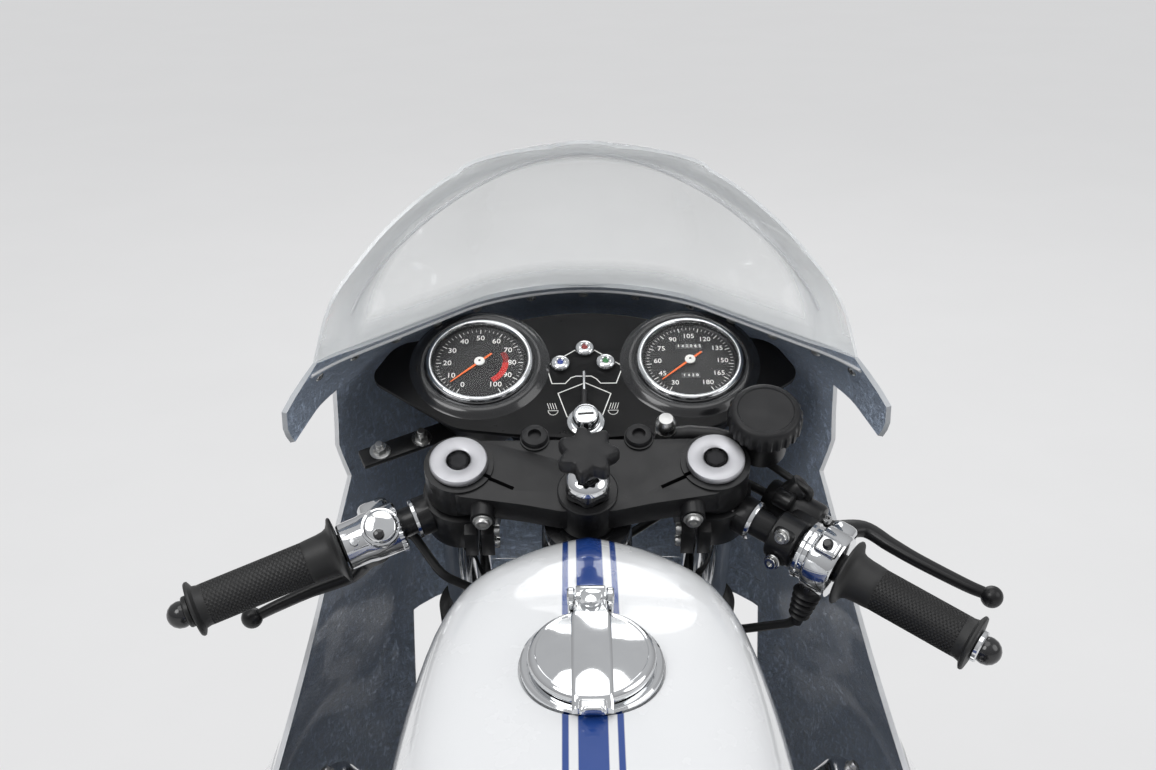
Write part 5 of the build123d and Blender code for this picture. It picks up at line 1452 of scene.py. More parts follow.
def build_right_controls():
    """Master cylinder with its clamp and lever, polished throttle body and bellows."""
    place = BARS["right"]
    master = Piece("brake_controls").use("satin_black")
    master.sleeve([(11.3, 56), (17, 56), (18.4, 57.4), (18.4, 76.6), (17, 78), (11.3, 78)], place, 44)
    master.box((26, 30, 19), place @ at(-4, 0, 67), 5, 3)
    master.box((34, 22, 22), place @ at(24, 2, 68), 5, 3)
    master.lathe([(9, 30), (13, 31), (14, 33), (14, 75), (12.6, 77.4), (8, 78)], place @ at(34, 4, 0), 40)
    lever(master, place, 84, 208, 60)
    barrel = place @ at(34, 10, 46) @ turn(-62, "X") @ turn(14, "Y")
    master.lathe([(9, -4), (10.4, 0), (10.4, 15), (9.8, 16.4), (7, 16.6), (5.2, 16), (4.6, 12),
                  (0.01, 11.6)], barrel, 36)
    master.lathe([(6, 20), (7.4, 22), (7.4, 34), (6, 35)], place @ at(22, 15, 20), 24)
    master.use("zinc")
    for dx, dy in ((-12, 12), (-14, -11)):
        master.lathe([(5.6, 0), (6.2, 1), (6.2, 2.4), (5.6, 3.2)],
                     place @ at(dx - 4, dy, 67) @ turn(-90, "Y"), 28)
        master.screw(place @ at(dx - 6.6, dy, 67) @ turn(-90, "Y"), 4.8, 3.4)
    master.lathe([(5.2, 0), (5.6, 0.6), (5.6, 5), (4.8, 6), (2.4, 6.4), (0.01, 6.4)],
                 place @ at(44, 14, 52) @ turn(-90, "X"), 24)
    master.use("steel")
    master.screw(place @ at(36, 7, 80) @ turn(-90, "X"), 5, 3)
    master.sleeve([(10.8, 20), (14.8, 20.6), (14.8, 24), (10.8, 24.4)], place, 36)
    master.done("steering", ["brake_lever"], "black_metal")

    throttle = Piece("throttle_housing").use("chrome")
    throttle.sleeve([(11.4, 80.4), (21, 80.4), (22.6, 82), (22.6, 84.4), (21.4, 85.8), (21.4, 89),
                     (23.4, 90.4), (24.8, 91.6), (25.2, 93.4), (25.2, 109.4), (24, 111.3),
                     (11.4, 111.5)], place, 64)
    throttle.box((24, 30, 20), place @ at(15, 8, 100), 6, 3)
    throttle.box((15, 18, 9), place @ turn(28, "Z") @ at(-3, 25.5, 101) @ turn(-90, "X"), 3, 3)
    for k in range(5):
        throttle.screw(place @ turn(72 * k + 20, "Z") @ at(0, 20, 86.5) @ turn(-90, "X"), 2.2, 1.6)
    throttle.use("gloss_black")
    throttle.lathe([(4.0, 0), (4.0, 3.6), (3.4, 4.6), (2, 5), (0.01, 5.1)],
                   place @ turn(28, "Z") @ at(-4, 29.5, 101) @ turn(-90, "X"), 28)
    throttle.use("zinc")
    neck = place @ at(-2, -22, 96) @ turn(90, "X")
    throttle.lathe([(5.6, -4), (7, 0), (7, 4), (5.4, 6), (4, 8)], neck, 24)
    throttle.use("black_plastic")
    bellows = [(4.6, 6)]
    for k in range(5):
        base = 8 + k * 5.2
        big = 11.2 - 0.7 * k
        bellows += [(big - 3.4, base), (big - 0.6, base + 1.3), (big, base + 2.2), (big - 0.6, base + 3.1),
                    (big - 3.2, base + 4.4)]
    bellows += [(5, 36), (4.2, 40)]
    throttle.lathe(bellows, neck, 32)
    throttle.done("steering", ["switch_housings"], "chrome")


def build_reservoir():
    """Brake fluid bottle with a ribbed cap, its arm and its union."""
    place = STEER @ at(133, 30, 0)
    bottle = Piece("fluid_bottle").use("black_plastic")
    bottle.lathe([(10, -26), (17, -26), (19, -23), (19, 6), (22, 7.4)], place, 48)
    rings = []
    for z, r, tooth in ((7, 26.2, 0), (7.6, 27, 1), (17.6, 27, 1), (19.4, 26.6, 0.4), (20.6, 26.2, 0),
                        (22, 25.4, 0), (23, 23.6, 0), (23.2, 21.4, 0), (22.4, 20.6, 0), (22.2, 12, 0),
                        (22.9, 2, 0)):
        ring = []
        for k in range(144):
            angle = math.tau * k / 144
            rib = 1.2 * tooth if k % 6 < 3 else 0
            ring.append(place @ polar(r + rib, angle, z))
        rings.append(ring)
    bottle.rings(rings)
    bottle.use("satin_black")
    bottle.tube([STEER @ Vector(p) for p in ((114, 31, -15), (96, 35, -14), (78, 37, -14), (62, 36.6, -16))],
                [6, 6.6, 6.6, 6], 16)
    bottle.box((14, 44, 5), STEER @ at(59, 24, -27), 1.6)
    bottle.lathe([(7, -28), (9, -27), (9, -18), (8, -17)], STEER @ at(60, 38, 0), 28)
    bottle.use("zinc")
    bottle.nut(STEER @ at(60, 38, -17), 9, 8)
    bottle.lathe([(7.4, -9), (7.8, -8), (7.8, -1), (6.4, 1.6), (5.4, 3.6), (0.01, 4)], STEER @ at(60, 38, 0),
                 28)
    bottle.done("steering", ["brake_reservoir"], "black_plastic")


# Dash and instruments

def dial_text(piece, text, place, size):
    """Numbers of a dial, as thin raised forms."""
    data = bpy.data.curves.new("digits", "FONT")
    data.body = text
    data.size = size
    data.align_x = "CENTER"
    data.align_y = "CENTER"
    data.extrude = 0.04
    data.resolution_u = 3
    ob = bpy.data.objects.new("digits", data)
    mesh = bpy.data.meshes.new_from_object(ob)
    verts = [piece.bm.verts.new(place @ v.co) for v in mesh.vertices]
    for polygon in mesh.polygons:
        piece.face([verts[i] for i in polygon.vertices])
    bpy.data.objects.remove(ob)
    bpy.data.curves.remove(data)
    bpy.data.meshes.remove(mesh)


def dial_mark(piece, place, angle, inner, outer, wide):
    """Raised line on a dial, at an angle in degrees."""
    middle = (inner + outer) / 2
    piece.box((outer - inner, wide, 0.1), place @ turn(angle, "Z") @ at(middle, 0, 0.06))


def dial_needle(piece, place, angle):
    """Needle with its hub, at an angle in radians."""
    spin = place @ Matrix.Rotation(angle, 4, "Z")
    piece.use("needle_orange")
    rings = []
    for x, half in ((-13, 0.75), (-4, 1.0), (8, 0.9), (31, 0.35)):
        rings.append([spin @ Vector((x, -half, 1.2)), spin @ Vector((x, half, 1.2)),
                      spin @ Vector((x, half, 1.7)), spin @ Vector((x, -half, 1.7))])
    piece.rings(rings)
    piece.use("dial_white")
    piece.lathe([(4.2, 1.5), (4.4, 2.0), (4.2, 2.8), (3.2, 3.2), (0.01, 3.3)], place, 32)
    piece.use("dial_black")
    piece.lathe([(0.9, 3.1), (0.9, 3.6), (0.01, 3.7)], place, 16)


def build_dials():
    """Two chrome-ringed dials with printed faces, needles, windows and glass."""
    needle = bpy.context.scene.cafe_details.needle_angle
    cups = Piece("dial_cups")
    faces = Piece("dial_faces")
    glass = Piece("dial_glass").use("dial_glass")
    for sign in (-1, 1):
        place = STEER @ at(sign * GAUGE_X, GAUGE_U, DASH_LEVEL)
        cups.use("chrome")
        cups.sleeve([(41, -0.5), (43.4, 0.4), (44, 1.6), (44, 4.6), (43.5, 6.4), (42.4, 7.6), (41.0, 8),
                     (39.9, 7.7), (39.2, 6.8), (38.9, 5.2), (38.9, 3.4), (39.6, 2.4)], place, 96)
        cups.use("gloss_black")
        cups.lathe([(42, -1.5), (42, 1), (46, 1)], place, 72, caps=False)
        cups.use("black_plastic")
        cups.lathe([(41.6, -2), (41.6, -52), (39, -58), (30, -60), (0.01, -60)], place, 64)
        faces.use("dial_black")
        faces.lathe([(38.9, 3.6), (38.4, 2.2), (36.6, 1.0), (36.4, 1.9), (0.01, 2.0)], place, 72, caps=False)
        dial = place @ at(0, 0, 1.96)
        faces.use("dial_white")
        marks = 50 if sign < 0 else 55
        for k in range(marks + 1):
            major = k % 5 == 0
            dial_mark(faces, dial, 240 - 300 * k / marks, 31.4 if major else 33.2, 35.6,
                      0.55 if major else 0.28)
        for k in range(11):
            angle = math.radians(240 - 30 * k)
            number = 10 * k if sign < 0 else 30 + 15 * k
            dial_text(faces, str(number), dial @ at(*polar(26.4, angle, 0.1)),
                      7.2 if sign < 0 else 6.6)
        if sign < 0:
            faces.use("dial_red")
            for k in range(9):
                dial_mark(faces, dial, 29 - 3.4 * k, 19.2, 24, 0.5)
            arc = []
            for k in range(25):
                angle = math.radians(-60 * k / 24)
                arc.append([dial @ polar(r, angle, z)
                            for r, z in ((18.6, 0), (23.6, 0), (23.6, 0.16), (18.6, 0.16))])
            faces.rings(arc)
        else:
            for y, digits in ((15.5, "142065"), (-15.5, "1420")):
                wide = 3.5 * len(digits)
                faces.use("gloss_black")
                faces.box((wide + 1.4, 5.4, 0.24), dial @ at(0, y, 0.1), 0.1, 1)
                faces.use("dial_white")
                for k, digit in enumerate(digits):
                    dial_text(faces, digit, dial @ at((k - (len(digits) - 1) / 2) * 3.5, y, 0.3), 4.0)
        dial_needle(faces, dial, needle if sign < 0 else needle - 0.02)
        glass.lathe([(38.8, 6.0), (30, 6.5), (15, 6.9), (0.01, 7.0)], place, 64)
        glass.lathe([(0.01, 5.6), (15, 5.5), (30, 5.1), (38.8, 4.6)], place, 64)
    cups.done("frame", ["instruments"], "chrome")
    faces.done("frame", angle=30, outward=False)
    glass.done("frame")


LAMP_OUTLINE = [
    (-5.8, 154), (-31.5, 135.4), (-26.9, 117), (-16.2, 117), (-11.5, 123), (-7.4, 124.6), (5, 124.6),
    (9.2, 121.6), (12.6, 117), (25.2, 117), (31, 134.8), (5.8, 154),
]
SWITCH_OUTLINE = [(-22, 106.8), (0, 117.6), (20.6, 106.2), (13, 82.6), (-14.8, 82.6)]


def line_on_dash(piece, points, wide, closed=False):
    """Thin painted line on the dash."""
    pts = [Vector((x, u, DASH_LEVEL)) for x, u in points]
    if closed:
        pts.append(pts[0])
    for a, b in zip(pts, pts[1:]):
        way = (b - a).normalized()
        side = Vector((-way.y, way.x, 0)) * wide / 2
        a2, b2 = a - way * wide / 3, b + way * wide / 3
        low = [a2 - side, b2 - side, b2 + side, a2 + side]
        rings = [[STEER @ (p + Vector((0, 0, h))) for p in low] for h in (-0.05, 0.12)]
        piece.rings(rings)


def build_dash():
    """Black dash with its raised rings, painted outlines, warning lamps, toggle and lock."""
    soften("dash_plate", "dash_panel", "dash_black", "frame", 1.2, 3)
    stay = Piece("dash_stay").use("satin_black")
    ends = [STEER @ Vector((-184, 79.3, -100.7)), STEER @ Vector((-104, 113, -99))]
    middle = (ends[0] + ends[1]) / 2
    stay.box((18, 5, (ends[1] - ends[0]).length), axes(middle, STEER.to_3x3() @ Vector((0, 1, 0)),
                                                       ends[1] - ends[0]), 1.4, 2)
    for x, u in ((-168.6, 88), (-135, 101)):
        place = STEER @ at(x, u - 2, -98)
        stay.use("zinc")
        stay.lathe([(6, 0), (8.6, 0.4), (8.6, 1.6), (6, 2)], place, 32)
        stay.nut(place @ at(0, 0, 1.8), 6, 5)
        stay.lathe([(3.4, 6), (3.4, 10.4), (2.8, 11)], place, 16)
    stay.done("frame", slot="black_metal")
    rings = Piece("dash_rings").use("gloss_black")
    for sign in (-1, 1):
        place = STEER @ at(sign * GAUGE_X, GAUGE_U, DASH_LEVEL)
        rings.sleeve([(44.3, -1), (44.3, 3), (46.5, 4.6), (50, 4.8), (53.4, 3.4), (55.5, 1.2), (57.5, 0.05),
                      (57, -1)],
                     place, 96)
    rings.done("frame")

    lines = Piece("dash_lines").use("dial_white")
    line_on_dash(lines, LAMP_OUTLINE, 0.8)
    line_on_dash(lines, SWITCH_OUTLINE, 0.8, closed=True)
    for side in (-1, 1):
        x = side * 24 - 2
        angles = [math.pi + math.pi * k / 8 for k in range(9)]
        bowl = [(x + 4 * math.cos(a), 89 + 4.4 * math.sin(a)) for a in angles]
        line_on_dash(lines, bowl, 0.45, closed=True)
        for k in range(4):
            low = x - 3 + 2 * k
            line_on_dash(lines, [(low, 90.5), (low + side * 1.6, 96.5)], 0.45)
    lines.done("frame", outward=False)

    lamps = Piece("dash_lamps")
    for (x, u), tint in zip(((0, 153), (-20, 137), (17, 138)), ("lamp_red", "lamp_blue", "lamp_green")):
        place = STEER @ at(x, u, DASH_LEVEL)
        lamps.use("chrome")
        lamps.lathe([(5.4, -20), (5.4, 0.2), (7.8, 0.2), (8.1, 1.0), (7.9, 2.4), (7.0, 3.8), (5.4, 4.6),
                     (3.6, 4.8), (3.0, 4.4), (2.8, 3.2)], place, 40)
        lamps.use(tint)
        lamps.lathe([(2.8, 3.0), (2.2, 3.8), (1.2, 4.2), (0.01, 4.3)], place, 20)
    place = STEER @ at(0, 77, DASH_LEVEL)
    lamps.use("chrome")
    lamps.lathe([(12.6, -20), (12.6, 0.1), (14.6, 0.1), (14.8, 1.2), (13.6, 2.2), (11.2, 2.6), (10.6, 3.4),
                 (10.6, 9.6), (10.0, 11.2), (9.0, 11.9), (8.2, 12.0), (7.9, 11.4), (0.01, 11.5)], place, 56)
    lamps.use("gloss_black")
    lamps.box((12.5, 1.7, 0.7), place @ turn(4, "Z") @ at(0, 0, 11.7), 0.2, 1)
    lamps.use("satin_black")
    pivot = STEER @ at(-1, 92, DASH_LEVEL)
    lamps.lathe([(5.4, 0), (5.6, 1), (4.6, 3), (3, 4), (0.01, 4.2)], pivot, 28)
    lamps.box((4.6, 15, 8), pivot @ at(0, 4, 6) @ turn(10, "X"), 1.4)
    lamps.use("dull_chrome")
    lamps.box((2.2, 28, 2.6), pivot @ at(0, 15, 9) @ turn(6, "X"), 0.8)
    lamps.done("frame", ["dash_switches"], "chrome")


# Wheels, brakes and mudguards

def build_tyre(name, node, body, place, half):
    """Round-section tyre with zigzag centre grooves, slanted cross grooves, shoulder step and rim line."""
    cells = bpy.context.scene.cafe_details.tread_blocks
    outside = TYRE_RADIUS - 0.15
    shoulder = outside - 0.7 * half
    chord = half * 0.96
    crown = (chord ** 2 + (0.7 * half) ** 2) / (1.4 * half)
    limit = math.degrees(math.asin(chord / crown))
    spread = [0, 5, 8, 9.5, 12.5, 14, 20, 26, 32, 40, 48, 54, 60, 66, limit]
    wall = [
        (half * 0.985, shoulder - 7), (half, shoulder - 16), (half * 1.0, (shoulder + 236) / 2),
        (half * 0.95, 252), (half * 0.85, 246), (half * 0.83, 243.5), (half * 0.72, 240.5),
        (half * 0.66, 237.5), (half * 0.62, 236.2),
    ]
    tyre = Piece(name).use("tyre_rubber")
    rings = []
    for cell in range(cells):
        for part, in_groove in ((0.0, False), (0.6, False), (0.7, True), (0.9, True)):
            row = []
            for side in (-1, 1):
                line = []
                for degree in spread:
                    lean = 0.9 * degree / limit * side
                    angle = math.tau * (cell + part + lean) / cells
                    tilt = math.radians(degree)
                    depth = 0
                    if degree in (9.5, 12.5):
                        depth = 2.6
                    if in_groove and 20 <= degree <= 54:
                        depth = 2.4
                    r = outside - crown + (crown - depth) * math.cos(tilt)
                    line.append((side * (crown - depth) * math.sin(tilt), r, angle))
                for x, r in wall:
                    line.append((side * x, r, math.tau * (cell + part + 0.9 * side) / cells))
                row.append(line)
            section = row[0][::-1] + row[1][1:]
            rings.append([place @ polar(r, a, x) for x, r, a in section])
    tyre.rings(rings, loop=True)
    return tyre.done(body, [node], "tyre", angle=28)


def drilled_ring(piece, place, inner, outer, low, high, rows, count, hole):
    """Flat ring with staggered rows of round holes through it, in the wheel's place."""
    bm = piece.bm
    radii = [inner + (outer - inner) * i / (2 * rows) for i in range(2 * rows + 1)]
    steps = 2 * count
    layers = []
    for z in (low, high):
        layers.append([[bm.verts.new(place @ polar(r, math.tau * k / steps, z)) for k in range(steps)]
                       for r in radii])
    for i in range(rows):
        for k in range(count):
            a, b, c = 2 * i, 2 * i + 1, 2 * i + 2
            k0, k1, k2 = 2 * k, 2 * k + 1, (2 * k + 2) % steps
            rims = []
            for layer, flip in zip(layers, (True, False)):
                border = [layer[a][k0], layer[a][k1], layer[a][k2], layer[b][k2], layer[c][k2], layer[c][k1],
                          layer[c][k0], layer[b][k0]]
                if (i + k) % 2 == 0:
                    angle = math.tau * k1 / steps
                    middle = polar(radii[b], angle)
                    z = low if flip else high
                    rim = []
                    for v in range(8):
                        round_hole = angle + math.radians(225 - 45 * v)
                        rim.append(bm.verts.new(place @ (middle + polar(hole, round_hole, z))))
                    for v in range(8):
                        w = (v + 1) % 8
                        piece.face((border[v], border[w], rim[w], rim[v]))
                    rims.append(rim)
                else:
                    piece.face(border)
            if rims:
                for v in range(8):
                    w = (v + 1) % 8
                    piece.face((rims[0][v], rims[0][w], rims[1][w], rims[1][v]))
    for r in (0, 2 * rows):
        for k in range(steps):
            m = (k + 1) % steps
            piece.face((layers[0][r][k], layers[0][r][m], layers[1][r][m], layers[1][r][k]))


def build_wheel(name, node, body, place, hub_half, flange, rim_half):
    """Shouldered alloy rim, laced spokes with nipples, hub with flanges and a valve."""
    wheel = Piece(name).use("polished")
    k = rim_half / 31
    outer = [(235.7, -31), (235.7, -29), (232, -27.6), (230, -21), (227.5, -17), (219.6, -12), (218.8, 0)]
    outer += [(r, -z) for r, z in reversed(outer[:-1])]
    inner = [(231, 30.6), (228, 29), (225.4, 21), (221, 16), (212.5, 12), (210.5, 6), (210.2, 0)]
    inner += [(r, -z) for r, z in reversed(inner[:-1])]
    wheel.sleeve([(r, z * k) for r, z in outer + inner], place, 120)
    hub = [
        (10.5, -hub_half), (22, -hub_half), (25, -hub_half + 2), (26, -flange - 6), (29, -flange - 5),
        (44, -flange - 4), (46, -flange - 3), (46, -flange + 2), (44, -flange + 3), (32, -flange + 5),
        (29, -flange + 12), (27.5, 0),
    ]
    hub += [(r, -z) for r, z in reversed(hub[:-1])]
    wheel.use("cast")
    wheel.sleeve(hub, place, 64)
    spokes = Piece(name + "_spokes").use("chrome")
    for index in range(36):
        side = 1 if index % 2 else -1
        lean = 14 if index % 4 < 2 else -14
        rim_angle = math.radians(10 * index)
        hub_angle = rim_angle + math.radians(lean)
        start = polar(40, hub_angle, side * flange)
        end = polar(211, rim_angle, side * 3)
        way = (end - start).normalized()
        head = start - Vector((0, 0, side * 5))
        line = [head, start + Vector((0, 0, side * 2)), start + way * 4 + Vector((0, 0, side * 1.4)), end]
        spokes.tube([place @ p for p in line], [1.7, 1.7, 1.7, 1.7], 8)
        spokes.tube([place @ (head - Vector((0, 0, side * 0.2))),
                     place @ (head + Vector((0, 0, side * 1.6)))], 3.1, 8)
        nipple = [end - way * 15, end - way * 13.5, end, end + way * 2]
        spokes.tube([place @ p for p in nipple], [2.4, 3.1, 3.1, 3.8], 8)
    spokes.use("black_plastic")
    spokes.tube([place @ Vector((r, 6, 0)) for r in (211, 196, 190)], [4.2, 4.2, 2.6], 10)
    wheel.done(body, [node], "polished_alloy", angle=38)
    spokes.done(body)


def build_wheels():
    """Tyres, wheels, drilled discs, calipers and mudguards."""
    build_tyre("front_tread", "front_tyre", "front_wheel_body", FRONT_PLACE, 50)
    build_tyre("rear_tread", "rear_tyre", "rear_wheel_body", REAR_PLACE, 56)
    build_wheel("front_rim", "front_wheel", "front_wheel_body", FRONT_PLACE, 50, 26, 31)
    build_wheel("rear_rim", "rear_wheel", "rear_wheel_body", REAR_PLACE, 68, 30, 36)

    discs = Piece("brake_discs").use("disc_steel")
    for sign in (-1, 1):
        low, high = sorted((sign * 52.5, sign * 57.5))
        drilled_ring(discs, FRONT_PLACE, 92, 140, low, high, 3, 48, 2.9)
        discs.use("cast_black")
        low, high = sorted((sign * 31, sign * 38))
        drilled_ring(discs, FRONT_PLACE, 27, 78, low, high, 1, 12, 10.5)
        discs.use("zinc")
        for k in range(12):
            bobbin = FRONT_PLACE @ turn(30 * k + 15, "Z") @ at(77, 0, 0)
            low, high = sorted((sign * 30.8, sign * 58))
            discs.lathe([(3, low), (6.4, low + 0.6), (6.4, high - 0.6), (3, high)], bobbin, 16)
        discs.use("disc_steel")
        low, high = sorted((sign * 52.6, sign * 57.4))
        discs.sleeve([(70, low), (92.2, low), (92.2, high), (70, high)], FRONT_PLACE, 96)
    discs.done("front_wheel_body", ["front_discs"], "steel", angle=30)

    rear = Piece("rear_disc").use("disc_steel")
    drilled_ring(rear, REAR_PLACE, 78, 120, -66.5, -61.5, 3, 40, 2.8)
    rear.sleeve([(60, -66.4), (78.2, -66.4), (78.2, -61.6), (60, -61.6)], REAR_PLACE, 96)
    rear.use("cast_black")
    rear.sleeve([(26, -68), (30, -71), (40, -70), (58, -67.6), (72, -67), (72, -60.4), (46, -60), (26, -60)],
                REAR_PLACE, 72)
    rear.use("zinc")
    for k in range(6):
        rear.screw(REAR_PLACE @ turn(60 * k, "Z") @ at(66, 0, -66.6) @ turn(180, "X"), 5, 4)
    rear.done("rear_wheel_body", angle=30)

    soften("front_calipers", "brake_calipers", "cast_black", "steering", 2.5, 3)
    bolts = Piece("caliper_bolts")
    for sign in (-1, 1):
        body = STEER @ at(sign * 56, -84, -FORK_LENGTH + 86) @ turn(44, "X")
        for y in (-26, 26):
            bolts.use("polished")
            bolts.lathe([(19, 0), (19, 1.4), (17, 2.6), (14, 2.8), (13.4, 1.6), (0.01, 1.6)],
                        body @ at(sign * 19.4, y * 0.8, -4) @ turn(sign * 90, "Y"), 36)
            bolts.use("zinc")
            bolts.screw(body @ at(sign * 19.4, y * 1.5, 17) @ turn(sign * 90, "Y"), 4.6, 3.4)
        bolts.use("brass")
        bolts.lathe([(6, 0), (6, 6), (4.4, 7), (4.4, 11), (0.01, 11.4)], body @ at(sign * 13, 0, 28.6), 20)
    bolts.done("steering")

    build_guard("front_guard", "front_mudguard", "steering", FRONT_PLACE, 60, 52, 138)
    build_guard("rear_guard", "rear_mudguard", "frame", REAR_PLACE, 62, 62, 150)


def build_guard(name, node, body, place, half, start, end):
    """Painted mudguard with rolled edges, its stays and screws."""
    guard = Piece(name).use("guard_paint")
    outer = [(-half, 322.5), (-half, 327), (-half + 2.2, 335), (-half + 8, 341), (-half * 0.66, 344.4),
             (-half * 0.33, 346.4), (0, 347)]
    outer += [(-x, r) for x, r in reversed(outer[:-1])]
    inner = [(half - 2.6, 322.5), (half - 2.4, 327), (half - 5, 333.6), (half - 10, 338), (half * 0.6, 341),
             (half * 0.3, 342.8), (0, 343.4)]
    inner += [(-x, r) for x, r in reversed(inner[:-1])]
    rings = []
    for k in range(61):
        t = k / 60
        angle = math.radians(start + (end - start) * t)
        edge = min(t, 1 - t) * 60
        tuck = 1.2 if edge < 0.5 else 0
        rings.append([place @ polar(r - tuck, angle, x * (1 - tuck * 0.01)) for x, r in outer + inner])
    guard.rings(rings)
    for sign in (-1, 1):
        line = []
        for k in range(61):
            angle = math.radians(start + (end - start) * k / 60)
            line.append(place @ polar(323, angle, sign * (half - 1.8)))
        guard.tube(line, 2.0, 8)
    if node == "front_mudguard":
        guard.use("satin_black")
        for sign in (-1, 1):
            lug = STEER @ Vector((sign * (FORK_X - 26), 0, -FORK_LENGTH + 150))
            guard.lathe([(4, -4), (9, -3.4), (9, 3.4), (4, 4)], at(sign * 67, lug.y, lug.z) @ turn(90, "Y"),
                        28)
            for angle in (58, 118):
                a = math.radians(angle)
                top = Vector((sign * 60.6, FRONT_AXLE.y + 332 * math.cos(a), 320 + 332 * math.sin(a)))
                guard.tube(rounded([top, top + Vector((sign * 4, 0, -14)),
                                    Vector((sign * 66.5, lug.y, lug.z))], 10), 3, 10)
                guard.use("zinc")
                guard.screw(at(*top) @ turn(sign * 90, "Y"), 4.4, 3, "dome")
                guard.use("satin_black")
    else:
        guard.use("satin_black")
        guard.tube(rounded([(0, -966, 590), (0, -1000, 594), (0, -1036, 600)], 20), 7, 16)
        plate_place = at(0, -1036.5, 612) @ turn(90, "X")
        outline = [(-80, -55), (80, -55), (80, 55), (-80, 55)]
        soft = rounded([Vector((x, y, 0)) for x, y in outline + outline[:1]], 8)
        guard.plate([(p.x, p.y) for p in soft[:-1]], 3, plate_place, 0.8)
        guard.use("zinc")
        for x in (-50, 50):
            guard.sleeve([(3.2, 2.8), (5.4, 2.8), (5.4, 3.6), (3.2, 3.6)], plate_place @ at(x, 0, 0), 20)
    guard.done(body, [node], "white_paint", angle=40)


# Engine, exhausts, frame fittings

PORT_X = 181.7
PORT_Z = 616.7


def engine_place(sign):
    """Place on a cylinder's base: local z out along the cylinder, from the crank axis."""
    return at(0, CYLINDER_Y, CRANK_Z) @ turn(sign * 45, "Y")


def round_two(first, big, second, small):
    """Closed outline round two circles, the larger one first."""
    line = Vector(second) - Vector(first)
    aim = math.atan2(line.y, line.x)
    lean = math.acos((big - small) / line.length)
    points = []
    for centre, radius, start, sweep in ((second, small, aim - lean, 2 * lean),
                                         (first, big, aim + lean, math.tau - 2 * lean)):
        for k in range(21):
            angle = start + sweep * k / 20
            points.append((centre[0] + radius * math.cos(angle), centre[1] + radius * math.sin(angle)))
    return points


def gear_covers(fittings):
    """Screwed covers with bearing bosses and a filler plug on both flanks of the gearbox."""
    for sign in (-1, 1):
        flank = axes((sign * 83.6, 0, 0), (0, sign, 0), (sign, 0, 0))
        low, high = (-118 * sign, 352), (-34 * sign, 412)
        fittings.use("polished")
        fittings.plate(round_two(low, 74, high, 46), 9, flank, 2.4)
        fittings.lathe([(33, 8.6), (32, 11), (26, 12.4), (24, 12.4), (22, 10.6), (0.01, 10.6)],
                       flank @ at(*low, 0), 48)
        fittings.lathe([(19, 8.6), (18, 11), (12, 12), (0.01, 12)], flank @ at(*high, 0), 40)
        fittings.use("zinc")
        rim = [Vector((x, y, 0)) for x, y in round_two(low, 65, high, 37)]
        for spot in resample(rim + [rim[0]], 11)[:-1]:
            fittings.screw(flank @ at(spot.x, spot.y, 8.8), 4.2, 3.4)
        fittings.nut(flank @ at(-170 * sign, 460, 0), 11, 9)
        for y in (-196, 22):
            for z in (268, 500):
                fittings.lathe([(11, -1), (11, 4), (9.4, 5), (0.01, 5)], flank @ at(y * sign, z, 0), 28)
                fittings.screw(flank @ at(y * sign, z, 5), 5, 4)


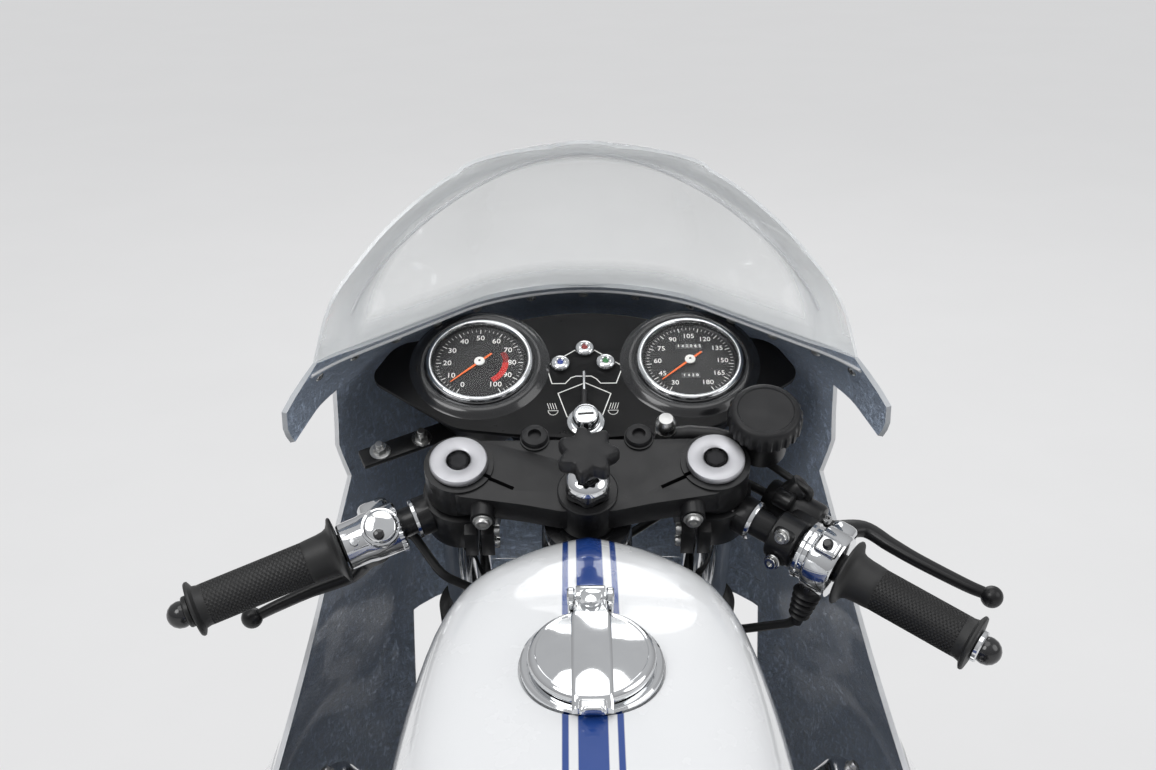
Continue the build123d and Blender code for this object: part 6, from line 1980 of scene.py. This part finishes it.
def build_engine():
    """Softened castings with covers, screws, plugs with leads, oil filler, coils and carburettors."""
    soften("crankcase_casting", "crankcase", "cast", "frame", 2.2, 2)
    soften("gearbox_casting", "gearbox", "cast", "frame", 2.2, 2)
    soften("rocker_castings", "rocker_covers", "polished", "frame", 1.6, 2)
    for side in SIDES:
        soften(f"finned_{side}", f"cylinder_{side}", "cast", "frame", 0.8, 1)
    soften("carburettor_bodies", "carburettors", "cast_dark", "frame", 1.2, 2)

    fittings = Piece("engine_fittings")
    for sign in (-1, 1):
        place = engine_place(sign)
        fittings.use("zinc")
        for x in (-36, 36):
            for y in (-48, 48):
                fittings.lathe([(6, 321), (6, 323), (5, 323.6), (0.01, 323.6)], place @ at(x, y, 0), 20)
                fittings.screw(place @ at(x, y, 323), 4.6, 4)
        for x in (-52, 52):
            for y in (-56, 56):
                fittings.nut(place @ at(x, y, 117.6), 6.5, 6)
        plug = place @ at(-54 * sign, 20, 256) @ turn(-70 * sign, "Y")
        fittings.use("dial_white")
        fittings.lathe([(5, -4), (5, 20), (3.4, 22)], plug, 16)
        fittings.use("black_plastic")
        fittings.lathe([(6, 10), (8, 12), (8.4, 22), (7.6, 36), (6, 39), (4, 40)], plug, 24)
        coil = Vector((sign * 34, 236, 716))
        lead = rounded([plug @ Vector((0, 0, 38)), plug @ Vector((0, 0, 60)),
                        coil + Vector((sign * 26, 46, -2)), coil], 26, 8)
        fittings.tube(lead, 3.5, 10)
        fittings.lathe([(13, 0), (16, 2), (17, 6), (17, 74), (16, 78), (8, 80)], at(*coil) @ turn(90, "X"),
                       32)
        fittings.use("zinc")
        fittings.box((46, 12, 2.6), at(sign * 20, 196, 734), 1, 1)
        port = at(sign * PORT_X, 400.3, PORT_Z) @ turn(-90, "X")
        fittings.use("polished")
        fittings.sleeve([(29.4, -1), (31.6, -1), (32.4, 0), (32.4, 9), (30, 11.4), (23, 12.6), (20.2, 12.6)],
                        port, 48)
        for k in range(9):
            fin = port @ turn(40 * k, "Z") @ at(34, 0, 4.6)
            fittings.box((7, 5, 9), fin, 1.4, 2)
        x = sign * PORT_X
        fittings.use("zinc")
        for y in (249, 226):
            fittings.sleeve([(22.1, -4), (24.6, -3.4), (24.6, 3.4), (22.1, 4)],
                            at(x, y, PORT_Z) @ turn(90, "X"), 40)
            fittings.screw(at(x, y, PORT_Z + 25) @ turn(sign * 90, "Y") @ at(0, 0, -5), 3, 10)
        fittings.use("cast_black")
        fittings.lathe([(20, 0), (21.4, 1), (21.4, 6), (18, 8.6), (5, 9), (4.4, 14), (0.01, 14)],
                       at(x, 189.7, 678.4), 36)
        fittings.use("cable_black")
        cable = [(x, 190, 690), (x, 192, 712), (x * 0.6, 232, 728), (x * 0.24, 300, 736)]
        fittings.tube(rounded(cable, 26, 8), 3, 10)
    fittings.use("cast")
    for z, radius in ((CRANK_Z - 20, 44), (CRANK_Z + 76, 18)):
        cover = at(0, 400 if radius > 20 else 394, z) @ turn(-90, "X")
        fittings.lathe([(radius, -0.5), (radius + 3, 0.2), (radius + 3, 2), (radius, 3.4),
                        (radius * 0.5, 4.6), (0.01, 5)],
                       cover, 64)
    fittings.use("zinc")
    for k in range(8):
        fittings.screw(at(0, 400, CRANK_Z - 20) @ turn(-90, "X") @ turn(45 * k + 22, "Z") @ at(60, 0, -0.6),
                       4.4, 4)
    fittings.use("black_plastic")
    cap = at(-118.6, 200, 438) @ turn(-88, "Y")
    fittings.lathe([(15, -1), (15, 7), (13.4, 9), (0.01, 9.6)], cap, 32)
    for k in range(3):
        fittings.box((26, 4, 5), cap @ turn(60 * k, "Z") @ at(0, 0, 10), 1.2, 2)
    gear_covers(fittings)
    fittings.done("frame", angle=32)


def build_exhausts():
    """Clamps, seams, hangers and end caps on the chromed pipes and silencers."""
    for side in SIDES:
        soften(f"pipe_{side}", f"exhaust_{side}", "chrome", "frame", 0.8, 2)
    trim = Piece("exhaust_trim")
    for sign in (-1, 1):
        start = Vector((sign * 204, -250, 286))
        end = Vector((sign * 216, -850, 332))
        length = (end - start).length
        place = axes(start, (0, 0, 1), end - start)
        trim.use("dull_chrome")
        trim.sleeve([(20.2, -22), (24.4, -21.4), (25, -20), (25, -4), (24.4, -2.6), (20.2, -2)], place, 40)
        trim.screw(place @ at(-26, 6, -12) @ turn(90, "X") @ at(0, 0, -8), 3.4, 18)
        for z in (98, length - 101):
            trim.sleeve([(43.6, z), (45.2, z + 0.8), (45.2, z + 3.2), (43.6, z + 4)], place, 64)
        trim.use("chrome")
        trim.sleeve([(29.6, length - 17), (31.4, length - 15.4), (31.4, length - 1), (30, length + 0.8),
                     (23, length + 0.8), (21.8, length - 0.4), (21.8, length - 12), (26, length - 12)],
                     place, 48)
        trim.use("cast_black")
        cup = [(21.7, length - 3), (21.7, length - 59.8), (0.01, length - 59.8)]
        cup += [(0.01, length - 59.2), (21, length - 59.2), (21, length - 3)]
        trim.sleeve(cup, place, 40)
        trim.use("zinc")
        trim.nut(at(sign * 178.1, -356, 352) @ turn(sign * 90, "Y"), 8, 6)
    trim.done("frame", angle=32)


def build_frame():
    """Softened frame and stand with bolts, battery straps and footrest rubbers."""
    soften("frame_tubes", "main_frame", "frame_black", "frame", 1.0, 2)
    soften("subframe_tubes", "rear_subframe", "frame_black", "frame", 1.0, 2)
    soften("swingarm_tubes", "swingarm", "frame_black", "frame", 1.6, 2)
    soften("stand_legs", "centre_stand", "frame_black", "stand", 1.2, 2)
    soften("fairing_bars", "fairing_bracket", "frame_black", "frame", 0.8, 2)
    soften("battery_case", "battery", "black_plastic", "frame", 0.8, 2)
    soften("footrest_plates", "footrests", "polished", "frame", 1.0, 2)
    extras = Piece("frame_fittings").use("zinc")
    for sign in (-1, 1):
        extras.nut(at(sign * 138, -280, 390) @ turn(sign * 90, "Y"), 15, 5)
        for y in (165, 285):
            extras.nut(at(sign * 100, y, 164.4) @ turn(180, "X"), 9, 6)
        for y in (-408, -330):
            extras.screw(at(sign * 137.8, y, 400) @ turn(sign * 90, "Y"), 6, 4)
        top = at(sign * 152.7, -480, 675) @ turn(sign * 90, "Y")
        extras.sleeve([(9.2, 0), (13, 0), (13, 2), (9.2, 2)], top, 32)
        extras.nut(top @ at(0, 0, 1.4), 11, 6.4)
        extras.screw(at(sign * 150, FRONT_AXLE.y, 320) @ turn(sign * 90, "Y") @ at(0, 0, -4), 5, 3)
    extras.use("grip_rubber")
    for x in (-30, 30):
        extras.box((14, 119, 2.4), at(x, -279, 641.2), 1, 1)
        for y in (-337.2, -220.8):
            extras.box((14, 2.4, 165), at(x, y, 559.6), 1, 1)
    for x, finish in ((40, "lamp_red"), (-40, "black_plastic")):
        extras.use(finish)
        extras.lathe([(7, 639.8), (9, 641), (9, 648), (7, 650), (0.01, 650)], at(x, -250, 0), 24)
    extras.use("grip_rubber")
    for sign in (-1, 1):
        profile = [(11.1, 1)]
        for k in range(9):
            z = 2 + 7.4 * k
            profile += [(12.6, z), (13.6, z + 1), (13.6, z + 4.4), (12.6, z + 5.4)]
        profile += [(13.6, 69), (13.6, 71), (11, 72.4)]
        extras.lathe(profile, at(sign * 150, -385, 400) @ turn(sign * 90, "Y"), 28)
        toe = at(sign * 172, -225, 396) @ turn(sign * 90, "Y")
        extras.lathe([(8, -15), (9.6, -14), (9.6, 17), (8.4, 18.6), (0.01, 18.8)], toe, 24)
    extras.done("frame", angle=32)


def build_shocks():
    """Chromed dampers with round-wire springs, collars and rubber-bushed eyes."""
    turns = bpy.context.scene.cafe_details.spring_turns
    shocks = Piece("shock_units")
    for sign in (-1, 1):
        top = Vector((sign * 142, -480, 675))
        foot = Vector((sign * 142, -650, 366))
        length = (foot - top).length
        place = axes(top, (1, 0, 0), foot - top)
        shocks.use("chrome")
        shocks.lathe([(9, 12), (9, length - 12)], place, 24)
        shocks.lathe([(8, 24), (19, 26), (20.6, 30), (20.6, 98), (22.4, 100), (26, 101.4), (26, 105),
                      (20, 106.4), (9, 106.6)],
                     place, 48)
        shocks.use("black_plastic")
        shocks.lathe([(9, length - 64), (25, length - 63), (26, length - 60), (26, length - 57),
                      (18, length - 52), (18, length - 30), (14, length - 22), (9, length - 20)], place, 48)
        low, high = 109, length - 67
        shocks.use("chrome")
        line = []
        steps = int(turns * 28)
        for k in range(steps + 1):
            angle = math.tau * turns * k / steps
            line.append(place @ polar(22.4, angle, low + (high - low) * k / steps))
        shocks.tube(line, 3.4, 10)
        for point in (top, foot):
            eye = at(*point) @ turn(90, "Y")
            shocks.use("polished")
            shocks.sleeve([(12, -10), (15.4, -10), (16, -9), (16, 9), (15.4, 10), (12, 10)], eye, 40)
            shocks.use("grip_rubber")
            shocks.sleeve([(9.4, -10.3), (12.2, -10.3), (12.2, 10.3), (9.4, 10.3)], eye, 32)
    shocks.done("frame", ["shocks"], "chrome", angle=35)


# Seat, tail and lamps

SEAMS = [-236 - 44 * k for k in range(8)]


def build_pad():
    """Seat cover on foam: cloth-blown pad with sewn channels, piping and stitches."""
    rows = [
        (-188, 88, 741, 764), (-196, 92, 741, 768), (-260, 103, 745, 778), (-340, 110, 749, 780),
        (-420, 113, 753, 784), (-500, 111, 758, 790), (-560, 106, 764, 799), (-596, 94, 780, 822),
        (-608, 88, 789, 830),
    ]
    pad = Piece("seat_cover").use("vinyl")
    rings = []
    for y, half, low, top in rows:
        side = min(7, (top - low) * 0.3)
        outline = [Vector((x, z, 0)) for x, z in (
            (-half + 3, low), (-half, low + side), (-half, top - side - 3), (-half + 9, top - 2),
            (-half * 0.45, top), (0, top - 1), (half * 0.45, top), (half - 9, top - 2),
            (half, top - side - 3), (half, low + side), (half - 3, low), (0, low))]
        rings.append([Vector((p.x, y, p.y)) for p in resample(spline(outline, 6, closed=True) + [outline[0]],
                                                              73)[:-1]])
    pad.rings(rings)
    ob = pad.done("frame", ["seat_pad"], "vinyl", angle=70)
    remesh = ob.modifiers.new("grid", "REMESH")
    remesh.mode = "VOXEL"
    remesh.voxel_size = 0.0055
    bake(ob)
    blow(ob, 4.0, 0.008)
    sew(ob)
    smooth = ob.modifiers.new("smooth", "SUBSURF")
    smooth.levels = smooth.render_levels = 1
    bake(ob)
    for face in ob.data.polygons:
        face.use_smooth = True

    trim = Piece("seat_piping").use("vinyl")
    for sign in (-1, 1):
        edge = []
        for y, half, low, top in rows:
            edge.append(Vector((sign * (half + 2.5), y, low + 3.5)))
        trim.tube(spline(edge, 6), 2.6, 8)
    trim.use("thread")
    tree = surface(ob)
    for y in SEAMS:
        for x in range(-80, 81, 8):
            for shift in (-3.4, 3.4):
                hit, normal = drop_on(tree, x, y + shift)
                ahead, _ = drop_on(tree, x + 4.6, y + shift)
                if hit and ahead:
                    trim.tube([hit + normal * 0.2, hit.lerp(ahead, 0.5) + normal * 0.7,
                               ahead + normal * 0.2], 0.55, 6)
    trim.done("frame", angle=50)


def bake(ob):
    """Apply a piece's modifiers to its mesh."""
    bpy.context.view_layer.update()
    mesh = bpy.data.meshes.new_from_object(ob.evaluated_get(bpy.context.evaluated_depsgraph_get()))
    old = ob.data
    mesh.name = old.name + "_form"
    ob.modifiers.clear()
    ob.data = mesh
    bpy.data.meshes.remove(old)


def blow(ob, pressure, cap):
    """Let cloth swell under pressure for twenty frames, with each point's way capped, in metres."""
    start = [v.co.copy() for v in ob.data.vertices]
    low = min(p.z for p in start)
    pins = ob.vertex_groups.new(name="seat_base")
    pins.add([i for i, p in enumerate(start) if ob.data.vertices[i].normal.z < -0.6], 1.0, "REPLACE")
    cloth = ob.modifiers.new("cloth", "CLOTH")
    cloth.settings.quality = 5
    cloth.settings.mass = 0.3
    cloth.settings.tension_stiffness = 15
    cloth.settings.compression_stiffness = 15
    cloth.settings.use_pressure = True
    cloth.settings.uniform_pressure_force = pressure
    cloth.settings.effector_weights.gravity = 0
    cloth.settings.vertex_group_mass = "seat_base"
    cloth.point_cache.frame_start = 1
    cloth.point_cache.frame_end = 20
    scene = bpy.context.scene
    for number in range(1, 21):
        scene.frame_set(number)
    bake(ob)
    for v, p in zip(ob.data.vertices, start):
        way = v.co - p
        if way.length > cap:
            v.co = p + way.normalized() * cap
        v.co.z = max(v.co.z, low)
    scene.frame_set(1)


def sew(ob):
    """Press the sewn channels and a seam round the top panel into the pad."""
    for v in ob.data.vertices:
        if v.normal.z < 0.25:
            continue
        y = v.co.y * 1000
        x = abs(v.co.x * 1000)
        near = min(abs(y - seam) for seam in SEAMS)
        fade = max(0.0, min(1.0, (88 - x) / 10))
        v.co.z -= MM * fade * (4.4 * math.exp(-(near / 5.0) ** 2) - 1.6 * math.exp(-((near - 22) / 9) ** 2))
        v.co.z -= MM * 3.2 * math.exp(-((x - 88) / 3.6) ** 2)


def surface(ob):
    """Search tree of a piece's form, in millimetres."""
    mesh = ob.data
    points = [v.co * 1000 for v in mesh.vertices]
    return BVHTree.FromPolygons(points, [tuple(p.vertices) for p in mesh.polygons])


def drop_on(tree, x, y):
    """Point and normal straight below (x, y) on a form."""
    hit, normal, _, _ = tree.ray_cast(Vector((x, y, 1000)), Vector((0, 0, -1)))
    return hit, normal


def build_tail():
    """Painted seat tail with its humped back and screws."""
    rows = [
        (-178, 104, 716.3, 726, 738), (-240, 108, 716.3, 728, 741), (-330, 116, 716.3, 730, 744),
        (-450, 119, 716.3, 736, 751), (-560, 121, 716.3, 742, 762), (-600, 120, 716.3, 764, 800),
        (-640, 117.6, 716.4, 788, 847), (-700, 112, 718.6, 795, 856), (-760, 103.6, 722, 798, 855.4),
        (-830, 82, 731.4, 789, 838), (-866, 66, 737, 780, 817), (-873.6, 60, 741, 776, 808),
    ]
    tail = Piece("tail_unit").use("tail_paint")
    rings = []
    for y, half, low, shoulder, top in rows:
        rise = top - shoulder
        outline = [Vector((x, z, 0)) for x, z in (
            (0, low), (half * 0.6, low), (half * 0.84, low + 1), (half * 0.985, shoulder - 4),
            (half * 0.97, shoulder + rise * 0.22), (half * 0.8, shoulder + rise * 0.72),
            (half * 0.55, top - 0.6), (0, top))]
        loop = [Vector((-p.x, p.y, 0)) for p in outline[:0:-1]]
        loop = outline + loop[1:]
        rings.append([Vector((p.x, y, p.y)) for p in resample(spline(loop, 6, closed=True) + [loop[0]],
                                                              97)[:-1]])
    smooth = []
    for column in zip(*rings):
        smooth.append(resample(spline(column, 6), 60))
    tail.rings([list(ring) for ring in zip(*smooth)])
    tail.use("zinc")
    for sign in (-1, 1):
        for y in (-260, -420, -560):
            tail.screw(at(sign * 100, y, 719.6) @ turn(sign * 150, "Y"), 4, 3, "dome")
    tail.done("frame", ["seat_tail"], "white_paint", angle=40)


def build_lamps():
    """Tail lamp with a chromed bezel and ribbed lens; headlamp with rim, reflector, bulb and glass."""
    tail = Piece("tail_light").use("chrome")
    place = at(0, -874.4, 768) @ turn(90, "X")
    tail.lathe([(33, 0), (36, 0.6), (36, 16), (35, 18), (33, 18.4), (32.6, 14)], place, 56)
    tail.use("red_lens")
    profile = []
    for k in range(9):
        profile += [(32.2 - 0.1 * k, 15 + 1.8 * k), (31.2 - 0.1 * k, 15.9 + 1.8 * k)]
    tail.lathe([(28, 14)] + profile + [(28, 36), (22, 39), (12, 40.4), (0.01, 40.8)], place, 56)
    tail.done("frame", ["tail_lamp"], "red_lens", angle=40)

    lamp = Piece("head_light").use("black_plastic")
    place = at(*HEADLAMP) @ turn(-90, "X")
    lamp.sleeve([(22, -30), (40, -29.6), (60, -10), (79, 24), (79, 38), (76, 38), (76, 26), (57, -8),
                 (38, -26), (22, -27)],
                place, 64)
    lamp.use("polished")
    bowl = [(75.6, 50), (75, 40), (66, 20), (50, 2), (30, -12), (14, -18)]
    lamp.sleeve(bowl + [(r - 0.6, z - 1.4) for r, z in reversed(bowl)], place, 64)
    lamp.lathe([(8, -22), (8, 6), (5, 16), (0.01, 18)], place, 24)
    lamp.use("chrome")
    lamp.sleeve([(74, 38), (81.6, 38), (81.6, 54), (78, 58.4), (74, 57)], place, 72)
    lamp.use("lamp_glass")
    lens_out = [(75, 54), (60, 62.6), (40, 69), (20, 72.6), (0.01, 74)]
    lamp.sleeve(lens_out + [(r * 0.985, z - 2.8) for r, z in reversed(lens_out)], place, 64)
    lamp.done("frame", ["headlamp"], "lamp_glass", angle=40)


# Finishes of the solid model's own nodes

NODE_FINISH = {
    "main_frame": "frame_black", "swingarm": "frame_black", "centre_stand": "frame_black",
    "fairing_bracket": "frame_black", "crankcase": "cast", "gearbox": "cast", "cylinder_left": "cast",
    "cylinder_right": "cast", "rocker_covers": "polished", "carburettors": "cast_dark",
    "exhaust_left": "chrome", "exhaust_right": "chrome", "front_axle": "steel", "front_discs": "disc_steel",
    "front_wheel": "polished", "rear_wheel": "polished", "front_tyre": "tyre_rubber",
    "rear_tyre": "tyre_rubber", "front_mudguard": "guard_paint", "rear_mudguard": "guard_paint",
    "shocks": "chrome", "footrests": "polished", "seat_pad": "vinyl", "seat_tail": "tail_paint",
    "tail_lamp": "red_lens", "headlamp": "lamp_glass", "battery": "black_plastic",
    "brake_calipers": "cast_black", "fork_left": "steel", "fork_right": "steel", "top_clamp": "satin_black",
    "steering_stem": "satin_black", "damper_knob": "black_plastic", "clip_ons": "satin_black",
    "grips": "grip_rubber", "switch_housings": "chrome", "clutch_lever": "satin_black",
    "brake_lever": "satin_black", "brake_reservoir": "black_plastic", "dash_panel": "gloss_black",
    "dash_switches": "chrome", "instruments": "chrome", "fuel_tank": "tank_paint", "filler_ring": "chrome",
    "filler_lid": "chrome", "fairing_upper": "fairing_paint", "fairing_side_left": "fairing_paint",
    "fairing_side_right": "fairing_paint", "windscreen": "acrylic", "control_cables": "cable_black",
    "brake_hose": "cable_black", "rear_subframe": "frame_black",
}


def dress_nodes():
    """Every node of the solid model gets its finish, also those that a detailed piece replaces."""
    for node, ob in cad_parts.items():
        finish = FINISH[NODE_FINISH[node]]
        ob.data.materials.clear()
        ob.data.materials.append(finish)


# Add-on

class BuildStage(bpy.types.Operator):
    """Camera, floor and lamps"""
    bl_idname = "cafe.stage"
    bl_label = "Stage"

    def execute(self, context):
        build_stage()
        return {"FINISHED"}


class DressFrame(bpy.types.Operator):
    """Finishes for every node of the solid model"""
    bl_idname = "cafe.dress"
    bl_label = "Finishes"

    def execute(self, context):
        make_finishes()
        dress_nodes()
        return {"FINISHED"}


class BuildTank(bpy.types.Operator):
    """Painted tank and its flip-up filler"""
    bl_idname = "cafe.tank"
    bl_label = "Tank and filler"

    def execute(self, context):
        build_tank()
        build_filler()
        return {"FINISHED"}


class BuildFairing(bpy.types.Operator):
    """Fairing panels with their screws"""
    bl_idname = "cafe.fairing"
    bl_label = "Fairing"

    def execute(self, context):
        build_fairing()
        return {"FINISHED"}


class BuildScreen(bpy.types.Operator):
    """Clear bubble screen"""
    bl_idname = "cafe.screen"
    bl_label = "Screen"

    def execute(self, context):
        build_screen()
        return {"FINISHED"}


class BuildSteering(bpy.types.Operator):
    """Forks, clamps, stem nut and damper knob"""
    bl_idname = "cafe.steering"
    bl_label = "Steering head"

    def execute(self, context):
        build_forks()
        build_clamp()
        return {"FINISHED"}


class BuildBars(bpy.types.Operator):
    """Bars, grips, levers, switches and reservoir"""
    bl_idname = "cafe.bars"
    bl_label = "Bars and controls"

    def execute(self, context):
        build_bars()
        return {"FINISHED"}


class BuildDash(bpy.types.Operator):
    """Dash, dials, lamps and lock"""
    bl_idname = "cafe.dash"
    bl_label = "Dash and dials"

    def execute(self, context):
        build_dash()
        build_dials()
        return {"FINISHED"}


class BuildWheels(bpy.types.Operator):
    """Tyres, rims, spokes, discs, calipers and mudguards"""
    bl_idname = "cafe.wheels"
    bl_label = "Wheels and mudguards"

    def execute(self, context):
        build_wheels()
        return {"FINISHED"}


class BuildEngine(bpy.types.Operator):
    """Engine, carburettors and exhausts"""
    bl_idname = "cafe.engine"
    bl_label = "Engine and exhausts"

    def execute(self, context):
        build_engine()
        build_exhausts()
        return {"FINISHED"}


class BuildChassis(bpy.types.Operator):
    """Frame, swingarm, stand, footrests and shocks"""
    bl_idname = "cafe.chassis"
    bl_label = "Frame and shocks"

    def execute(self, context):
        build_frame()
        build_shocks()
        return {"FINISHED"}


class BuildSeat(bpy.types.Operator):
    """Stitched seat pad and painted tail"""
    bl_idname = "cafe.seat"
    bl_label = "Seat and tail"

    def execute(self, context):
        build_pad()
        build_tail()
        return {"FINISHED"}


class BuildLamps(bpy.types.Operator):
    """Tail lamp and headlamp"""
    bl_idname = "cafe.lamps"
    bl_label = "Lamps"

    def execute(self, context):
        build_lamps()
        return {"FINISHED"}


class CafePanel(bpy.types.Panel):
    """Lists the pieces of the motorcycle"""
    bl_idname = "VIEW3D_PT_cafe_racer"
    bl_label = "Cafe racer motorcycle"
    bl_space_type = "VIEW_3D"
    bl_region_type = "UI"
    bl_category = "Motorcycle"

    def draw(self, context):
        for settings in (context.scene.cafe_paint, context.scene.cafe_details):
            box = self.layout.box()
            for name in settings.__annotations__:
                box.prop(settings, name)
        for operator in OPERATORS:
            self.layout.operator(operator.bl_idname)


OPERATORS = [
    BuildStage, DressFrame, BuildTank, BuildFairing, BuildScreen, BuildSteering, BuildBars, BuildDash,
    BuildWheels, BuildEngine, BuildChassis, BuildSeat, BuildLamps,
]
CLASSES = [PaintSettings, DetailSettings] + OPERATORS + [CafePanel]


def register():
    for cls in CLASSES:
        bpy.utils.register_class(cls)
    bpy.types.Scene.cafe_paint = PointerProperty(type=PaintSettings)
    bpy.types.Scene.cafe_details = PointerProperty(type=DetailSettings)


def unregister():
    del bpy.types.Scene.cafe_details
    del bpy.types.Scene.cafe_paint
    for cls in reversed(CLASSES):
        bpy.utils.unregister_class(cls)


def main():
    register()
    for operator in OPERATORS:
        group, name = operator.bl_idname.split(".")
        getattr(getattr(bpy.ops, group), name)()


if __name__ == "__main__":
    main()
